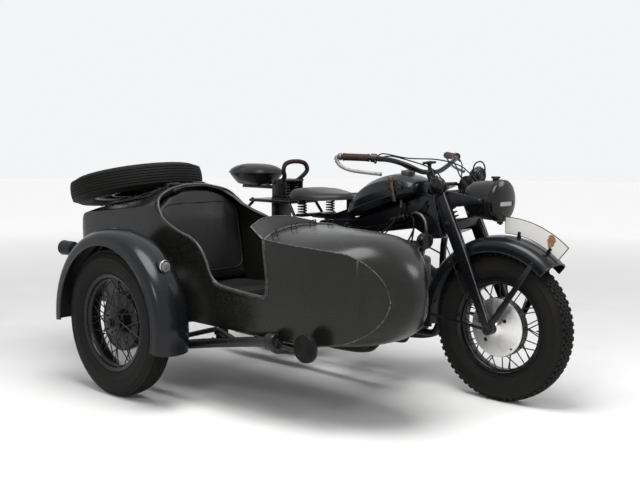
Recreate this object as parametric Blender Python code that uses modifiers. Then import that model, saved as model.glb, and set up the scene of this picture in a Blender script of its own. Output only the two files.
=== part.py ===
"""Sidecar motorcycle: a flat-twin machine of the late 1930s with a fixed sidecar on its right.

Metres, +X forward, +Y to the rider's left, +Z up. Places are written in the machine's own frame: the rear
axle is at x = 0, the middle of the motorcycle at y = 0 and the ground at z = 0. The empty "outfit" then moves
everything so that the origin is on the ground under the middle of the whole outfit.
"""

import math

import bmesh
import bpy
from mathutils import Matrix, Vector

# Where the rear axle's ground point lies from the origin
OUTFIT_X = -0.5388
OUTFIT_Y = 0.4006

# Wheels: all four are alike
TYRE_R = 0.3325
TYRE_HALF = 0.060
RIM_LIP_R = 0.2175
RIM_HALF = 0.0425
RIM_WALL = 0.004
RIM_SEAT_R = 0.206
RIM_WELL_R = 0.190
DRUM_R = 0.132
DRUM_WALL = 0.010
FLANGE_R = 0.058
BARREL_R = 0.034
HUB_HALF = 0.050
HUB_BORE_R = 0.0112
AXLE_R = 0.0105
SPOKE_R = 0.0026
SPOKES_A_SIDE = 8
SPOKE_SWEEP = math.radians(28)
WHEEL_SEGMENTS = 28
SEAT_GAP = 0.0003
AXLE_Z = TYRE_R * math.cos(math.pi / WHEEL_SEGMENTS)

# Layout
WHEELBASE = 1.405
SIDECAR_LEAD = 0.126
TRACK = 1.137

# Steering head
RAKE = math.radians(25.5)
HEAD_X = 1.030
HEAD_Z = 0.900
HEAD_LOW = -0.185
HEAD_HIGH = 0.010
HEAD_R = 0.027
STEM_R = 0.0160
STEM_BORE_R = 0.0166
YOKE_GAP = 0.0015
YOKE_THICK = 0.018

# Girder fork
FORK_HALF = 0.098
LEG_THICK = 0.030
LEG_TOP = (1.100, 0.955)
LEG_FOOT_DX = -0.012
LEG_TOP_DEPTH = 0.060
LEG_MID_DEPTH = 0.066
LEG_FOOT_DEPTH = 0.040
AXLE_BOSS_R = 0.024
BOSS_Y = FORK_HALF + LEG_THICK / 2 + 0.004
STAY_Y = BOSS_Y + 0.0068
BRIDGE_Z = 0.785
DAMPER_X = LEG_TOP[0] + 0.020
DAMPER_Z = LEG_TOP[1] - 0.012
DAMPER_R = 0.042
DAMPER_Y = FORK_HALF + 0.036

# Mudguards
GUARD_R = 0.405
GUARD_HALF = 0.080
GUARD_SKIRT_R = 0.338
GUARD_WALL = 0.004
SIDE_GUARD_R = 0.422
SIDE_GUARD_HALF = 0.086
SIDE_GUARD_SKIRT = 0.352
FRONT_GUARD_FROM = math.radians(48)
FRONT_GUARD_TO = math.radians(186)
REAR_GUARD_FROM = math.radians(22)
REAR_GUARD_TO = math.radians(196)

# Frame tubes
TUBE_R = 0.016
CRADLE_HALF = 0.115
CRADLE_LOW_Z = 0.215
CRADLE_FRONT_X = 0.985
LUG_HALF = 0.122
BEAM_HALF = 0.040

# Engine
CRANK_X = 0.860
CRANK_Z = 0.435
CASE_HALF = 0.094
CASE_FRONT = 0.945
CASE_REAR = 0.745
CASE_TOP = 0.600
CASE_LOW = 0.245
CYLINDER_R = 0.060
FIN_R = 0.084
FINS = 5
FIN_THICK = 0.007
FIN_PITCH = 0.021
CYLINDER_END = 0.345

# Tank
TANK_HALF = 0.128
TANK_TOP = 0.990

# Pillion seat, on a spring box that stands on the carrier
PILLION_X = -0.200
PILLION_Z = 0.900

# Sidecar body
TUB_Y = -0.690
TUB_HALF = 0.262
TUB_WALL = 0.010
COAMING_R = 0.010
BULKHEAD_X = 0.070
LID_SLOPE = math.radians(12.5)
LID_THICK = 0.008
LID_GAP = 0.0055
LID_HALF = 0.195
LID_REAR_X = -0.385
LID_FRONT_X = 0.030
MOUTH_HALF = 0.165
HINGE_X = 0.048
HINGE_Z = 0.932
HINGE_PIN_R = 0.0040
HINGE_BORE_R = 0.0044
HINGE_KNUCKLE_R = 0.0085

# Sidecar chassis
RAIL_R = 0.021
RAIL_Z = 0.300
INNER_RAIL_Y = -0.450
OUTER_RAIL_Y = -0.905
REAR_CROSS_X = SIDECAR_LEAD
COLLAR_REACH = 0.084

ROUND = 20
SMALL_ROUND = 10

COLOURS = {
    # name: (red, green, blue, roughness, metallic)
    "black_paint": (0.018, 0.020, 0.023, 0.32, 0.0),
    "frame_paint": (0.012, 0.013, 0.014, 0.38, 0.0),
    "rubber": (0.012, 0.012, 0.012, 0.80, 0.0),
    "leather": (0.016, 0.015, 0.015, 0.55, 0.0),
    "alloy": (0.52, 0.52, 0.50, 0.40, 1.0),
    "engine_black": (0.020, 0.020, 0.020, 0.60, 0.2),
    "plate_white": (0.80, 0.79, 0.75, 0.45, 0.0),
    "grip_rubber": (0.10, 0.055, 0.035, 0.60, 0.0),
}


def clear_scene():
    """Empties the file and makes the two collections."""
    for item in list(bpy.data.objects):
        bpy.data.objects.remove(item)
    parts = bpy.data.collections.new("sidecar_motorcycle")
    cutters = bpy.data.collections.new("cutters")
    cutters.hide_render = True
    for group in (parts, cutters):
        bpy.context.scene.collection.children.link(group)
    outfit = bpy.data.objects.new("outfit", None)
    outfit.location = (OUTFIT_X, OUTFIT_Y, 0)
    parts.objects.link(outfit)
    return parts, cutters, outfit


PARTS, CUTTERS, OUTFIT = clear_scene()


def material(name):
    """The named finish as a Principled material, made once."""
    found = bpy.data.materials.get(name)
    if found:
        return found
    red, green, blue, roughness, metallic = COLOURS[name]
    found = bpy.data.materials.new(name)
    found.use_nodes = True
    shader = found.node_tree.nodes["Principled BSDF"]
    shader.inputs["Base Color"].default_value = (red, green, blue, 1)
    shader.inputs["Roughness"].default_value = roughness
    shader.inputs["Metallic"].default_value = metallic
    return found


def shape(mesh, name="shape"):
    """A loose object for a mesh, before it is named or fused."""
    item = bpy.data.objects.new(name, mesh)
    bpy.context.scene.collection.objects.link(item)
    return item


def settle(item, raw=True):
    """Replaces an object by the mesh that it evaluates to, in world space. A raw shape is also welded and turned out."""
    bpy.context.view_layer.update()
    graph = bpy.context.evaluated_depsgraph_get()
    mesh = bpy.data.meshes.new_from_object(item.evaluated_get(graph))
    mesh.transform(item.matrix_world)
    bpy.data.objects.remove(item)
    if raw:
        body = bmesh.new()
        body.from_mesh(mesh)
        bmesh.ops.remove_doubles(body, verts=body.verts, dist=0.00001)
        bmesh.ops.recalc_face_normals(body, faces=body.faces)
        if body.calc_volume(signed=True) < 0:
            bmesh.ops.reverse_faces(body, faces=body.faces)
        body.to_mesh(mesh)
        body.free()
    return shape(mesh)


def placed(item, matrix):
    """The object with its mesh moved by a matrix."""
    item.data.transform(matrix)
    return item


def rounded(item, width, segments=2, angle=math.radians(35)):
    """Bevels the sharp edges of a closed shape."""
    bevel = item.modifiers.new("Bevel", "BEVEL")
    bevel.width = width
    bevel.segments = segments
    bevel.limit_method = "ANGLE"
    bevel.angle_limit = angle
    return settle(item)


def box(low, high):
    """A box between two corners."""
    bpy.ops.mesh.primitive_cube_add(size=1)
    item = bpy.context.object
    low, high = Vector(low), Vector(high)
    item.scale = high - low
    item.location = (low + high) / 2
    return settle(item)


def rod(start, end, radius, sides=ROUND, end_radius=None):
    """A round bar, or a cone, from one point to another."""
    start, end = Vector(start), Vector(end)
    along = end - start
    bpy.ops.mesh.primitive_cone_add(
        vertices=sides,
        radius1=radius,
        radius2=radius if end_radius is None else end_radius,
        depth=along.length,
        location=(start + end) / 2,
        rotation=along.to_track_quat("Z", "Y").to_euler(),
    )
    return settle(bpy.context.object)


def smooth_path(points, steps):
    """Points along a Catmull-Rom curve through the given ones."""
    points = [Vector(p) for p in points]
    ends = [2 * points[0] - points[1], *points, 2 * points[-1] - points[-2]]
    path = []
    for before, here, there, after in zip(ends, ends[1:], ends[2:], ends[3:]):
        for step in range(steps):
            t = step / steps
            path.append(
                0.5
                * (
                    2 * here
                    + (there - before) * t
                    + (2 * before - 5 * here + 4 * there - after) * t * t
                    + (3 * here - before - 3 * there + after) * t**3
                )
            )
    return [*path, points[-1]]


def tube(points, radius, bevel=1, closed=False):
    """A bent round tube as a curve with a bevel, made a mesh."""
    curve = bpy.data.curves.new("tube", "CURVE")
    curve.dimensions = "3D"
    curve.bevel_depth = radius
    curve.bevel_resolution = bevel
    curve.use_fill_caps = True
    spline = curve.splines.new("POLY")
    spline.points.add(len(points) - 1)
    for point, place in zip(spline.points, points):
        point.co = (*place, 1)
    spline.use_cyclic_u = closed
    return settle(shape(curve))


def outline_plate(points, half, matrix=None):
    """A flat outline in X and Z, thickened to both sides of y = 0."""
    curve = bpy.data.curves.new("outline", "CURVE")
    curve.dimensions = "2D"
    curve.fill_mode = "BOTH"
    curve.extrude = half
    spline = curve.splines.new("POLY")
    spline.points.add(len(points) - 1)
    for point, (x, z) in zip(spline.points, points):
        point.co = (x, z, 0, 1)
    spline.use_cyclic_u = True
    item = settle(shape(curve))
    placed(item, Matrix.Rotation(math.radians(90), 4, "X"))
    if matrix:
        placed(item, matrix)
    return item


def turned(profile, segments=ROUND, angle=math.tau, start=0.0):
    """A turned shape about Y: the profile is a list of (radius, y) pairs, a closed loop when it ends where it began."""
    loop = profile[0] == profile[-1]
    pairs = profile[:-1] if loop else profile
    mesh = bpy.data.meshes.new("profile")
    edges = [(i, i + 1) for i in range(len(pairs) - 1)] + ([(len(pairs) - 1, 0)] if loop else [])
    mesh.from_pydata([(radius, 0, y) for radius, y in pairs], edges, [])
    item = shape(mesh)
    screw = item.modifiers.new("Screw", "SCREW")
    screw.angle = angle
    screw.steps = segments
    screw.render_steps = segments
    screw.use_merge_vertices = True
    screw.merge_threshold = 0.00005
    item = settle(item)
    placed(item, Matrix.Rotation(start, 4, "Z"))
    return placed(item, Matrix.Rotation(math.radians(-90), 4, "X"))


def loft(rings):
    """A closed body through rings of equally many points. Each end is a strip between the ring's two halves."""
    body = bmesh.new()
    rows = [[body.verts.new(point) for point in ring] for ring in rings]
    for row, after in zip(rows, rows[1:]):
        for i in range(len(row)):
            j = (i + 1) % len(row)
            body.faces.new((row[i], row[j], after[j], after[i]))
    for row in (rows[0], rows[-1]):
        low, high = 0, len(row) - 1
        while high - low > 1:
            face = (row[low], row[low + 1], row[high - 1], row[high])
            body.faces.new(face if high - low > 2 else (*face[:2], face[3]))
            low, high = low + 1, high - 1
    bmesh.ops.triangulate(body, faces=body.faces)
    mesh = bpy.data.meshes.new("loft")
    body.to_mesh(mesh)
    body.free()
    return settle(shape(mesh))


def helper(item):
    """Puts an object away among the cutters."""
    for group in list(item.users_collection):
        group.objects.unlink(item)
    CUTTERS.objects.link(item)
    item.hide_render = True
    item.display_type = "WIRE"
    return item


def combine(base, others, operation, solver="EXACT"):
    """Boolean of a base with each of the others."""
    for other in others:
        modifier = base.modifiers.new("Boolean", "BOOLEAN")
        modifier.operation = operation
        modifier.solver = solver
        modifier.object = helper(other)
    return settle(base, raw=False)


def fuse(base, *others):
    """One body from overlapping shapes."""
    return combine(base, others, "UNION")


def cut(base, *others):
    """The base without the others."""
    return combine(base, others, "DIFFERENCE")


def mirrored(item):
    """A copy of a shape on the other side of the motorcycle's middle."""
    mesh = item.data.copy()
    mesh.transform(Matrix.Scale(-1, 4, (0, 1, 0)))
    mesh.flip_normals()
    return shape(mesh)


def gathered(items):
    """Several separate shapes as one object, for use in one Boolean."""
    body = bmesh.new()
    for item in items:
        body.from_mesh(item.data)
        bpy.data.objects.remove(item)
    mesh = bpy.data.meshes.new("gathered")
    body.to_mesh(mesh)
    body.free()
    return shape(mesh)


def node(name, item, finish, pivot=(0, 0, 0)):
    """Names a finished shape, gives it its material and hangs it on the outfit with its origin at a pivot."""
    item.name = name
    item.data.name = name
    for group in list(item.users_collection):
        group.objects.unlink(item)
    PARTS.objects.link(item)
    item.data.materials.clear()
    item.data.materials.append(material(finish))
    item.data.transform(Matrix.Translation(-Vector(pivot)))
    item.data.shade_smooth()
    item.data.set_sharp_from_angle(angle=math.radians(35))
    item.location = pivot
    item.parent = OUTFIT
    return item


def on_wheel(radius, angle, centre_x):
    """A point of the wheel's plane, as (x, z), at a radius and an angle above forward."""
    return centre_x + radius * math.cos(angle), AXLE_Z + radius * math.sin(angle)


def head_point(along, forward=0.0, side=0.0):
    """A point given along the steering axis, from its datum, and ahead of it."""
    up = Vector((-math.sin(RAKE), 0, math.cos(RAKE)))
    ahead = Vector((math.cos(RAKE), 0, math.sin(RAKE)))
    return Vector((HEAD_X, side, HEAD_Z)) + up * along + ahead * forward


def tyre_shape():
    """A tyre as one ring that fills the rim's channel."""
    bead = RIM_HALF - RIM_WALL - SEAT_GAP
    base = RIM_SEAT_R + SEAT_GAP
    half = [
        (base, bead),
        (RIM_LIP_R + 0.002, bead),
        (RIM_LIP_R + 0.024, TYRE_HALF * 0.88),
        (RIM_LIP_R + 0.056, TYRE_HALF),
        (TYRE_R - 0.018, TYRE_HALF * 0.84),
        (TYRE_R, TYRE_HALF * 0.40),
    ]
    profile = half + [(r, -y) for r, y in reversed(half)]
    return turned(profile + [profile[0]], WHEEL_SEGMENTS, start=math.pi / WHEEL_SEGMENTS)


def rim_shape():
    """The rim's channel with its drop centre."""
    half = [
        (RIM_SEAT_R, RIM_HALF - RIM_WALL),
        (RIM_LIP_R, RIM_HALF - RIM_WALL),
        (RIM_LIP_R, RIM_HALF),
        (RIM_WELL_R, RIM_HALF * 0.55),
    ]
    profile = half + [(r, -y) for r, y in reversed(half)]
    return turned(profile + [profile[0]], WHEEL_SEGMENTS, start=math.pi / WHEEL_SEGMENTS)


def hub_shape():
    """The hub, with its brake drum open towards -Y and its small flange towards +Y."""
    profile = [
        (HUB_BORE_R, HUB_HALF),
        (0.024, HUB_HALF),
        (0.026, 0.043),
        (FLANGE_R, 0.040),
        (FLANGE_R, 0.034),
        (BARREL_R, 0.030),
        (BARREL_R, 0.002),
        (DRUM_R, -0.004),
        (DRUM_R, -0.040),
        (DRUM_R - DRUM_WALL, -0.040),
        (DRUM_R - DRUM_WALL, -0.016),
        (0.024, -0.012),
        (HUB_BORE_R, -0.030),
    ]
    return turned(profile + [profile[0]], ROUND)


def spokes_shape():
    """Crossed spokes of both sides, from the drum's edge and from the small flange to the rim."""
    bars = []
    for side, radius, y in ((-1, DRUM_R - 0.004, -0.024), (1, FLANGE_R - 0.006, 0.038)):
        for i in range(SPOKES_A_SIDE):
            angle = math.tau * (i + 0.25 * side) / SPOKES_A_SIDE
            lean = SPOKE_SWEEP * (1 if i % 2 else -1) * (0.45 if side < 0 else 1.0)
            foot = Vector((radius * math.cos(angle), y, radius * math.sin(angle)))
            tip_r = RIM_WELL_R + RIM_WALL
            tip = Vector((tip_r * math.cos(angle + lean), 0.008 * side, tip_r * math.sin(angle + lean)))
            bars.append(rod(foot, tip, SPOKE_R, 3))
    return gathered(bars)


def wheel_shape():
    """Rim, spokes and hub as one body."""
    return fuse(rim_shape(), hub_shape(), spokes_shape())


def build_wheels():
    """The three road wheels and the spare, from one tyre and one wheel."""
    tyre, wheel = tyre_shape(), wheel_shape()
    flip = Matrix.Rotation(math.pi, 4, "Z")
    spare_tilt = Matrix.Rotation(-LID_SLOPE, 4, "Y") @ Matrix.Rotation(math.radians(90), 4, "X")
    table = (
        # node prefix, centre, turn of the wheel's own shape
        ("front", Vector((WHEELBASE, 0, AXLE_Z)), Matrix.Identity(4)),
        ("rear", Vector((0, 0, AXLE_Z)), flip),
        ("sidecar", Vector((SIDECAR_LEAD, -TRACK, AXLE_Z)), flip),
        ("spare", spare_centre(), spare_tilt),
    )
    for prefix, centre, turn in table:
        for suffix, source, finish in (("tyre", tyre, "rubber"), ("wheel", wheel, "frame_paint")):
            mesh = source.data.copy()
            mesh.transform(Matrix.Translation(centre) @ turn)
            node(f"{prefix}_{suffix}", shape(mesh), finish, centre)
    for source in (tyre, wheel):
        bpy.data.objects.remove(source)


def arc_guard(centre_x, start, end, radius=GUARD_R, half=GUARD_HALF, skirt=GUARD_SKIRT_R, steps=14):
    """A mudguard's curved sheet round a wheel, as a solid."""
    bend = (
        # outer face, then inner face, as (radius, half width)
        ((skirt, half), (skirt, half - GUARD_WALL)),
        ((radius - 0.028, half * 0.94), (radius - 0.030, half * 0.94 - GUARD_WALL)),
        ((radius - 0.007, half * 0.58), (radius - 0.007 - GUARD_WALL, half * 0.56)),
        ((radius, half * 0.12), (radius - GUARD_WALL, half * 0.12)),
    )
    outer = [pair[0] for pair in bend] + [(r, -y) for (r, y), _ in reversed(bend)]
    inner = [pair[1] for pair in bend] + [(r, -y) for _, (r, y) in reversed(bend)]
    loop = outer + inner[::-1]
    rings = []
    for step in range(steps + 1):
        angle = start + (end - start) * step / steps
        rings.append([(*on_wheel(r, angle, centre_x)[:1], y, on_wheel(r, angle, centre_x)[1]) for r, y in loop])
    return loft(rings)


def leg_outline(clearance=0.0):
    """A fork leg from the side: deep and straight, narrowing to the axle."""
    top = Vector((LEG_TOP[0], LEG_TOP[1]))
    foot = Vector((WHEELBASE + LEG_FOOT_DX, AXLE_Z))
    along = (foot - top).normalized()
    across = Vector((along.y, -along.x)) * -1
    stations = (
        # distance down the leg as a share, depth
        (0.00, LEG_TOP_DEPTH * 0.7),
        (0.05, LEG_TOP_DEPTH),
        (0.45, LEG_MID_DEPTH),
        (0.80, LEG_FOOT_DEPTH * 1.2),
        (1.00, LEG_FOOT_DEPTH),
    )
    length = (foot - top).length
    front = [top + along * length * share + across * (depth / 2 + clearance) for share, depth in stations]
    back = [top + along * length * share - across * (depth / 2 + clearance) for share, depth in stations]
    return [tuple(p) for p in front + back[::-1]]


def build_fork():
    """Girder fork: legs, bridges, yokes, stem and the front axle."""
    leg = rounded(outline_plate(leg_outline(), LEG_THICK / 2), 0.006, 1)
    right = placed(leg, Matrix.Translation((0, -FORK_HALF, 0)))
    left = mirrored(right)
    axle = rod((WHEELBASE, -FORK_HALF - 0.036, AXLE_Z), (WHEELBASE, FORK_HALF + 0.036, AXLE_Z), AXLE_R, SMALL_ROUND)
    bosses = [
        rod((WHEELBASE, s * (FORK_HALF - LEG_THICK / 4), AXLE_Z), (WHEELBASE, s * BOSS_Y, AXLE_Z), AXLE_BOSS_R, SMALL_ROUND)
        for s in (-1, 1)
    ]
    share = (LEG_TOP[1] - BRIDGE_Z) / (LEG_TOP[1] - AXLE_Z)
    bridge_x = LEG_TOP[0] + (WHEELBASE + LEG_FOOT_DX - LEG_TOP[0]) * share
    bridge = rounded(box((bridge_x - 0.006, -FORK_HALF, BRIDGE_Z - 0.028), (bridge_x + 0.028, FORK_HALF, BRIDGE_Z + 0.014)), 0.006, 1)
    top_bridge = rod((LEG_TOP[0] + 0.016, -FORK_HALF - 0.030, LEG_TOP[1] - 0.045), (LEG_TOP[0] + 0.016, FORK_HALF + 0.030, LEG_TOP[1] - 0.045), 0.012, SMALL_ROUND)
    dampers = [
        rod((DAMPER_X, s * (FORK_HALF + 0.010), DAMPER_Z), (DAMPER_X, s * DAMPER_Y, DAMPER_Z), DAMPER_R, 16)
        for s in (-1, 1)
    ]
    stem = rod(head_point(HEAD_LOW - 0.012), head_point(HEAD_HIGH + 0.012), STEM_R, SMALL_ROUND)
    high_yoke = yoke(HEAD_HIGH + YOKE_GAP)
    low_yoke = yoke(HEAD_LOW - YOKE_GAP - YOKE_THICK)
    fork = fuse(right, left, gathered([bridge]), top_bridge, axle, *bosses, *dampers, stem, high_yoke, low_yoke)
    node("fork", fork, "black_paint", head_point(0))


def yoke(along):
    """A link plate across the fork, from the stem forward to the legs."""
    points = [(-0.026, -0.026), (-0.026, 0.026), (0.040, FORK_HALF - 0.008), (0.072, FORK_HALF - 0.008),
              (0.072, 0.008 - FORK_HALF), (0.040, 0.008 - FORK_HALF)]
    low = [head_point(along, forward, side) for forward, side in points]
    high = [head_point(along + YOKE_THICK, forward, side) for forward, side in points]
    return loft([low, high])


def build_fork_spring():
    """The fork's central barrel spring, as a ribbed body between the yokes."""
    low = HEAD_LOW - YOKE_GAP + SEAT_GAP
    high = HEAD_HIGH + YOKE_GAP - SEAT_GAP
    coils = 6
    forward = 0.056
    rings = []
    sides = SMALL_ROUND
    for step in range(2 * coils + 1):
        along = low + (high - low) * step / (2 * coils)
        radius = 0.017 if step % 2 else 0.011
        centre = head_point(along, forward)
        ahead = head_point(along, forward + radius) - centre
        rings.append([
            centre + ahead * math.cos(math.tau * k / sides) + Vector((0, radius, 0)) * math.sin(math.tau * k / sides)
            for k in range(sides)
        ])
    node("fork_spring", loft(rings), "frame_paint", head_point(0))


BAR_TIP = Vector((0.790, -0.402, 1.072))
BAR_INWARD = Vector((0.805, 0.592, -0.031)).normalized()


def bar_path():
    """The right half of the handlebar, from the middle of the clamp outwards."""
    return [Vector(p) for p in (
        (0.995, 0.000, 1.000),
        (0.992, -0.070, 1.004),
        (0.985, -0.150, 1.030),
        (0.958, -0.240, 1.056),
        BAR_TIP + BAR_INWARD * (GRIP_LENGTH + 0.032),
        BAR_TIP + BAR_INWARD * (GRIP_LENGTH + 0.016),
        BAR_TIP,
    )]


BAR_R = 0.0115
GRIP_R = 0.0165
GRIP_LENGTH = 0.120


def build_handlebar():
    """Swept handlebar with its clamp, inverted levers and the steering damper's knob."""
    half = bar_path()
    whole = [Vector((p.x, -p.y, p.z)) for p in reversed(half[1:])] + half
    bar = tube(smooth_path(whole, 2), BAR_R)
    clamp = rod(head_point(HEAD_HIGH + YOKE_GAP + YOKE_THICK + SEAT_GAP, 0.006), head_point(0.114, 0.006), 0.020, SMALL_ROUND)
    knob_stem = rod(Vector(half[0]) + Vector((-0.006, 0, 0.0)), Vector(half[0]) + Vector((-0.010, 0, 0.036)), 0.010, 10)
    knob = rod(Vector(half[0]) + Vector((-0.010, 0, 0.034)), Vector(half[0]) + Vector((-0.014, 0, 0.046)), 0.032, SMALL_ROUND)
    levers = []
    tip, inward = BAR_TIP, BAR_INWARD
    ahead = Vector((0.45, -0.12, -0.88)).normalized()
    for s in (1, -1):
        points = [
            tip + inward * 0.012,
            tip - inward * 0.014,
            tip - inward * 0.020 + ahead * 0.020,
            tip - inward * 0.008 + ahead * 0.050,
            tip + inward * 0.030 + ahead * 0.066,
            tip + inward * 0.160 + ahead * 0.080,
        ]
        points = [Vector((p.x, s * p.y, p.z)) for p in points]
        levers.append(tube(smooth_path(points, 2), 0.0055))
    node("handlebar", fuse(bar, clamp, knob_stem, knob, *levers), "frame_paint", head_point(0))
    for name, s in (("grip_right", 1), ("grip_left", -1)):
        start = tip + inward * 0.012
        end = start + inward * GRIP_LENGTH
        flip = Vector((1, s, 1))
        grip = rod(start * flip, end * flip, GRIP_R, SMALL_ROUND)
        bore = rod((start - inward * 0.05) * flip, (end + inward * 0.05) * flip, BAR_R + 0.0012, SMALL_ROUND)
        node(name, cut(grip, bore), "grip_rubber", head_point(0))


LAMP_R = 0.092
LAMP_X = 1.395
LAMP_Z = 0.885
LAMP_LENGTH = 0.170


def build_headlamp():
    """Drum headlamp with its blackout cover on two ears, and the horn beside it."""
    axis = Matrix.Translation((LAMP_X, 0, LAMP_Z)) @ Matrix.Rotation(math.radians(90), 4, "Z")
    shell = turned([(0, LAMP_LENGTH), (LAMP_R * 0.62, LAMP_LENGTH), (LAMP_R * 0.90, LAMP_LENGTH * 0.82), (LAMP_R * 0.97, LAMP_LENGTH * 0.30),
                    (LAMP_R, 0.020), (LAMP_R, 0.002), (LAMP_R * 0.88, -0.004), (LAMP_R * 0.5, -0.012), (0, -0.016)], ROUND)
    placed(shell, axis)
    ears = []
    for s in (-1, 1):
        side = s * (LAMP_R - 0.002)
        rings = []
        for x, tall in ((1.150, 0.036), (1.215, 0.032), (LAMP_X - 0.075, 0.013), (LAMP_X - 0.050, 0.011)):
            thin = 0.007
            rings.append([(x, side - thin, LAMP_Z - tall), (x, side + thin, LAMP_Z - tall),
                          (x, side + thin, LAMP_Z + tall), (x, side - thin, LAMP_Z + tall)])
        ears.append(loft(rings))
    knob = rod((LAMP_X - 0.045, 0, LAMP_Z + LAMP_R - 0.010), (LAMP_X - 0.045, 0, LAMP_Z + LAMP_R + 0.014), 0.020, SMALL_ROUND)
    legs = leg_cutters()
    lamp = cut(fuse(shell, *ears, knob), *legs)
    node("headlamp", lamp, "frame_paint", head_point(0))
    horn = turned([(0, 0.0), (0.040, 0.0), (0.043, 0.008), (0.040, 0.030), (0.022, 0.052), (0, 0.056)], SMALL_ROUND)
    placed(horn, Matrix.Translation((1.150, 0.158, 0.985)) @ Matrix.Rotation(math.radians(90), 4, "Z"))
    stay = tube([(1.165, 0.158, 0.985), (1.130, 0.150, 0.970), (DAMPER_X, DAMPER_Y + 0.004, DAMPER_Z)], 0.008)
    damper = rod((DAMPER_X, 0, DAMPER_Z), (DAMPER_X, DAMPER_Y + SEAT_GAP, DAMPER_Z), DAMPER_R + SEAT_GAP, 16)
    node("horn", cut(fuse(horn, stay), damper), "frame_paint", head_point(0))


def leg_cutters():
    """The two fork legs, a seat's gap larger all round."""
    found = []
    for s in (-1, 1):
        leg = outline_plate(leg_outline(SEAT_GAP), LEG_THICK / 2 + SEAT_GAP)
        found.append(placed(leg, Matrix.Translation((0, s * FORK_HALF, 0))))
    return found


def build_front_guard():
    """Front mudguard with its flat stays, and the plate that stands on it."""
    guard = arc_guard(WHEELBASE, FRONT_GUARD_FROM, FRONT_GUARD_TO)
    stays = []
    for s in (-1, 1):
        ax, az = WHEELBASE, AXLE_Z
        for angle, low_width, high_width in ((math.radians(58), 0.017, 0.011), (math.radians(176), 0.007, 0.006)):
            tip_x, tip_z = on_wheel(GUARD_SKIRT_R + 0.016, angle, WHEELBASE)
            along = Vector((tip_x - ax, 0, tip_z - az)).normalized()
            across = Vector((-along.z, 0, along.x))
            foot = Vector((ax, s * STAY_Y, az)) + along * 0.002
            tip = Vector((tip_x, s * (GUARD_HALF + 0.001), tip_z))
            thick = Vector((0, 0.003, 0))
            rings = []
            for centre, width in ((foot, low_width), (tip, high_width)):
                rings.append([centre - across * width - thick, centre + across * width - thick,
                              centre + across * width + thick, centre - across * width + thick])
            stays.append(loft(rings))
        ring = rod((ax, s * (STAY_Y - 0.0065), az), (ax, s * (STAY_Y + 0.003), az), 0.022, SMALL_ROUND)
        hole = rod((ax, s * (STAY_Y - 0.02), az), (ax, s * (STAY_Y + 0.02), az), AXLE_R + SEAT_GAP, SMALL_ROUND)
        stays.append(ring)
        stays.append(hole)
    holes = [stays[4 - 1], stays[8 - 1]]
    solids = [item for item in stays if item not in holes]
    guard = cut(fuse(guard, *solids), *holes)
    node("front_mudguard", guard, "black_paint", head_point(0))
    inner, outer = GUARD_R + 0.008, GUARD_R + 0.082
    first, last = math.radians(90), math.radians(50)
    steps = 10
    arcs = []
    for radius, low, high in ((inner, first, last), (outer, last + 0.02, first - 0.03)):
        arcs += [on_wheel(radius, low + (high - low) * i / steps, WHEELBASE) for i in range(steps + 1)]
    plate = outline_plate(arcs, 0.0025)
    feet = []
    for share in (0.25, 0.8):
        angle = first + (last - first) * share
        x, z = on_wheel(GUARD_R + SEAT_GAP, angle, WHEELBASE)
        tip_x, tip_z = on_wheel(inner + 0.006, angle, WHEELBASE)
        feet.append(rod((x, 0, z), (tip_x, 0, tip_z), 0.006, 8))
    node("front_plate", fuse(plate, *feet), "plate_white", head_point(0))


def brake_plate(centre, side, reach):
    """A drum's cover plate with its boss out to whatever holds it, on one side of a wheel's middle."""
    y = 0.0452
    profile = [
        (AXLE_R + SEAT_GAP, y), (DRUM_R - 0.003, y), (DRUM_R - 0.003, y + 0.004), (DRUM_R - 0.012, y + 0.008),
        (0.060, y + 0.019), (0.030, min(y + 0.030, reach - 0.004)), (0.022, reach), (AXLE_R + SEAT_GAP, reach),
    ]
    plate = turned(profile + [profile[0]], ROUND)
    if side < 0:
        placed(plate, Matrix.Scale(-1, 4, (0, 1, 0)))
        plate.data.flip_normals()
    return placed(plate, Matrix.Translation(centre))


def build_brakes():
    """The three drums' cover plates, fixed to the fork, the frame and the sidecar's axle."""
    fork_face = FORK_HALF - LEG_THICK / 2 - SEAT_GAP
    lug_face = LUG_HALF - 0.016 - SEAT_GAP
    collar_face = COLLAR_REACH - SEAT_GAP
    node("front_brake_plate", brake_plate((WHEELBASE, 0, AXLE_Z), -1, fork_face), "alloy", head_point(0))
    node("rear_brake_plate", brake_plate((0, 0, AXLE_Z), 1, lug_face), "frame_paint")
    node("sidecar_brake_plate", brake_plate((SIDECAR_LEAD, -TRACK, AXLE_Z), 1, collar_face), "frame_paint")


def cradle_tube(side, clearance=0.0):
    """One tube of the cradle, from under the steering head round the engine and back to the rear axle."""
    points = (
        (1.045, 0.052, 0.712), (1.012, 0.085, 0.640), (CRADLE_FRONT_X, CRADLE_HALF, 0.520), (0.978, CRADLE_HALF, 0.330),
        (0.955, CRADLE_HALF, 0.235), (0.900, CRADLE_HALF, CRADLE_LOW_Z), (0.680, CRADLE_HALF, CRADLE_LOW_Z),
        (0.450, CRADLE_HALF, CRADLE_LOW_Z), (0.300, LUG_HALF, 0.238), (0.000, LUG_HALF, AXLE_Z),
    )
    return tube(smooth_path([(x, side * y, z) for x, y, z in points], 2), TUBE_R + clearance)


def backbone_plate(clearance=0.0):
    """The backbone's outline from the steering head back to the saddle, thickened, with an even clearance round it."""
    top = [(1.062, 0.905), (0.960, 0.900), (0.800, 0.848), (0.560, 0.765), (0.405, 0.752), (0.310, 0.735)]
    low = [(0.310, 0.685), (0.620, 0.690), (0.800, 0.715), (0.930, 0.735), (1.020, 0.692), (1.090, 0.700)]
    outline = [(x, z + clearance) for x, z in top] + [(x, z - clearance) for x, z in low]
    return outline_plate(outline, BEAM_HALF + clearance)


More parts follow.
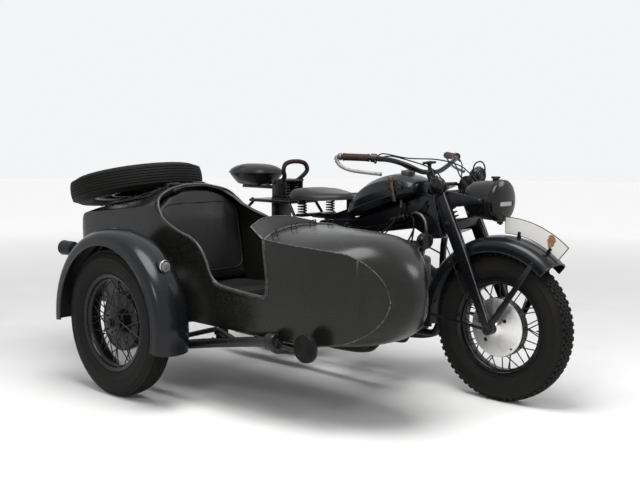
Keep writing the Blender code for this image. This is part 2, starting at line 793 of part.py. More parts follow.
def build_frame():
    """Pressed backbone with the steering head, and the two cradle tubes."""
    beam = rounded(backbone_plate(), 0.010, 1)
    head = rod(head_point(HEAD_LOW), head_point(HEAD_HIGH), HEAD_R, ROUND)
    bore = rod(head_point(HEAD_LOW - 0.05), head_point(HEAD_HIGH + 0.05), STEM_BORE_R, ROUND)
    shave_low = rod(head_point(HEAD_LOW - 0.12), head_point(HEAD_LOW), 0.12, ROUND)
    shave_high = rod(head_point(HEAD_HIGH), head_point(HEAD_HIGH + 0.12), 0.12, ROUND)
    ahead = loft([[head_point(HEAD_LOW - 0.1, 0.020, s), head_point(HEAD_HIGH + 0.1, 0.020, s),
                   head_point(HEAD_HIGH + 0.1, 0.200, s), head_point(HEAD_LOW - 0.1, 0.200, s)] for s in (-0.1, 0.1)])
    beam = cut(beam, ahead)
    node("backbone", cut(fuse(beam, head), bore, shave_low, shave_high), "frame_paint")
    stay = [(0.010, LUG_HALF, AXLE_Z), (0.180, LUG_HALF, 0.560), (0.300, 0.095, 0.690), (0.355, 0.030, 0.712)]
    for name, s in (("cradle_left", 1), ("cradle_right", -1)):
        run = cradle_tube(s)
        rise = tube(smooth_path([(x, s * y, z) for x, y, z in stay], 2), TUBE_R * 0.8)
        lug = rod((0, s * (LUG_HALF - 0.016), AXLE_Z), (0, s * (LUG_HALF + 0.016), AXLE_Z), 0.030, SMALL_ROUND)
        hole = rod((0, s * 0.05, AXLE_Z), (0, s * 0.20, AXLE_Z), AXLE_R + SEAT_GAP, SMALL_ROUND)
        node(name, cut(fuse(run, rise, lug), hole, backbone_plate(SEAT_GAP)), "frame_paint")


def build_engine():
    """Crankcase, gearbox, the two finned cylinders and what hangs on them."""
    case = rounded(box((CASE_REAR, -CASE_HALF, CASE_LOW), (CASE_FRONT, CASE_HALF, CASE_TOP)), 0.022, 2)
    nose = rod((CASE_FRONT - 0.02, 0, CRANK_Z + 0.010), (CASE_FRONT + 0.030, 0, CRANK_Z + 0.010), 0.075, ROUND)
    dynamo = rod((CASE_REAR + 0.030, 0, CASE_TOP + 0.028), (CASE_FRONT - 0.010, 0, CASE_TOP + 0.028), 0.046, ROUND)
    foot = box((0.800, -0.130, CRADLE_LOW_Z + TUBE_R + SEAT_GAP), (0.900, 0.130, CASE_LOW + 0.01))
    case = fuse(case, nose, dynamo, foot)
    node("crankcase", case, "engine_black")
    gearbox = rounded(box((0.470, -0.092, 0.262), (CASE_REAR - SEAT_GAP, 0.092, 0.560)), 0.030, 2)
    kick = rod((0.560, 0.080, 0.360), (0.560, 0.118, 0.360), 0.022, SMALL_ROUND)
    box_foot = box((0.540, -0.130, CRADLE_LOW_Z + TUBE_R + SEAT_GAP), (0.620, 0.130, 0.275))
    node("gearbox", fuse(gearbox, kick, box_foot), "engine_black")
    for name, s in (("cylinder_left", 1), ("cylinder_right", -1)):
        profile = [(0, CASE_HALF + SEAT_GAP), (CYLINDER_R, CASE_HALF + SEAT_GAP)]
        y = CASE_HALF + 0.030
        for _ in range(FINS):
            profile += [(CYLINDER_R, y), (FIN_R, y), (FIN_R, y + FIN_THICK), (CYLINDER_R, y + FIN_THICK)]
            y += FIN_PITCH
        profile += [(FIN_R * 0.92, y + 0.004), (FIN_R * 0.92, y + 0.032), (CYLINDER_R, y + 0.050),
                    (CYLINDER_R, CYLINDER_END - 0.006), (CYLINDER_R - 0.008, CYLINDER_END), (0, CYLINDER_END)]
        barrel = turned(profile, 12)
        if s < 0:
            placed(barrel, Matrix.Scale(-1, 4, (0, 1, 0)))
            barrel.data.flip_normals()
        placed(barrel, Matrix.Translation((CRANK_X, 0, CRANK_Z)))
        node(name, barrel, "engine_black")
    for name, s in (("exhaust_left", 1), ("exhaust_right", -1)):
        path = [(CRANK_X + 0.050, s * 0.270, CRANK_Z - FIN_R + 0.020), (CRANK_X + 0.055, s * 0.270, 0.300), (CRANK_X + 0.020, s * 0.255, 0.215),
                (CRANK_X - 0.080, s * 0.235, 0.170), (0.600, s * 0.225, 0.160), (0.420, s * 0.215, 0.165)]
        pipe = tube(smooth_path(path, 2), 0.020, 2)
        silencer = loft([[(x, s * 0.212 + r * math.cos(math.tau * k / 14), 0.170 + r * math.sin(math.tau * k / 14)) for k in range(14)]
                         for x, r in ((0.430, 0.022), (0.380, 0.044), (-0.060, 0.044), (-0.120, 0.022), (-0.200, 0.018))])
        hanger = box((0.150, min(s * LUG_HALF, s * 0.212), 0.190), (0.170, max(s * LUG_HALF, s * 0.212), 0.204))
        riser = box((0.150, min(s * (LUG_HALF - 0.004), s * (LUG_HALF + 0.004)), 0.190), (0.170, max(s * (LUG_HALF - 0.004), s * (LUG_HALF + 0.004)), 0.262))
        barrel = rod((CRANK_X, s * CASE_HALF, CRANK_Z), (CRANK_X, s * CYLINDER_END, CRANK_Z), FIN_R + 0.002, 24)
        node(name, cut(fuse(pipe, silencer, hanger, riser), barrel, cradle_tube(s, SEAT_GAP)), "frame_paint")
    filter_drum = rod((0.700, -0.075, 0.622), (0.700, 0.075, 0.622), 0.050, 20)
    arms = []
    for s in (-1, 1):
        arms.append(tube(smooth_path([(0.700, s * 0.060, 0.622), (0.715, s * 0.140, 0.610), (0.770, s * 0.205, 0.560), (CRANK_X - 0.010, s * 0.232, CRANK_Z + FIN_R - 0.01)], 3), 0.017, 1))
        arms.append(rod((0.722, s * 0.165, 0.520), (0.722, s * 0.165, 0.640), 0.026, SMALL_ROUND))
    foot = box((0.670, -0.030, 0.560 + SEAT_GAP), (0.730, 0.030, 0.600))
    barrels = rod((CRANK_X, -CYLINDER_END, CRANK_Z), (CRANK_X, CYLINDER_END, CRANK_Z), FIN_R + 0.002, 24)
    node("air_filter", cut(fuse(filter_drum, *arms, foot), barrels), "engine_black")


def tank_rings():
    """Sections of the fuel tank: a low pointed tail, a high shoulder and a blunt front."""
    stations = (
        # x, underside z, side z, top z, half width as a share
        (0.530, 0.766, 0.784, 0.808, 0.45),
        (0.580, 0.774, 0.824, 0.868, 0.80),
        (0.660, 0.796, 0.866, 0.940, 0.98),
        (0.760, 0.830, 0.900, 0.980, 1.00),
        (0.860, 0.862, 0.920, TANK_TOP, 0.96),
        (0.950, 0.890, 0.930, 0.966, 0.80),
        (0.970, 0.898, 0.926, 0.945, 0.62),
    )
    rings = []
    for x, low, side, high, share in stations:
        half = TANK_HALF * share
        right = [
            (0.044, low), (half * 0.80, low + 0.004), (half, low + (side - low) * 0.45), (half, side),
            (half * 0.86, side + (high - side) * 0.60), (half * 0.50, side + (high - side) * 0.92), (0.010, high),
        ]
        loop = [(x, -y, z) for y, z in right] + [(x, y, z) for y, z in reversed(right)]
        rings.append(loop)
    return rings


def build_tank():
    """Fuel tank astride the backbone, with its cap."""
    tank = loft(tank_rings())
    cap = rod((0.860, 0, TANK_TOP - 0.012), (0.860, 0, TANK_TOP + 0.016), 0.034, ROUND)
    tank = fuse(tank, cap)
    node("fuel_tank", cut(tank, backbone_plate(SEAT_GAP)), "black_paint")


def build_seats():
    """Sprung saddle and the pillion seat on its carrier."""
    rings = []
    for x, half, low, top in ((0.185, 0.090, 0.872, 0.888), (0.215, 0.150, 0.862, 0.900), (0.290, 0.168, 0.850, 0.902),
                              (0.390, 0.140, 0.846, 0.890), (0.470, 0.075, 0.850, 0.884), (0.540, 0.042, 0.856, 0.886), (0.565, 0.020, 0.862, 0.880)):
        rings.append([(x, -half * 0.7, low + 0.006), (x, -half, low), (x, -half * 0.96, low + 0.016), (x, -half * 0.7, top - 0.006), (x, 0, top),
                      (x, half * 0.7, top - 0.006), (x, half * 0.96, low + 0.016), (x, half, low), (x, half * 0.7, low + 0.006)])
    node("saddle", loft(rings), "leather")
    springs = []
    for s in (-1, 1):
        bands = []
        steps = 8
        for step in range(steps + 1):
            z = 0.768 + (0.860 - 0.768) * step / steps
            radius = 0.024 if step % 2 else 0.017
            bands.append([(0.260 + radius * math.cos(math.tau * k / 10), s * 0.105 + radius * math.sin(math.tau * k / 10), z) for k in range(10)])
        springs.append(loft(bands))
    cross = box((0.236, -0.130, 0.755), (0.284, 0.130, 0.770))
    arm = outline_plate([(0.240, 0.745), (0.400, 0.7435), (0.520, 0.7600), (0.520, 0.800), (0.500, 0.864), (0.480, 0.864), (0.480, 0.800), (0.400, 0.775), (0.240, 0.770)], 0.014)
    clear_tank = loft([[(x, y * 1.003, z) for x, y, z in ring] for ring in tank_rings()])
    saddle_frame = fuse(arm, cross, *springs)
    saddle_clear = loft([[(x, y, z - SEAT_GAP) for x, y, z in ring] for ring in rings])
    saddle_frame = cut(saddle_frame, backbone_plate(SEAT_GAP), clear_tank)
    # The exact solver takes the saddle's folded underside the wrong way round here
    saddle_frame = combine(saddle_frame, [saddle_clear], "DIFFERENCE", "MANIFOLD")
    node("saddle_springs", saddle_frame, "frame_paint")
    pad_rings = []
    for z, inset in ((PILLION_Z, 0.046), (0.925, 0.026), (0.966, 0.0), (0.982, 0.006), (1.004, 0.045), (1.014, 0.090)):
        ring = []
        for k in range(18):
            angle = math.tau * k / 18
            cx = math.copysign(abs(math.cos(angle)) ** 0.6, math.cos(angle))
            cy = math.copysign(abs(math.sin(angle)) ** 0.6, math.sin(angle))
            ring.append((PILLION_X + (0.150 - inset) * cx, (0.122 - inset) * cy, z))
        pad_rings.append(ring)
    node("pillion_seat", loft(pad_rings), "leather")


def build_rear():
    """Rear mudguard, carrier, final drive and rear axle."""
    guard = arc_guard(0.0, REAR_GUARD_FROM, REAR_GUARD_TO)
    clear_guard = arc_guard(0.0, REAR_GUARD_FROM, REAR_GUARD_TO, GUARD_R + SEAT_GAP, GUARD_HALF + SEAT_GAP)
    node("rear_mudguard", guard, "black_paint")
    plate = rounded(box((-0.140, -0.110, 0.815), (0.170, 0.110, 0.831)), 0.004, 1)
    legs = []
    for s in (-1, 1):
        legs.append(tube(smooth_path([(-0.110, s * 0.100, 0.823), (-0.135, s * 0.125, 0.740), (-0.060, s * 0.150, 0.420), (-0.004, s * 0.1535, AXLE_Z)], 2), 0.008, 1))
        legs.append(rod((0, s * (LUG_HALF + 0.016 + SEAT_GAP), AXLE_Z), (0, s * (LUG_HALF + 0.034), AXLE_Z), 0.020, SMALL_ROUND))
    saddle_block = box((-0.030, -0.050, GUARD_R + AXLE_Z - 0.0045), (0.030, 0.050, 0.820))
    front_leg = [tube([(0.160, s * 0.100, 0.818), (0.268, s * 0.118, 0.672)], 0.008, 1) for s in (-1, 1)]
    spring_box = rounded(box((-0.008, -0.070, 0.828), (0.100, 0.070, 0.938)), 0.012, 1)
    arm = rounded(box((PILLION_X - 0.060, -0.060, PILLION_Z - SEAT_GAP - 0.016), (0.050, 0.060, PILLION_Z - SEAT_GAP)), 0.004, 1)
    hoop = [(0.050, -0.050, 0.920), (0.090, -0.066, 0.952), (0.105, -0.088, 0.985), (0.105, -0.074, 1.018), (0.105, -0.030, 1.031),
            (0.105, 0.030, 1.031), (0.105, 0.074, 1.018), (0.105, 0.088, 0.985), (0.090, 0.066, 0.952), (0.050, 0.050, 0.920)]
    hoop = tube(smooth_path(hoop, 2), 0.0115)
    axle_hole = rod((0, -0.3, AXLE_Z), (0, 0.3, AXLE_Z), AXLE_R + SEAT_GAP, SMALL_ROUND)
    carrier = fuse(plate, *legs, saddle_block, *front_leg, spring_box, arm, hoop)
    stay = []
    for s in (-1, 1):
        path = [(0.010, s * LUG_HALF, AXLE_Z), (0.180, s * LUG_HALF, 0.560), (0.300, s * 0.095, 0.690), (0.355, s * 0.030, 0.712)]
        stay.append(tube(smooth_path(path, 2), TUBE_R * 0.8 + SEAT_GAP))
    node("carrier", cut(carrier, axle_hole, clear_guard, *stay), "frame_paint")
    inner = HUB_HALF + 0.008
    bevel_box = rod((0, -inner, AXLE_Z), (0, -(LUG_HALF - 0.016 - SEAT_GAP), AXLE_Z), 0.092, ROUND)
    shaft = rod((0.040, -0.086, AXLE_Z), (0.466, -0.086, 0.360), 0.020, SMALL_ROUND)
    drive = fuse(bevel_box, shaft)
    axle = rod((0, -LUG_HALF - 0.050, AXLE_Z), (0, LUG_HALF + 0.050, AXLE_Z), AXLE_R, SMALL_ROUND)
    node("final_drive", fuse(drive, axle), "engine_black")
    rest_z = CRADLE_LOW_Z + TUBE_R + 0.0105
    bar = rod((0.655, -0.250, rest_z), (0.655, 0.250, rest_z), 0.0135, SMALL_ROUND)
    pads = [rod((0.655, s * 0.160, rest_z), (0.655, s * 0.262, rest_z), 0.020, SMALL_ROUND) for s in (-1, 1)]
    node("footrests", cut(fuse(bar, *pads), cradle_tube(1, SEAT_GAP), cradle_tube(-1, SEAT_GAP)), "rubber")


def spare_centre():
    """Where the spare wheel's centre lies over the boot."""
    return Vector((-0.330, TUB_Y - 0.010, 0.915))


# Sections of the sidecar body, from the rear panel to the nose
TUB_SECTIONS = (
    # upper edge: x, z, crown, half width; lower edge: x, z, crown, half width
    ((-0.484, 0.705, 0.010, 0.236), (-0.470, 0.440, 0.000, 0.236)),
    ((-0.468, 0.760, 0.020, 0.242), (-0.440, 0.395, 0.000, 0.243)),
    ((-0.430, 0.782, 0.030, 0.246), (-0.400, 0.362, 0.000, 0.246)),
    ((-0.300, 0.797, 0.046, 0.252), (-0.300, 0.350, 0.000, 0.252)),
    ((0.000, 0.828, 0.080, 0.259), (0.000, 0.345, 0.000, 0.259)),
    ((0.130, 0.843, 0.090, 0.262), (0.130, 0.345, 0.000, 0.262)),
    ((0.300, 0.790, 0.062, 0.262), (0.300, 0.345, 0.000, 0.262)),
    ((0.700, 0.754, 0.046, 0.262), (0.700, 0.342, 0.000, 0.262)),
    ((0.868, 0.744, 0.045, 0.262), (0.868, 0.340, 0.000, 0.262)),
    ((0.970, 0.736, 0.048, 0.259), (0.970, 0.338, 0.000, 0.259)),
    ((1.100, 0.728, 0.054, 0.250), (1.073, 0.337, 0.004, 0.252)),
    ((1.200, 0.720, 0.058, 0.232), (1.172, 0.345, 0.012, 0.238)),
    ((1.290, 0.707, 0.060, 0.203), (1.261, 0.361, 0.026, 0.214)),
    ((1.355, 0.669, 0.060, 0.170), (1.320, 0.386, 0.040, 0.190)),
    ((1.398, 0.614, 0.060, 0.136), (1.370, 0.422, 0.052, 0.160)),
    ((1.414, 0.562, 0.060, 0.118), (1.405, 0.470, 0.060, 0.131)),
    ((1.418, 0.530, 0.060, 0.113), (1.417, 0.518, 0.060, 0.114)),
)
TUB_ACROSS = 6


def crown_share(u):
    """How much of the crown stands at a share of the half width."""
    return 1 - abs(u) ** 2.5


def tub_rings(inset=0.0):
    """Rings of the body: the upper strip from its near edge to its far one, then the lower strip back."""
    chain = [pair[0] for pair in TUB_SECTIONS] + [pair[1] for pair in reversed(TUB_SECTIONS)]
    arcs = []
    for i, (x, z, crown, half) in enumerate(chain):
        before, after = chain[max(i - 1, 0)], chain[min(i + 1, len(chain) - 1)]
        along = Vector((after[0] - before[0], after[1] - before[1])).normalized()
        out = Vector((-along.y, along.x))
        arc = []
        for k in range(TUB_ACROSS + 1):
            u = -1 + 2 * k / TUB_ACROSS
            lift = crown * crown_share(u) - inset
            arc.append((x + out.x * lift, TUB_Y + (half - inset) * u, z + out.y * lift))
        arcs.append(arc)
    count = len(TUB_SECTIONS)
    return [arcs[i] + arcs[2 * count - 1 - i][::-1] for i in range(count)]


def deck_z(x, y):
    """Height of the body's top over a point."""
    uppers = [pair[0] for pair in TUB_SECTIONS]
    for low, high in zip(uppers[1:], uppers[2:]):
        if low[0] <= x <= high[0]:
            t = (x - low[0]) / (high[0] - low[0])
            shoulder, crown, half = (low[i] + (high[i] - low[i]) * t for i in (1, 2, 3))
            return shoulder + crown * crown_share((y - TUB_Y) / half)
    return uppers[1][1]


ENTRY = (
    # the near side's cut-out from the boot's corner down to the sill and up the scuttle, as (x, z)
    (0.129, 1.200), (0.131, 0.856), (0.200, 0.792), (0.300, 0.745), (0.400, 0.716), (0.460, 0.682), (0.505, 0.625), (0.540, 0.560),
    (0.590, 0.524), (0.700, 0.512), (0.860, 0.502), (0.893, 0.520), (0.898, 0.560), (0.880, 0.680), (0.8692, 0.738), (0.860, 1.200),
)
COCKPIT = (
    # the whole cockpit's top edge, as (x, z)
    (0.120, 1.100), (0.125, 0.925), (0.200, 0.862), (0.300, 0.800), (0.420, 0.752), (0.560, 0.735), (0.800, 0.735), (0.868, 0.745), (0.868, 1.100),
)


COAMING = (
    # down the near side's cut-out and up to the cowl
    (0.150, -0.930, 0.868), (0.200, -0.945, 0.795), (0.300, -0.947, 0.745), (0.400, -0.947, 0.716), (0.460, -0.947, 0.682),
    (0.505, -0.947, 0.625), (0.540, -0.947, 0.560), (0.590, -0.947, 0.524), (0.700, -0.947, 0.512), (0.850, -0.947, 0.503),
    (0.893, -0.947, 0.530), (0.897, -0.947, 0.570), (0.880, -0.947, 0.680), (0.869, -0.944, 0.742),
    # across the cowl's rear edge
    (0.868, -0.880, 0.770), (0.868, -0.780, 0.787), (0.868, -0.690, 0.789), (0.868, -0.600, 0.787), (0.868, -0.500, 0.770),
    (0.868, -0.437, 0.742),
    # back along the far side and over the seat's back
    (0.780, -0.433, 0.742), (0.560, -0.433, 0.745), (0.420, -0.433, 0.757), (0.300, -0.433, 0.800), (0.200, -0.438, 0.860),
    (0.150, -0.455, 0.885), (0.128, -0.530, 0.915), (0.121, -0.620, 0.932), (0.120, -0.690, 0.934), (0.121, -0.760, 0.932),
    (0.128, -0.850, 0.912),
)
SCUTTLE = (
    # the raised lip on the near half of the cowl's rear edge: foot, then top
    ((0.874, -0.948, 0.738), (0.797, -0.950, 0.790)),
    ((0.874, -0.880, 0.764), (0.800, -0.880, 0.822)),
    ((0.874, -0.790, 0.781), (0.822, -0.780, 0.826)),
    ((0.874, -0.700, 0.785), (0.845, -0.700, 0.812)),
    ((0.874, -0.640, 0.784), (0.866, -0.640, 0.798)),
)
SCUTTLE_THICK = 0.004


def build_tub():
    """The sidecar's hollow body with its coaming and scuttle lip, and the seat inside."""
    cabin = combine(loft(tub_rings(TUB_WALL)), [box((BULKHEAD_X, -2, 0), (2, 0, 2))], "INTERSECT")
    boot = combine(loft(tub_rings(TUB_WALL)), [box((-2, -2, 0), (BULKHEAD_X - TUB_WALL, 0, 2))], "INTERSECT")
    cockpit = placed(outline_plate(COCKPIT, TUB_HALF + 0.05), Matrix.Translation((0, TUB_Y, 0)))
    entry = placed(outline_plate(ENTRY, 0.120), Matrix.Translation((0, TUB_Y - TUB_HALF, 0)))
    mouth = box((LID_REAR_X + 0.030, TUB_Y - MOUTH_HALF, 0.70), (LID_FRONT_X - 0.020, TUB_Y + MOUTH_HALF, 1.00))
    tub = cut(loft(tub_rings()), fuse(cabin, cockpit, entry), fuse(boot, mouth))
    lip = loft([[foot, top, (top[0] + SCUTTLE_THICK, *top[1:]), (foot[0] + SCUTTLE_THICK, *foot[1:])] for foot, top in SCUTTLE])
    pin = rod((HINGE_X, TUB_Y - 0.114, HINGE_Z), (HINGE_X, TUB_Y + 0.114, HINGE_Z), HINGE_PIN_R, SMALL_ROUND)
    stands = [box((HINGE_X - 0.006, TUB_Y + y - 0.005, 0.898), (HINGE_X + 0.010, TUB_Y + y + 0.005, HINGE_Z + 0.007)) for y in (-0.110, 0.0, 0.110)]
    tub = fuse(tub, tube(COAMING, COAMING_R, closed=True), lip, *stands, pin)
    node("sidecar_tub", tub, "black_paint")
    inside = TUB_WALL + SEAT_GAP
    cushion = outline_plate([(0.0705, 0.30), (0.540, 0.30), (0.558, 0.420), (0.540, 0.466), (0.480, 0.478), (0.0705, 0.462)], 0.30)
    back = outline_plate([(0.0705, 0.4625), (0.225, 0.4705), (0.212, 0.560), (0.172, 0.780), (0.140, 0.890), (0.132, 0.960), (0.0705, 0.960)], 0.30)
    for name, plate in (("seat_cushion", cushion), ("seat_back", back)):
        placed(plate, Matrix.Translation((0, TUB_Y, 0)))
        body = combine(loft(tub_rings(inside)), [plate], "INTERSECT")
        body = cut(body, tube(COAMING, COAMING_R + SEAT_GAP, closed=True))
        node(name, body, "leather")


def build_lid():
    """Boot lid with its hinge, and the post that carries the spare wheel."""
    rings = []
    for x in (LID_REAR_X, -0.300, -0.200, -0.100, 0.000, LID_FRONT_X):
        across = [TUB_Y + LID_HALF * (-1 + 2 * k / TUB_ACROSS) for k in range(TUB_ACROSS + 1)]
        top = [(x, y, deck_z(x, y) + LID_GAP + LID_THICK) for y in across]
        low = [(x, y, deck_z(x, y) + LID_GAP) for y in across]
        rings.append(top + low[::-1])
    lid = loft(rings)
    leaf = [(0.004, 0.9185), (0.026, 0.9195), (HINGE_X, HINGE_Z - 0.005), (HINGE_X, HINGE_Z + 0.004), (0.030, 0.9290), (0.004, 0.9270)]
    knuckles = []
    for side in (-1, 1):
        y = TUB_Y + side * 0.070
        knuckles.append(rod((HINGE_X, y - 0.028, HINGE_Z), (HINGE_X, y + 0.028, HINGE_Z), HINGE_KNUCKLE_R, SMALL_ROUND))
        knuckles.append(placed(outline_plate(leaf, 0.025), Matrix.Translation((0, y, 0))))
    bore = rod((HINGE_X, TUB_Y - 0.2, HINGE_Z), (HINGE_X, TUB_Y + 0.2, HINGE_Z), HINGE_BORE_R, SMALL_ROUND)
    node("boot_lid", cut(fuse(lid, *knuckles), bore), "black_paint", (HINGE_X, TUB_Y, HINGE_Z))
    up = Vector((-math.sin(LID_SLOPE), 0, math.cos(LID_SLOPE)))
    centre = spare_centre()
    seat = centre - up * (HUB_HALF + SEAT_GAP)
    post = rod(seat - up * 0.040, seat, 0.045, ROUND)
    stud = rod(seat - up * 0.005, centre + up * (HUB_HALF + 0.020), AXLE_R, SMALL_ROUND)
    nut = rod(centre + up * (HUB_HALF + SEAT_GAP), centre + up * (HUB_HALF + 0.014), 0.020, 6)
    raised = [[(x, y, z + SEAT_GAP) for x, y, z in ring] for ring in rings]
    under = loft([ring[: TUB_ACROSS + 1] + [(x, y, z - 0.08) for x, y, z in ring[TUB_ACROSS + 1 :]] for ring in raised])
    node("spare_mount", cut(fuse(post, stud, nut), under), "frame_paint", (HINGE_X, TUB_Y, HINGE_Z))


def build_chassis():
    """The sidecar's tubes, its axle, struts and step."""
    front = tube(smooth_path([(0.952, -CRADLE_HALF - TUBE_R - SEAT_GAP, 0.268), (0.965, -0.300, 0.296), (0.985, -0.480, 0.302), (0.972, -0.930, 0.304), (0.962, -0.985, 0.335)], 1), 0.019, 2)
    inner = rod((REAR_CROSS_X, INNER_RAIL_Y, RAIL_Z), (0.985, INNER_RAIL_Y, RAIL_Z), 0.017, SMALL_ROUND)
    rear = tube([(REAR_CROSS_X, -LUG_HALF - 0.052, AXLE_Z - 0.035), (REAR_CROSS_X, -0.955, AXLE_Z - 0.035), (REAR_CROSS_X, -1.000, AXLE_Z - 0.012), (REAR_CROSS_X, 0.110 - TRACK, AXLE_Z)], RAIL_R, 2)
    outer = tube(smooth_path([(REAR_CROSS_X, -0.985, AXLE_Z - 0.020), (0.200, -0.990, 0.252), (0.300, -0.990, 0.231), (0.600, -0.988, 0.283), (0.965, -0.985, 0.344)], 2), RAIL_R, 2)
    cap = rod((0.935, -0.985, 0.339), (0.985, -0.985, 0.347), 0.034, ROUND)
    strap = tube([(0.320, -0.987, 0.245), (0.360, -0.985, 0.270), (0.600, -0.985, 0.340), (0.636, -0.985, 0.343), (0.750, -0.985, 0.310)], 0.011)
    axle = rod((REAR_CROSS_X, -TRACK + 0.120, AXLE_Z), (REAR_CROSS_X, -TRACK - 0.062, AXLE_Z), AXLE_R, SMALL_ROUND)
    collar = rod((REAR_CROSS_X, -TRACK + COLLAR_REACH, AXLE_Z), (REAR_CROSS_X, -TRACK + 0.116, AXLE_Z), 0.026, 16)
    nut = rod((REAR_CROSS_X, -TRACK - HUB_HALF - 0.001, AXLE_Z), (REAR_CROSS_X, -TRACK - HUB_HALF - 0.014, AXLE_Z), 0.017, 6)
    guard_y = -TRACK + SIDE_GUARD_HALF + 0.0083
    stays = []
    for angle in (math.radians(50), math.radians(130)):
        x, z = on_wheel(0.385, angle, SIDECAR_LEAD)
        stays.append(rod((REAR_CROSS_X, guard_y, AXLE_Z), (x, guard_y, z), 0.008, 8))
    stays.append(rod((0.420, guard_y, 0.256), (0.420, -0.985, 0.252), 0.009, 8))
    stays.append(rod((0.420, guard_y, 0.250), (0.470, guard_y, 0.320), 0.009, 8))
    front_strut = rod((0.984, INNER_RAIL_Y - 0.006, RAIL_Z - 0.005), (1.016, -0.088, 0.655), 0.0135, SMALL_ROUND)
    rear_strut = rod((0.421, INNER_RAIL_Y - 0.006, RAIL_Z - 0.005), (0.400, -0.056, 0.712), 0.0135, SMALL_ROUND)
    lug = rod((REAR_CROSS_X, -LUG_HALF - 0.060, AXLE_Z - 0.034), (REAR_CROSS_X, -LUG_HALF - 0.030, AXLE_Z - 0.036), 0.026, SMALL_ROUND)
    blocks = [box((x - 0.020, y - 0.020, RAIL_Z), (x + 0.020, y + 0.020, top)) for x, y, top in
              ((0.250, INNER_RAIL_Y, 0.340), (0.800, INNER_RAIL_Y, 0.336), (0.618, -0.955, 0.3405))]
    blocks.append(box((0.600, -0.985, 0.318), (0.636, -0.940, 0.330)))
    step = rod((1.157, -0.988, 0.345), (1.157, -1.008, 0.345), 0.057, ROUND)
    arm = tube([(1.157, -0.994, 0.345), (1.150, -0.966, 0.330), (1.080, -0.962, 0.318), (0.975, -0.968, 0.325)], 0.010)
    chassis = fuse(front, inner, rear, outer, cap, strap, axle, collar, nut, *stays, front_strut, rear_strut, lug, *blocks, step, arm)
    under = cut(chassis, cradle_tube(-1, SEAT_GAP), loft(tub_rings(-SEAT_GAP)))
    node("sidecar_chassis", under, "frame_paint")


def build_sidecar_guard():
    """The sidecar wheel's mudguard with its marker lamp and tail lamp."""
    guard = arc_guard(SIDECAR_LEAD, math.radians(-12), math.radians(184), SIDE_GUARD_R, SIDE_GUARD_HALF, SIDE_GUARD_SKIRT, 16)
    placed(guard, Matrix.Translation((0, -TRACK, 0)))
    z = 0.612
    x = SIDECAR_LEAD + math.sqrt(SIDE_GUARD_R**2 - (z - AXLE_Z) ** 2)
    marker = rod((x - 0.012, -TRACK, z), (x + 0.034, -TRACK, z), 0.026, 14)
    z = 0.630
    x = SIDECAR_LEAD - math.sqrt(SIDE_GUARD_R**2 - (z - AXLE_Z) ** 2)
    neck = rod((x + 0.006, -TRACK, z), (x - 0.060, -TRACK, z), 0.014, SMALL_ROUND)
    tail = rod((x - 0.052, -TRACK, z), (x - 0.150, -TRACK, z), 0.034, 14)
    node("sidecar_mudguard", fuse(guard, marker, neck, tail), "black_paint")


def main():
    """Builds every piece."""
    build_wheels()
    build_fork()
    build_fork_spring()
    build_handlebar()
    build_headlamp()
    build_front_guard()
    build_brakes()
    build_frame()
    build_engine()
    build_tank()
    build_seats()
    build_rear()
    build_tub()
    build_lid()
    build_chassis()
    build_sidecar_guard()


main()
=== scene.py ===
"""Dresses the sidecar motorcycle: a flat-twin machine with a fixed sidecar on its right.

Sizes are metres in the machine's own frame, with the rear axle over x = 0, the motorcycle's middle at y = 0 and the
ground at z = 0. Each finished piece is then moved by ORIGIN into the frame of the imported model.
"""

import logging
import math
from dataclasses import dataclass, field
from enum import Enum

import bpy
from mathutils import Matrix, Vector


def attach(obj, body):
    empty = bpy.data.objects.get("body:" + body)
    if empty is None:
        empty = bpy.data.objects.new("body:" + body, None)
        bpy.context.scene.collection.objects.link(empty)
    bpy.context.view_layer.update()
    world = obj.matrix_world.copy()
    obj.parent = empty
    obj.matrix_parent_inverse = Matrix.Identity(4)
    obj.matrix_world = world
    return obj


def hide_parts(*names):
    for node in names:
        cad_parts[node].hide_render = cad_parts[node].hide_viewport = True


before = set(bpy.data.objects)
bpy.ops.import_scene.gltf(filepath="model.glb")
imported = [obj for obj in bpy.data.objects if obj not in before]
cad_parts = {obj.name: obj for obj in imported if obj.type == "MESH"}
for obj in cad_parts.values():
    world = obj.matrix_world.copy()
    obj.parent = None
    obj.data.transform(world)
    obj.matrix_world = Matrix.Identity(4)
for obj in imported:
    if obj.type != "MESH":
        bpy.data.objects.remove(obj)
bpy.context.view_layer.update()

LOG = logging.getLogger("outfit")
ORIGIN = Vector((-0.5388, 0.4006, 0.0))
TINY = 1e-5
QUARTER = math.radians(90)

Object = bpy.types.Object
Material = bpy.types.Material
Socket = bpy.types.NodeSocket
Place = tuple[float, float, float]
Pair = tuple[float, float]


# ---------------------------------------------------------------- bench tools


def pick(*items: Object) -> Object:
    """Selects only these objects.

    Args:
        items: The objects, the first of which becomes the active one.

    Returns:
        The active object.
    """
    bpy.ops.object.select_all(action="DESELECT")
    for item in items:
        item.select_set(True)
    bpy.context.view_layer.objects.active = items[0]
    return items[0]


def modify(item: Object, kind: str, **settings: object) -> Object:
    """Adds a modifier with its settings and applies it.

    Args:
        item: The object to change.
        kind: Blender's name for the modifier's type.
        settings: The modifier's properties.

    Returns:
        The same object.
    """
    pick(item)
    modifier = item.modifiers.new(kind.title(), kind)
    for key, value in settings.items():
        setattr(modifier, key, value)
    bpy.ops.object.modifier_apply(modifier=modifier.name)
    return item


def beveled(item: Object, width: float, segments: int = 2, angle: float = 35) -> Object:
    """Rounds the sharp edges of an object.

    Args:
        item: The object to change.
        width: The bevel's width.
        segments: How many faces round each edge.
        angle: The least fold, in degrees, that is rounded.

    Returns:
        The same object.
    """
    return modify(item, "BEVEL", width=width, segments=segments, limit_method="ANGLE",
                  angle_limit=math.radians(angle))


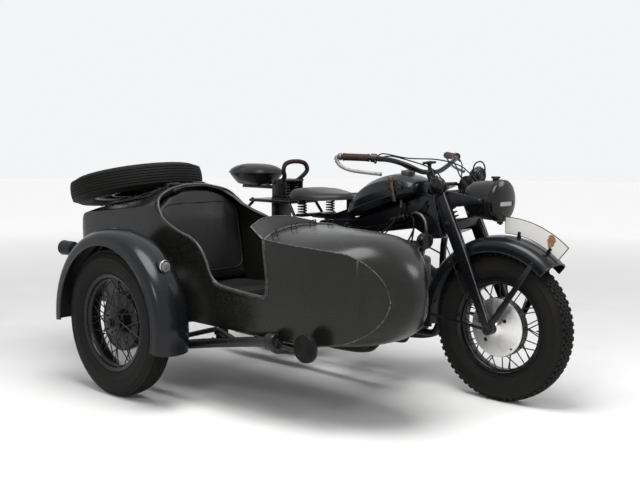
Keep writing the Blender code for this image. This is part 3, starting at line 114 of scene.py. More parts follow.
def subdivided(item: Object, levels: int = 1) -> Object:
    """Applies a subdivision surface of that many levels."""
    return modify(item, "SUBSURF", levels=levels, render_levels=levels)


def moved(item: Object, matrix: Matrix) -> Object:
    """Moves an object's mesh by a matrix and turns its faces out again after a mirror.

    Args:
        item: The object to change.
        matrix: Where its mesh goes.

    Returns:
        The same object.
    """
    item.data.transform(matrix)
    if matrix.determinant() < 0:
        item.data.flip_normals()
    return item


def shifted(item: Object, x: float, y: float, z: float) -> Object:
    """Moves an object's mesh by a distance."""
    return moved(item, Matrix.Translation((x, y, z)))


def twin(item: Object, matrix: Matrix | None = None) -> Object:
    """Copies an object with a mesh of its own.

    Args:
        item: The object to copy.
        matrix: Where the copy's mesh goes, or None to leave it.

    Returns:
        The copy.
    """
    made = item.copy()
    made.data = item.data.copy()
    bpy.context.scene.collection.objects.link(made)
    return moved(made, matrix) if matrix else made


def mirrored(item: Object) -> Object:
    """Copies an object to the other side of the motorcycle's middle."""
    return twin(item, Matrix.Scale(-1, 4, (0, 1, 0)))


def joined(items: list[Object]) -> Object:
    """Joins objects into the first of them.

    Args:
        items: The objects, the first of which takes in the others.

    Returns:
        The first of them.
    """
    pick(*items)
    if len(items) > 1:
        bpy.ops.object.join()
    return items[0]


def both_sides(items: list[Object]) -> Object:
    """Joins objects with their copies on the other side of the middle."""
    return joined(items + [mirrored(item) for item in items])


def lathe(profile: list[Pair], sides: int = 48, axis: str = "Y") -> Object:
    """Turns a profile: a circle is drawn and extruded from station to station.

    Args:
        profile: Pairs of a radius and a distance along the axis. It is a closed loop when it ends where it began.
        sides: How many sides the circle has.
        axis: The axis that it stands on, X, Y or Z.

    Returns:
        The turned object about the origin.
    """
    bpy.ops.object.select_all(action="DESELECT")
    radius, level = max(profile[0][0], TINY), profile[0][1]
    bpy.ops.mesh.primitive_circle_add(vertices=sides, radius=radius)
    item = bpy.context.object
    bpy.ops.object.mode_set(mode="EDIT")
    bpy.ops.mesh.select_all(action="SELECT")
    bpy.ops.transform.translate(value=(0, 0, level))
    for wide, along in profile[1:]:
        wide = max(wide, TINY)
        bpy.ops.mesh.extrude_region_move(TRANSFORM_OT_translate={"value": (0, 0, along - level)})
        if abs(wide - radius) > 1e-9:
            bpy.ops.transform.resize(value=(wide / radius, wide / radius, 1), center_override=(0, 0, along))
        radius, level = wide, along
    tidy_edit()
    if axis != "Z":
        moved(item, Matrix.Rotation(-QUARTER, 4, "X") if axis == "Y" else Matrix.Rotation(QUARTER, 4, "Y"))
    return item


def tidy_edit() -> None:
    """Merges doubles, turns the faces outwards and leaves edit mode."""
    bpy.ops.mesh.select_all(action="SELECT")
    bpy.ops.mesh.remove_doubles(threshold=2.2 * TINY)
    bpy.ops.mesh.normals_make_consistent(inside=False)
    bpy.ops.object.mode_set(mode="OBJECT")


def cleaned(item: Object) -> Object:
    """Merges an object's doubles and turns its faces outwards.

    Args:
        item: The object to change.

    Returns:
        The same object.
    """
    pick(item)
    bpy.ops.object.mode_set(mode="EDIT")
    tidy_edit()
    return item


def aimed(item: Object, start: Place, end: Place) -> Object:
    """Turns a shape that stands on Z so that it runs from one point towards another."""
    along = Vector(end) - Vector(start)
    return moved(item, Matrix.Translation(start) @ along.to_track_quat("Z", "Y").to_matrix().to_4x4())


def rod(start: Place, end: Place, radius: float, sides: int = 16, end_radius: float | None = None,
        edge: float = 0.0008) -> Object:
    """A round bar or cone between two points, with its rims rounded off.

    Args:
        start: Where it starts.
        end: Where it ends.
        radius: Its radius.
        sides: How many sides it has.
        end_radius: Its radius at the end, where it differs.
        edge: How far its rims are rounded.

    Returns:
        The bar.
    """
    length = (Vector(end) - Vector(start)).length
    tip = radius if end_radius is None else end_radius
    edge = min(edge, length / 3, radius / 2, tip / 2)
    profile = [(0, 0), (radius - edge, 0), (radius, edge), (tip, length - edge), (tip - edge, length), (0, length)]
    return aimed(lathe(profile, sides, "Z"), start, end)


def nut(centre: Place, axis: Place, across: float, thick: float, thread: float = 0.0) -> Object:
    """A hexagon nut or bolt head on a face.

    Args:
        centre: The middle of its seat.
        axis: The way that it points.
        across: Its radius over the corners.
        thick: Its height.
        thread: How far the bolt's end stands out of it.

    Returns:
        The nut.
    """
    profile = [(0, 0), (across, 0), (across, thick * 0.8), (across * 0.86, thick), (across * 0.55, thick)]
    if thread:
        profile += [(across * 0.55, thick + thread * 0.8), (across * 0.42, thick + thread)]
    profile.append((0, thick + thread))
    return aimed(lathe(profile, 6, "Z"), centre, tuple(Vector(centre) + Vector(axis)))


def smooth_path(points: list[Place], steps: int = 6, closed: bool = False) -> list[Vector]:
    """Points along a smooth curve through the given ones.

    Args:
        points: The points that it passes through.
        steps: How many points each stretch gets.
        closed: Whether it runs back to its start.

    Returns:
        The curve's points.
    """
    given = [Vector(p) for p in points]
    ends = [2 * given[0] - given[1], *given, 2 * given[-1] - given[-2]]
    if closed:
        ends = [given[-1], *given, given[0], given[1]]
    path = []
    for before, here, there, after in zip(ends, ends[1:], ends[2:], ends[3:]):
        for step in range(steps):
            t = step / steps
            square, cube = 2 * before - 5 * here + 4 * there - after, 3 * here - before - 3 * there + after
            bend = square * t * t + cube * t**3
            path.append(0.5 * (2 * here + (there - before) * t + bend))
    return path if closed else [*path, given[-1]]


def sweep(points: list[Place], radius: float, sides: int = 4, closed: bool = False) -> Object:
    """A round tube along points, from a curve with a bevel.

    Args:
        points: The points along its middle.
        radius: Its radius.
        sides: The bevel's resolution.
        closed: Whether it runs back to its start.

    Returns:
        The tube as a mesh.
    """
    bpy.ops.object.select_all(action="DESELECT")
    bpy.ops.curve.primitive_nurbs_path_add()
    item = bpy.context.object
    item.data.splines.clear()
    spline = item.data.splines.new("POLY")
    spline.points.add(len(points) - 1)
    for point, place in zip(spline.points, points):
        point.co = (*place, 1)
    spline.use_cyclic_u = closed
    item.data.bevel_depth = radius
    item.data.bevel_resolution = sides
    item.data.use_fill_caps = not closed
    bpy.ops.object.convert(target="MESH")
    return cleaned(bpy.context.object)


def skin(rings: list[list[Place]], loop: bool = True, caps: bool = True) -> Object:
    """A grid laid over rings of points.

    Args:
        rings: The rings, with equally many points each.
        loop: Whether each ring closes on itself.
        caps: Whether the two open ends are filled.

    Returns:
        The skin.
    """
    columns = len(rings[0]) + (1 if loop else 0)
    bpy.ops.object.select_all(action="DESELECT")
    bpy.ops.mesh.primitive_grid_add(x_subdivisions=columns - 1, y_subdivisions=len(rings) - 1, size=1)
    item = bpy.context.object
    for row, ring in enumerate(rings):
        for column in range(columns):
            item.data.vertices[row * columns + column].co = ring[column % len(ring)]
    bpy.ops.object.mode_set(mode="EDIT")
    bpy.ops.mesh.select_all(action="SELECT")
    bpy.ops.mesh.remove_doubles(threshold=TINY)
    if caps:
        bpy.ops.mesh.fill_holes(sides=0)
    tidy_edit()
    return item


def plate(outline: list[Pair], half: float, y: float = 0.0) -> Object:
    """A flat plate from an outline in X and Z, extruded along Y.

    Args:
        outline: Its corners as pairs of x and z.
        half: Half its thickness.
        y: Where its middle lies.

    Returns:
        The plate.
    """
    bpy.ops.object.select_all(action="DESELECT")
    bpy.ops.mesh.primitive_circle_add(vertices=len(outline), radius=1, fill_type="NGON")
    item = bpy.context.object
    for vertex, (x, z) in zip(item.data.vertices, outline):
        vertex.co = (x, y - half, z)
    bpy.ops.object.mode_set(mode="EDIT")
    bpy.ops.mesh.select_all(action="SELECT")
    bpy.ops.mesh.extrude_region_move(TRANSFORM_OT_translate={"value": (0, 2 * half, 0)})
    tidy_edit()
    return item


def block(low: Place, high: Place, edge: float = 0.003, segments: int = 2) -> Object:
    """A box between two corners, pulled to size in edit mode, with its edges rounded.

    Args:
        low: Its lowest corner.
        high: Its highest corner.
        edge: How far its edges are rounded, or 0.
        segments: How many faces round each edge.

    Returns:
        The box.
    """
    bpy.ops.object.select_all(action="DESELECT")
    bpy.ops.mesh.primitive_cube_add(size=1)
    item = bpy.context.object
    low, high = Vector(low), Vector(high)
    bpy.ops.object.mode_set(mode="EDIT")
    bpy.ops.mesh.select_all(action="SELECT")
    bpy.ops.transform.resize(value=high - low)
    bpy.ops.transform.translate(value=(low + high) / 2)
    bpy.ops.object.mode_set(mode="OBJECT")
    return beveled(item, edge, segments) if edge else item


def spun(item: Object, count: int, centre: Place = (0, 0, 0), axis: Place = (0, 1, 0)) -> Object:
    """Repeats a shape evenly round an axis.

    Args:
        item: The shape to repeat.
        count: How many there are in the whole round.
        centre: A point on the axis.
        axis: The axis.

    Returns:
        The object with all its repeats.
    """
    pick(item)
    bpy.ops.object.mode_set(mode="EDIT")
    bpy.ops.mesh.select_all(action="SELECT")
    bpy.ops.mesh.spin(
        steps=count - 1, dupli=True, angle=math.tau * (count - 1) / count, center=centre, axis=axis,
        use_auto_merge=False
    )
    bpy.ops.object.mode_set(mode="OBJECT")
    return item


def cut(item: Object, *tools: Object) -> Object:
    """Cuts shapes out of an object and removes them.

    Args:
        item: The object to cut.
        tools: The shapes to take away.

    Returns:
        The same object.
    """
    for tool in tools:
        modify(item, "BOOLEAN", operation="DIFFERENCE", solver="EXACT", object=tool)
        bpy.data.objects.remove(tool)
    return item


def cad_shape(name: str) -> Object:
    """A welded copy of a CAD node, in the machine's frame.

    Args:
        name: The node's name.

    Returns:
        The copy.
    """
    item = twin(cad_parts[name])
    item.parent = None
    for key in list(item.keys()):
        del item[key]
    item.hide_render = False
    return moved(cleaned(item), Matrix.Translation(-ORIGIN))


def on_wheel(radius: float, angle: float, centre_x: float) -> Pair:
    """A point of a wheel's plane, as x and z, at an angle above forward."""
    return centre_x + radius * math.cos(angle), AXLE_Z + radius * math.sin(angle)


# ---------------------------------------------------------------- finishes


class Grain(Enum):
    """The kinds of surface."""

    PAINT = "paint"
    METAL = "metal"
    RUBBER = "rubber"
    LEATHER = "leather"
    CAST = "cast"
    GLASS = "glass"


class Board:
    """A material's nodes while they are laid out."""

    def __init__(self, name: str) -> None:
        """Starts a material with its Principled shader and Object coordinates.

        Args:
            name: The material's name.
        """
        self.material = bpy.data.materials.new(name)
        self.material.use_nodes = True
        self.tree = self.material.node_tree
        self.shader = self.tree.nodes["Principled BSDF"]
        self.place = self.tree.nodes.new("ShaderNodeTexCoord").outputs["Object"]

    def feed(self, socket: Socket, value: object) -> None:
        """Links a socket's source, or sets its value.

        Args:
            socket: The input.
            value: A socket to link, or a plain value.
        """
        if isinstance(value, bpy.types.NodeSocket):
            self.tree.links.new(value, socket)
        else:
            socket.default_value = value

    def stretched(self, scale: Place) -> Socket:
        """Object coordinates scaled unevenly.

        Args:
            scale: The scale along each axis.

        Returns:
            The scaled coordinates.
        """
        mapping = self.tree.nodes.new("ShaderNodeMapping")
        self.feed(mapping.inputs["Vector"], self.place)
        mapping.inputs["Scale"].default_value = scale
        return mapping.outputs["Vector"]

    def noise(self, scale: float, detail: float = 4, rough: float = 0.55, place: Socket | None = None) -> Socket:
        """A noise pattern.

        Args:
            scale: Its repeats a metre.
            detail: How many octaves it has.
            rough: How strong the fine octaves are.
            place: The coordinates, or None for the object's own.

        Returns:
            The pattern's socket.
        """
        made = self.tree.nodes.new("ShaderNodeTexNoise")
        self.feed(made.inputs["Vector"], place or self.place)
        made.inputs["Scale"].default_value = scale
        made.inputs["Detail"].default_value = detail
        made.inputs["Roughness"].default_value = rough
        return made.outputs["Fac"]

    def cells(self, scale: float, feature: str = "F1", place: Socket | None = None) -> Socket:
        """A cell pattern's distance.

        Args:
            scale: Its repeats a metre.
            feature: Blender's name for the distance that it gives.
            place: The coordinates, or None for the object's own.

        Returns:
            The pattern's socket.
        """
        made = self.tree.nodes.new("ShaderNodeTexVoronoi")
        made.feature = feature
        self.feed(made.inputs["Vector"], place or self.place)
        made.inputs["Scale"].default_value = scale
        return made.outputs["Distance"]

    def span(self, source: Socket, low: float, high: float, to_low: float = 0.0, to_high: float = 1.0) -> Socket:
        """Maps a range of a pattern to another range.

        Args:
            source: The pattern.
            low: The value that becomes to_low.
            high: The value that becomes to_high.
            to_low: The new low value.
            to_high: The new high value.

        Returns:
            The mapped socket.
        """
        made = self.tree.nodes.new("ShaderNodeMapRange")
        self.feed(made.inputs["Value"], source)
        for key, value in (("From Min", low), ("From Max", high), ("To Min", to_low), ("To Max", to_high)):
            made.inputs[key].default_value = value
        return made.outputs["Result"]

    def blend(self, share: Socket | float, first: object, second: object) -> Socket:
        """Mixes two colours by a share.

        Args:
            share: How much of the second colour shows.
            first: The first colour or its socket.
            second: The second colour or its socket.

        Returns:
            The mixed colour's socket.
        """
        made = self.tree.nodes.new("ShaderNodeMix")
        made.data_type = "RGBA"
        self.feed(made.inputs["Factor"], share)
        self.feed(made.inputs["A"], (*first, 1) if isinstance(first, tuple) else first)
        self.feed(made.inputs["B"], (*second, 1) if isinstance(second, tuple) else second)
        return made.outputs["Result"]

    def sum(self, operation: str, first: object, second: object) -> Socket:
        """Does arithmetic on two values.

        Args:
            operation: Blender's name for the operation.
            first: The first value or socket.
            second: The second value or socket.

        Returns:
            The result's socket.
        """
        made = self.tree.nodes.new("ShaderNodeMath")
        made.operation = operation
        self.feed(made.inputs[0], first)
        self.feed(made.inputs[1], second)
        return made.outputs[0]

    def facing_up(self) -> Socket:
        """How far a surface faces up, from 0 to 1.

        Returns:
            The share's socket.
        """
        geometry = self.tree.nodes.new("ShaderNodeNewGeometry")
        split = self.tree.nodes.new("ShaderNodeSeparateXYZ")
        self.feed(split.inputs[0], geometry.outputs["Normal"])
        return self.span(split.outputs["Z"], 0.25, 0.95)

    def edges(self) -> Socket:
        """Where a surface folds outwards, from 0 to 1."""
        geometry = self.tree.nodes.new("ShaderNodeNewGeometry")
        return self.span(geometry.outputs["Pointiness"], 0.53, 0.60)

    def bump(self, height: Socket, strength: float, depth: float, under: Socket | None = None) -> Socket:
        """A bump from a pattern.

        Args:
            height: The pattern.
            strength: How strong it is.
            depth: Its depth.
            under: Another bump that this one adds to.

        Returns:
            The normal's socket.
        """
        made = self.tree.nodes.new("ShaderNodeBump")
        made.inputs["Strength"].default_value = strength
        made.inputs["Distance"].default_value = depth
        self.feed(made.inputs["Height"], height)
        if under is not None:
            self.feed(made.inputs["Normal"], under)
        return made.outputs["Normal"]


@dataclass(frozen=True)
class Finish:
    """One finish of the machine.

    Attributes:
        name: The material's name.
        grain: The kind of surface.
        colour: Its main colour.
        second: The colour that dust, wear or stains bring in.
        smooth: Its roughness where it is cleanest.
        dull: Its roughness where it is most worn.
        wear: How much of the second colour shows, from 0 to 1.
    """

    name: str
    grain: Grain
    colour: Place
    second: Place
    smooth: float
    dull: float
    wear: float = 0.3

    def material(self) -> Material:
        """The finish as a material, made once.

        Returns:
            The material.
        """
        found = bpy.data.materials.get(self.name)
        if found:
            return found
        board = Board(self.name)
        {
            Grain.PAINT: self.lay_paint,
            Grain.METAL: self.lay_metal,
            Grain.RUBBER: self.lay_rubber,
            Grain.LEATHER: self.lay_leather,
            Grain.CAST: self.lay_cast,
            Grain.GLASS: self.lay_glass,
        }[self.grain](board)
        return board.material

    def lay_paint(self, board: Board) -> None:
        """Satin brushed-on paint: soft waves, dust on top, fine scratches and worn folds.

        Args:
            board: The material's nodes.
        """
        inputs = board.shader.inputs
        broad = board.noise(2.2, 3)
        cloud = board.noise(9, 5, 0.6)
        fine = board.noise(90, 3)
        brush = board.noise(16, 4, 0.6, board.stretched((1.0, 1.0, 14.0)))
        scratch = board.span(board.noise(34, 2, 0.5, board.stretched((0.6, 1.0, 9.0))), 0.655, 0.70)
        dust = board.sum("MULTIPLY", board.facing_up(), board.span(cloud, 0.35, 0.75, 0.1, self.wear))
        worn = board.sum("MULTIPLY", board.edges(), board.span(fine, 0.42, 0.62, 0.0, self.wear))
        base = board.blend(board.span(broad, 0.3, 0.7), self.colour, tuple(1.35 * c for c in self.colour))
        base = board.blend(dust, base, self.second)
        base = board.blend(board.sum("MULTIPLY", scratch, 0.35 * self.wear), base, self.second)
        board.feed(inputs["Base Color"], board.blend(worn, base, tuple(min(1.0, 2.2 * c) for c in self.second)))
        rough = board.span(cloud, 0.3, 0.72, self.smooth, self.dull)
        rough = board.sum("ADD", rough, board.sum("MULTIPLY", scratch, 0.12))
        inputs["Specular IOR Level"].default_value = 0.28
        board.feed(inputs["Roughness"], rough)
        low = board.bump(broad, 0.20, 0.010)
        low = board.bump(brush, 0.10, 0.0012, low)
        board.feed(inputs["Normal"], board.bump(fine, 0.10, 0.0006, low))

    def lay_metal(self, board: Board) -> None:
        """Bare metal: brushed, stained and lightly scratched.

        Args:
            board: The material's nodes.
        """
        inputs = board.shader.inputs
        inputs["Metallic"].default_value = 1.0
        brush = board.noise(60, 4, 0.6, board.stretched((1.0, 1.0, 8.0)))
        stain = board.noise(24, 6, 0.65)
        spots = board.span(board.noise(95, 4), 0.60, 0.72)
        base = board.blend(board.span(stain, 0.48, 0.74, 0.0, self.wear), self.colour, self.second)
        board.feed(inputs["Base Color"], board.blend(board.sum("MULTIPLY", spots, self.wear), base, self.second))
        board.feed(inputs["Roughness"], board.span(brush, 0.3, 0.7, self.smooth, self.dull))
        board.feed(inputs["Normal"], board.bump(brush, 0.12, 0.0004, board.bump(stain, 0.06, 0.002)))

    def lay_rubber(self, board: Board) -> None:
        """Old rubber: matt, with dust in patches and fine crazing.

        Args:
            board: The material's nodes.
        """
        inputs = board.shader.inputs
        cloud = board.noise(7, 6, 0.65)
        fine = board.noise(140, 5, 0.7)
        craze = board.span(board.cells(120, "DISTANCE_TO_EDGE"), 0.0, 0.06)
        inputs["Specular IOR Level"].default_value = 0.15
        base = board.blend(board.span(cloud, 0.36, 0.74, 0.0, self.wear), self.colour, self.second)
        board.feed(inputs["Base Color"],
                   board.blend(board.span(fine, 0.50, 0.72, 0.0, 0.5 * self.wear), base, self.second))
        board.feed(inputs["Roughness"], board.span(fine, 0.3, 0.7, self.smooth, self.dull))
        board.feed(inputs["Normal"], board.bump(craze, 0.10, 0.0004, board.bump(fine, 0.22, 0.0006)))

    def lay_leather(self, board: Board) -> None:
        """Leather: pebbled grain, soft creases and a polish where it is rubbed.

        Args:
            board: The material's nodes.
        """
        inputs = board.shader.inputs
        pebble = board.cells(420, "SMOOTH_F1")
        crease = board.noise(26, 5, 0.62, board.stretched((1.0, 1.8, 1.0)))
        inputs["Specular IOR Level"].default_value = 0.25
        cloud = board.noise(6, 4)
        base = board.blend(board.span(cloud, 0.35, 0.7, 0.0, self.wear), self.colour, self.second)
        board.feed(inputs["Base Color"],
                   board.blend(board.span(crease, 0.58, 0.72, 0.0, 0.5 * self.wear), base, self.second))
        board.feed(inputs["Roughness"], board.span(cloud, 0.3, 0.7, self.smooth, self.dull))
        board.feed(inputs["Normal"], board.bump(pebble, 0.30, 0.0008, board.bump(crease, 0.35, 0.003)))

    def lay_cast(self, board: Board) -> None:
        """Cast and stove-blacked engine metal: a sandy skin with oily patches.

        Args:
            board: The material's nodes.
        """
        inputs = board.shader.inputs
        inputs["Metallic"].default_value = 0.35
        sand = board.noise(260, 5, 0.7)
        oil = board.noise(14, 6, 0.6)
        worn = board.sum("MULTIPLY", board.edges(), board.span(sand, 0.4, 0.6, 0.2, self.wear))
        base = board.blend(board.span(oil, 0.40, 0.70, 0.0, self.wear), self.colour, self.second)
        board.feed(inputs["Base Color"], board.blend(worn, base, tuple(min(1.0, 3.0 * c) for c in self.second)))
        board.feed(inputs["Roughness"], board.span(oil, 0.35, 0.7, self.smooth, self.dull))
        board.feed(inputs["Normal"], board.bump(sand, 0.35, 0.0008))

    def lay_glass(self, board: Board) -> None:
        """Lamp glass: glossy, tinted and faintly ribbed, over its dark bowl.

        Args:
            board: The material's nodes.
        """
        inputs = board.shader.inputs
        ribs = board.noise(60, 2, 0.4, board.stretched((1.0, 6.0, 1.0)))
        grime = board.noise(35, 5)
        board.feed(inputs["Base Color"],
                   board.blend(board.span(grime, 0.45, 0.75, 0.0, self.wear), self.colour, self.second))
        board.feed(inputs["Roughness"], board.span(grime, 0.3, 0.7, self.smooth, self.dull))
        board.feed(inputs["Normal"], board.bump(ribs, 0.25, 0.001))


BODY_BLACK = Finish("body_black", Grain.PAINT, (0.0050, 0.0056, 0.0070), (0.030, 0.031, 0.033), 0.15, 0.28, 0.18)
GLOSS_BLACK = Finish("gloss_black", Grain.PAINT, (0.0035, 0.0036, 0.0040), (0.045, 0.044, 0.042), 0.12, 0.26, 0.20)
# The tub's black paint; its slight warm tint is a painted reflection of the floor.
TUB_BLACK_FLOOR_REFLECTION_TINT = Finish("tub_black_floor_reflection_tint", Grain.PAINT, (0.0082, 0.0080, 0.0072), (0.028, 0.027, 0.025), 0.20,
                         0.30, 0.20)
# A darker, rougher black than the tub's, used only on the scuttle lip so that it reads dark.
SCUTTLE_LIP_DARK = Finish("scuttle_lip_dark", Grain.PAINT, (0.0035, 0.0036, 0.0042), (0.014, 0.014, 0.015), 0.45, 0.62, 0.25)
FRAME_BLACK = Finish("frame_black", Grain.PAINT, (0.0045, 0.0048, 0.0056), (0.040, 0.038, 0.035), 0.18, 0.34, 0.22)
# Dark paint with much lighter wear on its folds, for the coaming and the filler cap; on the beads along the tub's
# side folds it is also a painted highlight.
WORN_TRIM_AND_CREASE_HIGHLIGHT = Finish("worn_trim_and_crease_highlight", Grain.PAINT, (0.0160, 0.0160, 0.0155), (0.130, 0.128, 0.120), 0.20, 0.36, 0.55)
# A light, glossy metal for the beads down the fork legs' fronts: a painted highlight standing in for the sheen on
# the legs' rounded corners.
PAINTED_LEG_HIGHLIGHT = Finish("painted_leg_highlight", Grain.METAL, (0.200, 0.205, 0.215), (0.030, 0.030, 0.032), 0.16, 0.30, 0.60)
TYRE_RUBBER = Finish("tyre_rubber", Grain.RUBBER, (0.0060, 0.0058, 0.0056), (0.020, 0.018, 0.014), 0.55, 0.80, 0.30)
DARK_RUBBER = Finish("dark_rubber", Grain.RUBBER, (0.0060, 0.0058, 0.0056), (0.022, 0.019, 0.016), 0.36, 0.62, 0.35)
GRIP_BROWN = Finish("grip_brown", Grain.RUBBER, (0.0200, 0.0110, 0.0085), (0.085, 0.042, 0.028), 0.34, 0.60, 0.60)
GRIP_BROWN_DARK = Finish("grip_brown_dark", Grain.RUBBER, (0.0080, 0.0068, 0.0062), (0.045, 0.030, 0.022), 0.40,
                         0.66, 0.45)
SEAT_LEATHER = Finish("seat_leather", Grain.LEATHER, (0.0065, 0.0065, 0.0072), (0.016, 0.0155, 0.016), 0.40, 0.58,
                      0.40)
SADDLE_LEATHER = Finish("saddle_leather", Grain.LEATHER, (0.0060, 0.0058, 0.0058), (0.026, 0.023, 0.021), 0.26,
                        0.44, 0.45)
ENGINE_CAST = Finish("engine_cast", Grain.CAST, (0.0110, 0.0108, 0.0104), (0.036, 0.031, 0.025), 0.34, 0.60, 0.45)
WORN_ALLOY = Finish("worn_alloy", Grain.METAL, (0.78, 0.775, 0.75), (0.46, 0.42, 0.36), 0.27, 0.40, 0.30)
BRIGHT_STEEL = Finish("bright_steel", Grain.METAL, (0.60, 0.60, 0.58), (0.24, 0.20, 0.16), 0.16, 0.32, 0.45)
DULL_STEEL = Finish("dull_steel", Grain.METAL, (0.115, 0.112, 0.108), (0.050, 0.040, 0.032), 0.32, 0.55, 0.60)
RUSTED_STEEL = Finish("rusted_steel", Grain.METAL, (0.150, 0.120, 0.098), (0.085, 0.048, 0.030), 0.34, 0.56, 0.60)
HEATED_PIPE = Finish("heated_pipe", Grain.METAL, (0.045, 0.042, 0.040), (0.085, 0.050, 0.032), 0.32, 0.56, 0.55)
PLATE_WHITE = Finish("plate_white", Grain.PAINT, (0.93, 0.93, 0.91), (0.72, 0.66, 0.55), 0.30, 0.42, 0.18)
PLATE_BLACK = Finish("plate_black", Grain.PAINT, (0.0080, 0.0080, 0.0085), (0.060, 0.056, 0.050), 0.30, 0.46, 0.30)
RUST_PATCH = Finish("rust_patch", Grain.CAST, (0.085, 0.036, 0.018), (0.230, 0.130, 0.070), 0.70, 0.92, 0.50)
LENS_CLEAR = Finish("lens_clear", Grain.GLASS, (0.16, 0.165, 0.165), (0.08, 0.078, 0.070), 0.08, 0.22, 0.40)
LENS_RED = Finish("lens_red", Grain.GLASS, (0.160, 0.010, 0.008), (0.050, 0.010, 0.008), 0.10, 0.26, 0.40)
SLIT_GLASS = Finish("slit_glass", Grain.GLASS, (0.78, 0.78, 0.75), (0.55, 0.53, 0.48), 0.10, 0.24, 0.30)


def fit(
    name: str,
    item: Object,
    body: str,
    finish: Finish,
    stands_for: tuple[str, ...] = (),
    sharp: float = 32,
) -> Object:
    """Finishes a piece and hangs it on its body.

    Args:
        name: The piece's name.
        item: Its shape in the machine's frame.
        body: The body that it rides.
        finish: Its finish.
        stands_for: The CAD nodes that it replaces.
        sharp: The fold, in degrees, from which an edge stays sharp.

    Returns:
        The finished piece.
    """
    pick(item)
    bpy.ops.object.transform_apply(location=True, rotation=True, scale=True)
    item.name = name
    item.data.name = name
    item.data.transform(Matrix.Translation(ORIGIN))
    item.data.materials.clear()
    item.data.materials.append(finish.material())
    bpy.ops.object.shade_smooth_by_angle(angle=math.radians(sharp))
    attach(item, body)
    if stands_for:
        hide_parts(*stands_for)
    LOG.info("%s: %d faces on %s", name, len(item.data.polygons), body)
    return item


# ---------------------------------------------------------------- shared sizes

AXLE_Z = 0.33041
WHEELBASE = 1.405
SIDECAR_LEAD = 0.126
TRACK = 1.137
TUB_Y = -0.690
LID_SLOPE = math.radians(12.5)
RAKE = math.radians(25.5)
HEAD = Vector((1.030, 0.0, 0.900))
FORK_HALF = 0.098
NEAR_Y = -0.949  # the coaming's line on the tub's near side
COWL_X = 0.868  # the cowl's rear edge
GUARD_R = 0.422  # the crown of the sidecar's mudguard
GUARD_HALF = 0.086  # half its width


def head_point(along: float, forward: float = 0.0, side: float = 0.0) -> Vector:
    """A point given along the steering axis, ahead of it and to its side.

    Args:
        along: How far up the axis from the head's middle.
        forward: How far ahead of the axis.
        side: How far to the left of it.

    Returns:
        The point.
    """
    up = Vector((-math.sin(RAKE), 0, math.cos(RAKE)))
    ahead = Vector((math.cos(RAKE), 0, math.sin(RAKE)))
    return HEAD + up * along + ahead * forward + Vector((0, side, 0))


# ---------------------------------------------------------------- wheels


TREAD_DIP = 4.12  # how fast the tread's tops fall away outwards, for each metre from the tyre's middle
BLOCK_ROWS = (
    # middle y, half width, foot radius, top radius, length as a share of the pitch, offset in pitches
    (0.0000, 0.0046, 0.3235, 0.3304, 0.86, 0.00),
    (0.0122, 0.0048, 0.3230, 0.3301, 0.84, 0.50),
    (0.0246, 0.0048, 0.3215, 0.3290, 0.80, 0.00),
    (0.0388, 0.0062, 0.3170, 0.3262, 0.60, 0.50),
)
RIB_ROWS = (
    # middle y, half width, foot radius, top radius
    (0.0000, 0.0044, 0.3215, 0.3304),
    (0.0130, 0.0044, 0.3210, 0.3300),
    (0.0260, 0.0044, 0.3195, 0.3286),
    (0.0388, 0.0044, 0.3150, 0.3258),
)


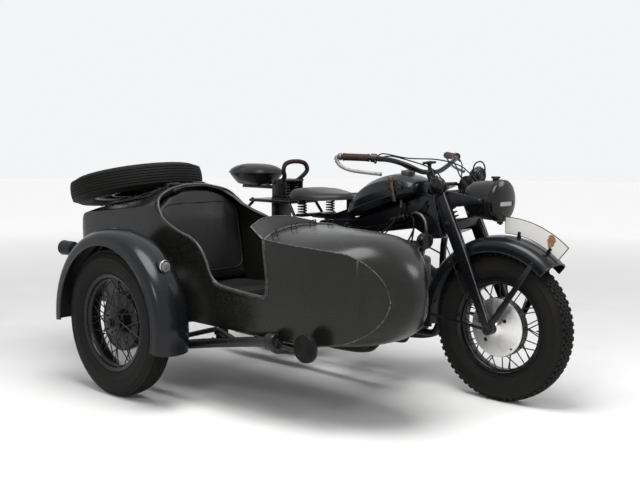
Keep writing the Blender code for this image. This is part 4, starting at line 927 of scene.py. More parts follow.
@dataclass
class SpokedWheel:
    """One of the four alike wheels: a tyre with its tread, a rim, crossed spokes and a hub with its drum.

    Attributes:
        prefix: The start of its CAD nodes' names.
        body: The body that it rides.
        turn: The turn of its own frame, in which the drum lies towards -Y.
        centre: Where its middle is.
        tread_pitches: How many blocks each row of the tread has.
        spoke_groups: How many groups of four spokes it has.
        spoke_r: A spoke's radius.
        ribbed: Whether the tread has ribs in place of blocks.
        drum_r: The drum's radius.
        flange_r: The small flange's radius.
        carcass: Half the tyre's closed profile, as radius and y.
        rim: Half the rim's closed profile, as radius and y.
    """

    prefix: str
    body: str
    turn: Matrix
    centre: Place
    tread_pitches: int = 64
    spoke_groups: int = 10
    spoke_r: float = 0.0026
    ribbed: bool = False
    drum_r: float = 0.132
    flange_r: float = 0.058

    carcass: tuple[Pair, ...] = (
        (0.2066, 0.0380), (0.2192, 0.0380), (0.2200, 0.0402), (0.2235, 0.0428), (0.2252, 0.0458), (0.2272, 0.0462),
        (0.2290, 0.0482), (0.2400, 0.0540), (0.2520, 0.0576), (0.2540, 0.0588), (0.2560, 0.0584), (0.2680, 0.0598),
        (0.2800, 0.0594), (0.2900, 0.0580), (0.2915, 0.0588), (0.2935, 0.0584), (0.2950, 0.0562), (0.3040, 0.0528),
        (0.3120, 0.0480), (0.3185, 0.0405), (0.3228, 0.0290), (0.3248, 0.0150), (0.3254, 0.0),
    )
    rim: tuple[Pair, ...] = (
        (0.2060, 0.0383), (0.2165, 0.0384), (0.2185, 0.0396), (0.2190, 0.0410), (0.2182, 0.0424), (0.2160, 0.0426),
        (0.2130, 0.0412), (0.2070, 0.0392), (0.2030, 0.0372), (0.2010, 0.0280), (0.1960, 0.0215), (0.1915, 0.0190),
        (0.1900, 0.0150), (0.1896, 0.0),
    )

    def ribs(self) -> list[Object]:
        """The tread's ribs, which run on round the tyre.

        Returns:
            One closed ring for each rib.
        """
        made = []
        for y, half_wide, foot, top in RIB_ROWS:
            fall = TREAD_DIP * y * half_wide
            profile = [(foot, y - half_wide), (top + fall, y - half_wide), (top - fall, y + half_wide),
                       (foot, y + half_wide)]
            for side in (-1, 1) if y else (1,):
                made.append(lathe([(radius, side * across) for radius, across in [*profile, profile[0]]], 96))
        return made

    def blocks(self) -> list[Object]:
        """The tread's blocks, each drawn once and spun round.

        Returns:
            One object for each row.
        """
        made = []
        pitch = math.tau / self.tread_pitches
        for y, half_wide, foot, top, share, offset in BLOCK_ROWS:
            for side in (-1, 1) if y else (1,):
                levels = []
                for radius, spread in ((foot, 1.0), (top, 0.93)):
                    loop = []
                    for edge, end in ((-1, -1), (1, -1), (1, 1), (-1, 1)):
                        across = side * (y + edge * half_wide * spread)
                        turn = pitch * (offset + end * share / 2 * spread)
                        high = radius - TREAD_DIP * y * (abs(across) - y)
                        loop.append((high * math.cos(turn), across, high * math.sin(turn)))
                    levels.append(loop)
                made.append(spun(skin(levels), self.tread_pitches))
        return made

    def tyre(self) -> Object:
        """The carcass with its tread.

        Returns:
            The shape, in the wheel's own frame.
        """
        half = list(self.carcass)
        profile = half + [(r, -y) for r, y in reversed(half[:-1])]
        return joined([lathe([*profile, profile[0]], 96), *(self.ribs() if self.ribbed else self.blocks())])

    def wires(self) -> Object:
        """The crossed spokes with their nipples, one group drawn and spun round.

        Returns:
            The shape, in the wheel's own frame.
        """
        group = []
        step = math.tau / self.spoke_groups
        lines = (
            # side, foot radius, foot y, lean of the spoke, place in the group
            (-1, self.drum_r - 0.004, -0.030, 0.20, 0.00), (-1, self.drum_r - 0.004, -0.024, -0.20, 0.22),
            (1, self.flange_r - 0.006, 0.038, 0.62, 0.50), (1, self.flange_r - 0.006, 0.0355, -0.62, 0.72),
        )
        for side, foot_r, foot_y, lean, share in lines:
            angle = step * share
            foot = (foot_r * math.cos(angle), foot_y, foot_r * math.sin(angle))
            tip_angle = angle + lean
            tip = Vector((0.194 * math.cos(tip_angle), 0.010 * side, 0.194 * math.sin(tip_angle)))
            back = (Vector(foot) - tip).normalized()
            group.append(rod(foot, tuple(tip), self.spoke_r, 7, edge=0.0002))
            group.append(rod(tuple(tip - back * 0.001), tuple(tip + back * 0.014), 0.0034, 7, 0.0024, 0.0003))
            group.append(rod(tuple(Vector(foot) - back * 0.003), tuple(Vector(foot) + back * 0.002), 0.0030, 7,
                             edge=0.0004))
        return spun(joined(group), self.spoke_groups)

    def hub(self) -> Object:
        """The hub with its ribbed drum and the nuts on its small flange.

        Returns:
            The shape, in the wheel's own frame.
        """
        drum = self.drum_r
        profile = [
            (0.0112, 0.050), (0.0220, 0.050), (0.0235, 0.0485), (0.0245, 0.0430), (0.0300, 0.0415),
            (0.0560, 0.0405), (0.0580, 0.0392), (0.0580, 0.0350), (0.0560, 0.0338), (0.0370, 0.0310),
            (0.0335, 0.0270), (0.0335, 0.0060), (0.0380, 0.0015), (0.1180, -0.0012), (0.1300, -0.0040),
            (drum, -0.0065), (drum, -0.0110), (drum - 0.003, -0.0125), (drum - 0.003, -0.0155), (drum, -0.0170),
            (drum, -0.0215), (drum - 0.003, -0.0230), (drum - 0.003, -0.0260), (drum, -0.0275), (drum, -0.0385),
            (drum - 0.002, -0.0400), (drum - 0.010, -0.0400), (drum - 0.010, -0.0160), (0.0240, -0.0120),
            (0.0112, -0.0300),
        ]
        nuts = spun(nut((0.044, 0.0405, 0.0), (0, 1, 0), 0.0055, 0.004, 0.003), 8)
        grease = rod((0.0, 0.0, 0.0335), (0.0, 0.0, 0.040), 0.0035, 8)
        shifted(grease, 0, 0.018, 0)
        return joined([lathe(profile + [profile[0]], 64), nuts, grease])

    def build(self) -> None:
        """Makes the wheel's two pieces."""
        half = list(self.rim)
        profile = half + [(r, -y) for r, y in reversed(half[:-1])]
        rim = lathe(profile + [profile[0]], 96)
        valve = rod((0.192, 0.0, 0.0), (0.166, 0.008, 0.0), 0.004, 8, 0.003)
        wheel = joined([rim, self.wires(), self.hub(), valve])
        place = Matrix.Translation(self.centre) @ self.turn
        tyre = moved(self.tyre(), place)
        fit(f"{self.prefix}_tread_tyre", tyre, self.body, TYRE_RUBBER, (f"{self.prefix}_tyre",), 40)
        fit(f"{self.prefix}_wire_wheel", moved(wheel, place), self.body, FRAME_BLACK, (f"{self.prefix}_wheel",))


def faced(item: Object, inside: Place) -> Object:
    """Turns an open sheet's faces away from a point inside it.

    Args:
        item: The sheet.
        inside: A point that its faces look away from.

    Returns:
        The same object.
    """
    point = Vector(inside)
    if sum((face.center - point).dot(face.normal) * face.area for face in item.data.polygons) < 0:
        item.data.flip_normals()
    return item


def blended_rows(rows: list[tuple[float, ...]], steps: int) -> list[tuple[float, ...]]:
    """Rows of numbers filled in smoothly between the given ones.

    Args:
        rows: The given rows.
        steps: How many rows each stretch gets.

    Returns:
        All the rows.
    """
    extended = [tuple(2 * a - b for a, b in zip(rows[0], rows[1])), *rows,
                tuple(2 * a - b for a, b in zip(rows[-1], rows[-2]))]
    made = []
    for before, here, there, after in zip(extended, extended[1:], extended[2:], extended[3:]):
        for step in range(steps):
            t = step / steps
            made.append(tuple(
                0.5 * (2 * b + (c - a) * t + (2 * a - 5 * b + 4 * c - d) * t * t + (3 * b - a - 3 * c + d) * t**3)
                for a, b, c, d in zip(before, here, there, after)
            ))
    return [*made, rows[-1]]


def rounded(turn: float, power: float) -> Pair:
    """A point at an angle on a circle of radius 1, which a power below 1 swells towards a square."""
    return tuple(math.copysign(abs(part) ** power, part) for part in (math.cos(turn), math.sin(turn)))


def draped(item: Object, points: list[Place], way: Place) -> list[Place]:
    """Points moved along a direction until they lie on a shape.

    Args:
        item: The shape.
        points: The points, ahead of it.
        way: The direction.

    Returns:
        The points that meet it.
    """
    hits = [item.ray_cast(Vector(point), Vector(way)) for point in points]
    return [tuple(place) for found, place, _, _ in hits if found]


def strap(start: Place, end: Place, across: Place, wide: Pair, thick: float) -> Object:
    """A flat bar between two points, with rounded edges.

    Args:
        start: Where it starts.
        end: Where it ends.
        across: The direction of its width.
        wide: Half its width at the start and at the end.
        thick: Half its thickness.

    Returns:
        The bar.
    """
    along = (Vector(end) - Vector(start)).normalized()
    side = Vector(across).normalized()
    face = along.cross(side).normalized() * thick
    rings = []
    for share in (0.0, 0.5, 1.0):
        centre = Vector(start).lerp(Vector(end), share)
        reach = side * (wide[0] + (wide[1] - wide[0]) * share)
        rings.append([tuple(centre + p) for p in (-reach - face, reach - face, reach + face, -reach + face)])
    return beveled(skin(rings), thick * 0.6, 2)


# ---------------------------------------------------------------- mudguards


@dataclass
class Mudguard:
    """A mudguard: a bent sheet with rolled edges.

    Attributes:
        node: The CAD node that it replaces.
        body: The body that it rides.
        centre: The wheel's middle, as x and y.
        start: Where it starts, in degrees above forward.
        end: Where it ends.
        radius: Its crown's radius.
        half: Half its width.
        skirt: The radius that its edges come down to.
        steps: How many stretches it has lengthwise.
        sheet: The sheet's thickness.
        bead: The rolled edge's radius.
    """

    node: str
    body: str
    centre: Pair
    start: float
    end: float
    radius: float = 0.405
    half: float = 0.080
    skirt: float = 0.338
    steps: int = 72
    sheet: float = 0.0022
    bead: float = 0.0036

    def section(self) -> list[tuple[float, ...]]:
        """The sheet's section as radius and y, from one edge to the other.

        Returns:
            The section's pairs.
        """
        half = [(self.skirt, self.half), (self.radius - 0.028, self.half * 0.94),
                (self.radius - 0.007, self.half * 0.58), (self.radius, self.half * 0.12)]
        return blended_rows(half + [(r, -y) for r, y in reversed(half)], 4)

    def at(self, radius: float, y: float, angle: float) -> Place:
        """A point round the wheel, the angle in radians."""
        x, z = on_wheel(radius, angle, self.centre[0])
        return (x, self.centre[1] + y, z)

    def build(self, extras: list[Object]) -> None:
        """Makes the guard with its rolled edge and what is fixed to it.

        Args:
            extras: Shapes that are joined to it.
        """
        section = self.section()
        angles = [math.radians(self.start + (self.end - self.start) * i / self.steps)
                  for i in range(self.steps + 1)]
        sheet = skin([[self.at(r, y, a) for r, y in section] for a in angles], loop=False, caps=False)
        sheet = faced(sheet, self.at(self.skirt - 0.1, 0, math.radians((self.start + self.end) / 2)))
        modify(sheet, "SOLIDIFY", thickness=self.sheet, offset=-1)
        inner = [(r - self.bead * 0.3, y - math.copysign(self.bead * 0.4, y)) for r, y in section]
        rim = [self.at(*inner[0], a) for a in angles] + [self.at(*p, angles[-1]) for p in inner[1:-1]]
        rim += [self.at(*inner[-1], a) for a in reversed(angles)]
        rim += [self.at(*p, angles[0]) for p in reversed(inner[1:-1])]
        edge = sweep(rim, self.bead, 2, closed=True)
        fit(f"{self.node}_sheet", joined([sheet, edge, *extras]), self.body, BODY_BLACK, (self.node,),
            40)


def front_stays() -> list[Object]:
    """The front guard's flat stays with their bolts.

    Returns:
        The shapes, in the machine's frame.
    """
    made = []
    for side in (-1, 1):
        y = side * 0.1238
        for angle, wide, thick in ((58, (0.0170, 0.0110), 0.0026), (176, (0.0070, 0.0055), 0.0030)):
            turn = math.radians(angle)
            tip_x, tip_z = on_wheel(0.354, turn, WHEELBASE)
            foot = (WHEELBASE, y, AXLE_Z)
            tip = (tip_x, side * 0.0815, tip_z)
            across = (-math.sin(turn), 0, math.cos(turn))
            made.append(strap(foot, tip, across, wide, thick))
            made.append(nut((tip[0], tip[1] + side * 0.001, tip[2]), (0, side, 0), 0.008, 0.005, 0.002))
        made.append(shifted(lathe([(0.0110, -0.0060), (0.0235, -0.0060), (0.0240, -0.0040), (0.0240, 0.0025),
                                   (0.0230, 0.0035), (0.0110, 0.0035), (0.0110, -0.0060)], 32), WHEELBASE, y,
                                   AXLE_Z))
    return made


def build_guards() -> None:
    """Makes the three mudguards with the sidecar's lamps."""
    marker_z, tail_z = 0.612, 0.630
    Mudguard("front_mudguard", "fork", (WHEELBASE, 0.0), 48, 186).build(front_stays())
    bolts = [nut((0.0, side * 0.081, AXLE_Z + 0.355), (0, side, 0), 0.008, 0.005, 0.002) for side in (-1, 1)]
    Mudguard("rear_mudguard", "frame", (0.0, 0.0), 22, 196).build(bolts)
    high = math.sqrt(GUARD_R**2 - (marker_z - AXLE_Z) ** 2) + SIDECAR_LEAD
    cup = lathe([(0, -0.014), (0.024, -0.014), (0.026, -0.010), (0.0262, 0.020), (0.0240, 0.024), (0.0236, 0.018),
                 (0, 0.018)], 40, "X")
    shifted(cup, high, -TRACK, marker_z)
    back = SIDECAR_LEAD - math.sqrt(GUARD_R**2 - (tail_z - AXLE_Z) ** 2)
    tail = lathe([(0, 0.006), (0.014, 0.004), (0.014, -0.052), (0.030, -0.056), (0.034, -0.064), (0.034, -0.136),
                  (0.0355, -0.139), (0.0355, -0.144), (0.032, -0.146), (0.031, -0.142), (0, -0.142)], 40, "X")
    shifted(tail, back, -TRACK, tail_z)
    guard = Mudguard("sidecar_mudguard", "frame", (SIDECAR_LEAD, -TRACK), -12, 184, GUARD_R, GUARD_HALF, 0.352)
    bracket = block((high - 0.022, -TRACK - 0.016, 0.590), (high + 0.004, -TRACK + 0.016, 0.634), 0.004)
    flap = strap((back - 0.060, -TRACK, 0.412), (back - 0.070, -TRACK, 0.404), (0, 1, 0), (0.012, 0.012), 0.002)
    guard.build([cup, tail, bracket, flap])
    ring = lathe([(0.0215, 0.0185), (0.0268, 0.0185), (0.0280, 0.0210), (0.0280, 0.0255), (0.0262, 0.0285),
                  (0.0230, 0.0285), (0.0215, 0.0260), (0.0215, 0.0185)], 40, "X")
    fit("marker_ring", shifted(ring, high, -TRACK, marker_z), "frame", BRIGHT_STEEL)
    lens = lathe([(0, 0.0190), (0.0220, 0.0190), (0.0220, 0.0240), (0.0150, 0.0290), (0, 0.0310)], 40, "X")
    fit("marker_lens", shifted(lens, high, -TRACK, marker_z), "frame", LENS_CLEAR)
    lens = lathe([(0, -0.140), (0.0312, -0.140), (0.0300, -0.144), (0.0180, -0.1485), (0, -0.1495)], 40, "X")
    fit("tail_lens", shifted(lens, back, -TRACK, tail_z), "frame", LENS_RED)


# ---------------------------------------------------------------- sidecar body


def puffed(item: Object, voxel: float, shrink: float, pressure: float, cap: float) -> Object:
    """Swells a solid into a padded shape with a short cloth run.

    Args:
        item: The solid.
        voxel: The remesh's voxel size.
        shrink: How far the solid is drawn in first.
        pressure: The cloth's inner pressure.
        cap: The farthest that a point may move.

    Returns:
        The same object with its padded mesh.
    """
    modify(item, "DISPLACE", strength=-shrink, mid_level=0.0)
    modify(item, "REMESH", mode="VOXEL", voxel_size=voxel)
    modify(item, "SMOOTH", factor=0.5, iterations=6)
    pick(item)
    cloth = item.modifiers.new("Cloth", "CLOTH")
    cloth.settings.use_pressure = True
    cloth.settings.uniform_pressure_force = pressure
    cloth.settings.effector_weights.gravity = 0
    cloth.settings.quality = 4
    for number in range(1, 21):
        bpy.context.scene.frame_set(number)
    swollen = item.evaluated_get(bpy.context.evaluated_depsgraph_get()).data
    places = [vertex.co.copy() for vertex in swollen.vertices]
    item.modifiers.remove(cloth)
    for vertex, place in zip(item.data.vertices, places):
        step = place - vertex.co
        vertex.co += step if step.length < cap else step.normalized() * cap
    bpy.context.scene.frame_set(1)
    modify(item, "SMOOTH", factor=0.5, iterations=4)
    return subdivided(item)


@dataclass
class SidecarBody:
    """The sidecar's body: a folded-sheet tub with its coaming, scuttle lip, hooks, lid and seat.

    Attributes:
        wall: The wall's thickness.
        across: How many faces a ring has across.
        half: Half the body's width.
        bulkhead: Where the wall between the cockpit and the boot stands.
        lid_rear: The lid's rear edge.
        lid_front: Its front edge.
        lid_half: Half its width.
        sections: The body's sections, from rear to front.
        entry: The near side's opening, as x and z.
        cockpit: The top's opening, as x and z.
        coaming: The thin roll's path.
        sill: The thick roll's path.
        far_edge: The far roll's path.
        scuttle: The scuttle lip's feet and tops.
    """

    wall: float = 0.008
    across: int = 22
    half: float = 0.262
    bulkhead: float = 0.070
    lid_rear: float = -0.385
    lid_front: float = 0.030
    lid_half: float = 0.195
    sections: tuple[tuple[tuple[float, ...], tuple[float, ...]], ...] = (
        # upper edge: x, z, crown, half width; lower edge: x, z, crown, half width
        ((-0.484, 0.705, 0.010, 0.236), (-0.470, 0.440, 0.000, 0.236)),
        ((-0.468, 0.760, 0.020, 0.242), (-0.440, 0.395, 0.000, 0.243)),
        ((-0.430, 0.782, 0.030, 0.246), (-0.400, 0.362, 0.000, 0.246)),
        ((-0.300, 0.797, 0.046, 0.252), (-0.300, 0.350, 0.000, 0.252)),
        ((0.000, 0.828, 0.080, 0.259), (0.000, 0.345, 0.000, 0.259)),
        ((0.130, 0.843, 0.090, 0.262), (0.130, 0.345, 0.000, 0.262)),
        ((0.300, 0.790, 0.062, 0.262), (0.300, 0.345, 0.000, 0.262)),
        ((0.700, 0.754, 0.046, 0.262), (0.700, 0.342, 0.000, 0.262)),
        ((COWL_X, 0.744, 0.045, 0.262), (COWL_X, 0.340, 0.000, 0.262)),
        ((0.970, 0.736, 0.048, 0.259), (0.970, 0.338, 0.000, 0.259)),
        ((1.100, 0.728, 0.054, 0.250), (1.073, 0.337, 0.004, 0.252)),
        ((1.200, 0.720, 0.058, 0.232), (1.172, 0.345, 0.012, 0.238)),
        ((1.290, 0.707, 0.060, 0.203), (1.261, 0.361, 0.026, 0.214)),
        ((1.355, 0.669, 0.060, 0.170), (1.320, 0.386, 0.040, 0.190)),
        ((1.398, 0.614, 0.060, 0.136), (1.370, 0.422, 0.052, 0.160)),
        ((1.414, 0.562, 0.060, 0.118), (1.405, 0.470, 0.060, 0.131)),
        ((1.418, 0.530, 0.060, 0.113), (1.417, 0.518, 0.060, 0.114)),
    )
    entry: tuple[Pair, ...] = (
        (0.129, 1.200), (0.129, 0.900), (0.131, 0.856), (0.200, 0.792), (0.300, 0.745), (0.400, 0.716),
        (0.460, 0.682), (0.505, 0.625), (0.540, 0.560), (0.590, 0.524), (0.700, 0.512), (0.860, 0.502),
        (0.893, 0.520), (0.898, 0.560), (0.880, 0.680), (0.8692, 0.738), (0.860, 0.780), (0.860, 1.200),
    )
    cockpit: tuple[Pair, ...] = (
        (0.120, 1.100), (0.125, 0.925), (0.200, 0.862), (0.300, 0.800), (0.420, 0.752), (0.560, 0.735),
        (0.800, 0.735), (COWL_X, 0.745), (COWL_X, 1.100),
    )
    coaming: tuple[Place, ...] = (
        # over the seat's back, down the near side to the sill
        (0.121, -0.620, 0.930), (0.120, -0.690, 0.932), (0.121, -0.760, 0.930), (0.126, -0.850, 0.911),
        (0.150, -0.930, 0.868), (0.200, -0.947, 0.795), (0.300, NEAR_Y, 0.745), (0.400, NEAR_Y, 0.716),
        (0.460, NEAR_Y, 0.682), (0.505, NEAR_Y, 0.625), (0.540, NEAR_Y, 0.560), (0.590, NEAR_Y, 0.524),
    )
    sill: tuple[Place, ...] = (
        # the thick rolled part: along the sill and up the opening's front edge
        (0.560, NEAR_Y, 0.540), (0.590, NEAR_Y, 0.524), (0.700, NEAR_Y, 0.512), (0.850, NEAR_Y, 0.503),
        (0.882, NEAR_Y, 0.514), (0.893, NEAR_Y, 0.545), (0.892, NEAR_Y, 0.590), (0.879, NEAR_Y, 0.680),
        (0.869, -0.945, 0.742),
    )
    far_edge: tuple[Place, ...] = (
        # the cowl's rear edge and the far side's top, up to the seat's back
        (0.869, -0.944, 0.742), (COWL_X, -0.880, 0.770), (COWL_X, -0.780, 0.787), (COWL_X, -0.690, 0.789),
        (COWL_X, -0.600, 0.787), (COWL_X, -0.500, 0.770), (0.866, -0.440, 0.744), (0.780, -0.432, 0.742),
        (0.560, -0.432, 0.744), (0.420, -0.432, 0.755), (0.330, -0.431, 0.783), (0.240, -0.431, 0.808),
        (0.175, -0.432, 0.832), (0.140, -0.445, 0.862), (0.126, -0.500, 0.902), (0.121, -0.620, 0.930),
    )
    scuttle: tuple[tuple[Place, Place], ...] = (
        # the raised lip on the near half of the cowl's rear edge: foot, then top
        ((0.874, -0.948, 0.738), (0.797, -0.950, 0.790)),
        ((0.874, -0.880, 0.764), (0.800, -0.880, 0.822)),
        ((0.874, -0.790, 0.781), (0.822, -0.780, 0.826)),
        ((0.874, -0.700, 0.785), (0.845, -0.700, 0.812)),
        ((0.874, -0.640, 0.784), (0.866, -0.640, 0.798)),
    )

    @staticmethod
    def crown(share: float) -> float:
        """How much of the crown stands at a share of the half width."""
        return 1 - abs(share) ** 2.5

    def rings(self, inset: float) -> list[list[Place]]:
        """The body's rings, the upper strip and then the lower one, drawn in by an inset.

        Args:
            inset: How far the body is drawn in, in metres.

        Returns:
            The rings from rear to front.
        """
        upper = blended_rows([pair[0] for pair in self.sections], 3)
        lower = blended_rows([pair[1] for pair in self.sections], 3)
        chain = upper + lower[::-1]
        arcs = []
        for i, (x, z, crown, half) in enumerate(chain):
            before, after = chain[max(i - 1, 0)], chain[min(i + 1, len(chain) - 1)]
            along = Vector((after[0] - before[0], after[1] - before[1])).normalized()
            arc = []
            for k in range(self.across + 1):
                share = -math.cos(math.pi * k / self.across)
                share = 0.5 * share + 0.5 * (-1 + 2 * k / self.across)
                lift = crown * self.crown(share) - inset
                arc.append((x - along.y * lift, TUB_Y + (half - inset) * share, z + along.x * lift))
            arcs.append(arc)
        count = len(upper)
        rings = [arcs[i] + arcs[2 * count - 1 - i][::-1] for i in range(count)]
        shut = [tuple((a + b) / 2 for a, b in zip(high, low)) for high, low in zip(arcs[count - 1], arcs[count])]
        return [*rings, shut + shut[::-1]]

    def deck(self, x: float, y: float) -> float:
        """Height of the body's top over a point.

        Args:
            x: The point's place along the machine.
            y: Its place across.

        Returns:
            The height above the ground.
        """
        uppers = [pair[0] for pair in self.sections]
        for low, high in zip(uppers[1:], uppers[2:]):
            if low[0] <= x <= high[0]:
                share = (x - low[0]) / (high[0] - low[0])
                shoulder, crown, half = (low[i] + (high[i] - low[i]) * share for i in (1, 2, 3))
                return shoulder + crown * self.crown((y - TUB_Y) / half)
        return uppers[1][1]

    def hollow(self, start: float, end: float) -> Object:
        """The space inside the body between two places along it.

        Args:
            start: Where it begins.
            end: Where it ends.

        Returns:
            The space as a solid.
        """
        space = skin(self.rings(self.wall))
        room = block((start, -2, 0), (end, 0, 2), 0)
        modify(space, "BOOLEAN", operation="INTERSECT", solver="EXACT", object=room)
        bpy.data.objects.remove(room)
        return space

    def tub(self) -> Object:
        """The hollow body with its openings cut.

        Returns:
            The shape, in the machine's frame.
        """
        body = beveled(skin(self.rings(0.0)), 0.006, 3, 42)
        entry = plate([(p.x, p.y) for p in smooth_path([(x, z, 0) for x, z in self.entry], 3)], 0.120,
                      TUB_Y - self.half)
        cockpit = plate([(p.x, p.y) for p in smooth_path([(x, z, 0) for x, z in self.cockpit], 3)],
                        self.half + 0.05, TUB_Y)
        mouth = block((self.lid_rear + 0.030, TUB_Y - 0.165, 0.70), (self.lid_front - 0.020, TUB_Y + 0.165, 1.0),
                      0.01)
        return cut(body, self.hollow(self.bulkhead, 2.0), self.hollow(-2.0, self.bulkhead - 0.010), cockpit, entry,
                   mouth)

    def trim(self) -> list[Object]:
        """The rolled coaming, the scuttle lip with its rolled edge, and light beads along the side's folds, which
        are painted highlights.

        Returns:
            The shapes, in the machine's frame.
        """
        roll = joined([sweep(smooth_path(list(path), 5), radius, 4)
                       for path, radius in ((self.coaming, 0.0066), (self.sill, 0.0102), (self.far_edge, 0.0060))])
        feet = smooth_path([pair[0] for pair in self.scuttle], 6)
        tops = smooth_path([pair[1] for pair in self.scuttle], 6)
        rings = []
        for foot, top in zip(feet, tops):
            middle = foot.lerp(top, 0.5) + Vector((0.004, 0, 0.004))
            rings.append([tuple(p) for p in smooth_path([foot, middle, top], 3)])
        lip = skin(rings, loop=False, caps=False)
        modify(lip, "SOLIDIFY", thickness=0.0026, offset=0)
        # The lip gets a darker, rougher black than the tub's, so that it reads dark against the deck.
        fit("scuttle_lip", lip, "frame", SCUTTLE_LIP_DARK)
        edge = sweep([feet[0], *tops, feet[-1]], 0.0040, 3)
        # The light beads along the side's folds are painted highlights, standing in for the sheen that marks the
        # folds.
        crease_highlights = []
        for strip, from_x in ((0, COWL_X), (1, 0.640)):
            line = [pair[strip] for pair in self.sections if pair[strip][0] >= from_x]
            line = [(x, TUB_Y - half + 0.0006, z) for x, z, _, half in line]
            crease_highlights.append(sweep(smooth_path(line, 6), 0.0026, 2))
            crease_highlights.append(sweep(smooth_path([(x, 2 * TUB_Y - y, z) for x, y, z in line], 6), 0.0026, 2))
        return [roll, edge, *crease_highlights]

    def hooks(self) -> Object:
        """The small wire loops for the apron, on the cowl behind its rear edge.

        Returns:
            The shape, in the machine's frame.
        """
        made = []
        for x, y, turn in ((0.905, -0.905, 0.5), (0.908, -0.800, 0.2), (0.908, -0.690, 0.0), (0.908, -0.580, -0.2),
                           (0.905, -0.475, -0.5)):
            z = self.deck(x, y)
            loop = [(-0.012, -0.013, 0.002), (-0.013, -0.014, 0.014), (-0.004, -0.014, 0.023),
                    (-0.004, 0.014, 0.023), (-0.013, 0.014, 0.014), (-0.012, 0.013, 0.002)]
            wire = sweep(smooth_path(loop, 4), 0.0020, 2)
            foot = block((-0.017, -0.016, -0.001), (-0.006, 0.016, 0.0035), 0.0012)
            moved(joined([wire, foot]), Matrix.Translation((x, y, z)) @ Matrix.Rotation(turn, 4, "X"))
            made.append(wire)
        return joined(made)

    def lid(self) -> Object:
        """The boot lid with its stiffening bead, hinge leaves and catch.

        Returns:
            The shape, in the machine's frame.
        """
        rings = []
        for i in range(15):
            x = self.lid_rear + (self.lid_front - self.lid_rear) * i / 14
            line = [TUB_Y + self.lid_half * (-1 + 2 * k / self.across) for k in range(self.across + 1)]
            top = [(x, y, self.deck(x, y) + 0.0135) for y in line]
            low = [(x, y, self.deck(x, y) + 0.0055) for y in line]
            rings.append(top + low[::-1])
        sheet = beveled(skin(rings), 0.003, 2, 50)
        inner = []
        for x0, y0, x1, y1 in ((-0.36, -0.17, 0.0, -0.17), (0.0, -0.17, 0.0, 0.17), (0.0, 0.17, -0.36, 0.17),
                               (-0.36, 0.17, -0.36, -0.17)):
            for k in range(12):
                x, y = x0 + (x1 - x0) * k / 12, TUB_Y + y0 + (y1 - y0) * k / 12
                inner.append((x, y, self.deck(x, y) + 0.0125))
        bead = sweep(inner, 0.0036, 2, closed=True)
        parts = [sheet, bead]
        for side in (-1, 1):
            y = TUB_Y + side * 0.070
            bore = [(0.0045, -0.028), (0.0080, -0.028), (0.0085, -0.0272), (0.0085, 0.0272), (0.0080, 0.028),
                    (0.0045, 0.028), (0.0045, -0.028)]
            parts.append(shifted(lathe(bore, 24), 0.048, y, 0.932))
            leaf = [(0.004, 0.9185), (0.026, 0.9195), (0.042, 0.9290), (0.044, 0.9365), (0.030, 0.9300),
                    (0.004, 0.9275)]
            parts.append(beveled(plate(leaf, 0.025, y), 0.001, 2))
            for shift in (-0.014, 0.014):
                z = self.deck(0.014, y) + 0.0135
                parts.append(nut((0.014, y + shift, z + 0.001), (0.05, 0, 1), 0.0055, 0.003))
        handle = [(-0.372, TUB_Y - 0.035, 0.830), (-0.376, TUB_Y - 0.033, 0.842), (-0.377, TUB_Y, 0.846),
                  (-0.376, TUB_Y + 0.033, 0.842), (-0.372, TUB_Y + 0.035, 0.830)]
        lift = self.deck(-0.372, TUB_Y) + 0.010 - 0.830
        parts.append(shifted(sweep(smooth_path(handle, 4), 0.0034, 2), 0, 0, lift))
        return joined(parts)

    @staticmethod
    def welt_path(pad: Object, upright: bool) -> tuple[list[Place], Place]:
        """Where a cushion's piping runs, ahead of it, and the way from there onto it.

        Args:
            pad: The cushion.
            upright: Whether the piping runs on its front, and not on its top.

        Returns:
            The points, and the direction that leads onto the cushion.
        """
        corners = [corner.co for corner in pad.data.vertices]
        low, high = (Vector([end(corner[axis] for corner in corners) for axis in range(3)]) for end in (min, max))
        points = []
        for k in range(72):
            across, up = rounded(math.tau * k / 72, 0.28)
            y = (low.y + high.y) / 2 + ((high.y - low.y) / 2 - 0.022) * across
            if upright:
                points.append((2.0, y, (low.z + high.z) / 2 + ((high.z - low.z) / 2 - 0.055) * up))
            else:
                points.append(((low.x + high.x) / 2 + ((high.x - low.x) / 2 - 0.022) * up, y, 2.0))
        return points, (-1, 0, 0) if upright else (0, 0, -1)

    def hinge(self) -> Object:
        """The fixed half of the lid's hinge: its pin and stands.

        Returns:
            The shape, in the machine's frame.
        """
        pin = rod((0.048, TUB_Y - 0.114, 0.932), (0.048, TUB_Y + 0.114, 0.932), 0.0039, 16)
        stands = [block((0.042, TUB_Y + y - 0.005, 0.899), (0.058, TUB_Y + y + 0.005, 0.939), 0.0018)
                  for y in (-0.110, 0.0, 0.110)]
        return joined([pin, *stands])

    def build(self) -> None:
        """Makes the body's pieces."""
        # The tub's black carries a painted reflection: a slight warm tint from the floor.
        fit("tub_sheet", joined([self.tub(), self.hinge()]), "frame", TUB_BLACK_FLOOR_REFLECTION_TINT, ("sidecar_tub",),
            30)
        # The beads along the side's folds in this piece are painted highlights.
        fit("tub_coaming_and_crease_highlights", joined(self.trim()), "frame", WORN_TRIM_AND_CREASE_HIGHLIGHT)
        fit("apron_hooks", self.hooks(), "frame", FRAME_BLACK)
        fit("boot_lid_sheet", self.lid(), "boot_lid", BODY_BLACK, ("boot_lid",))
        welts = []
        for node_name, piece in (("seat_cushion", "seat_cushion_pad"), ("seat_back", "seat_back_pad")):
            pad = puffed(cad_shape(node_name), 0.009, 0.006, 4.0, 0.008)
            welts.append(sweep(draped(pad, *self.welt_path(pad, node_name == "seat_back")), 0.0034, 2, closed=True))
            fit(piece, pad, "frame", SEAT_LEATHER, (node_name,), 60)
        fit("seat_piping", joined(welts), "frame", SEAT_LEATHER)


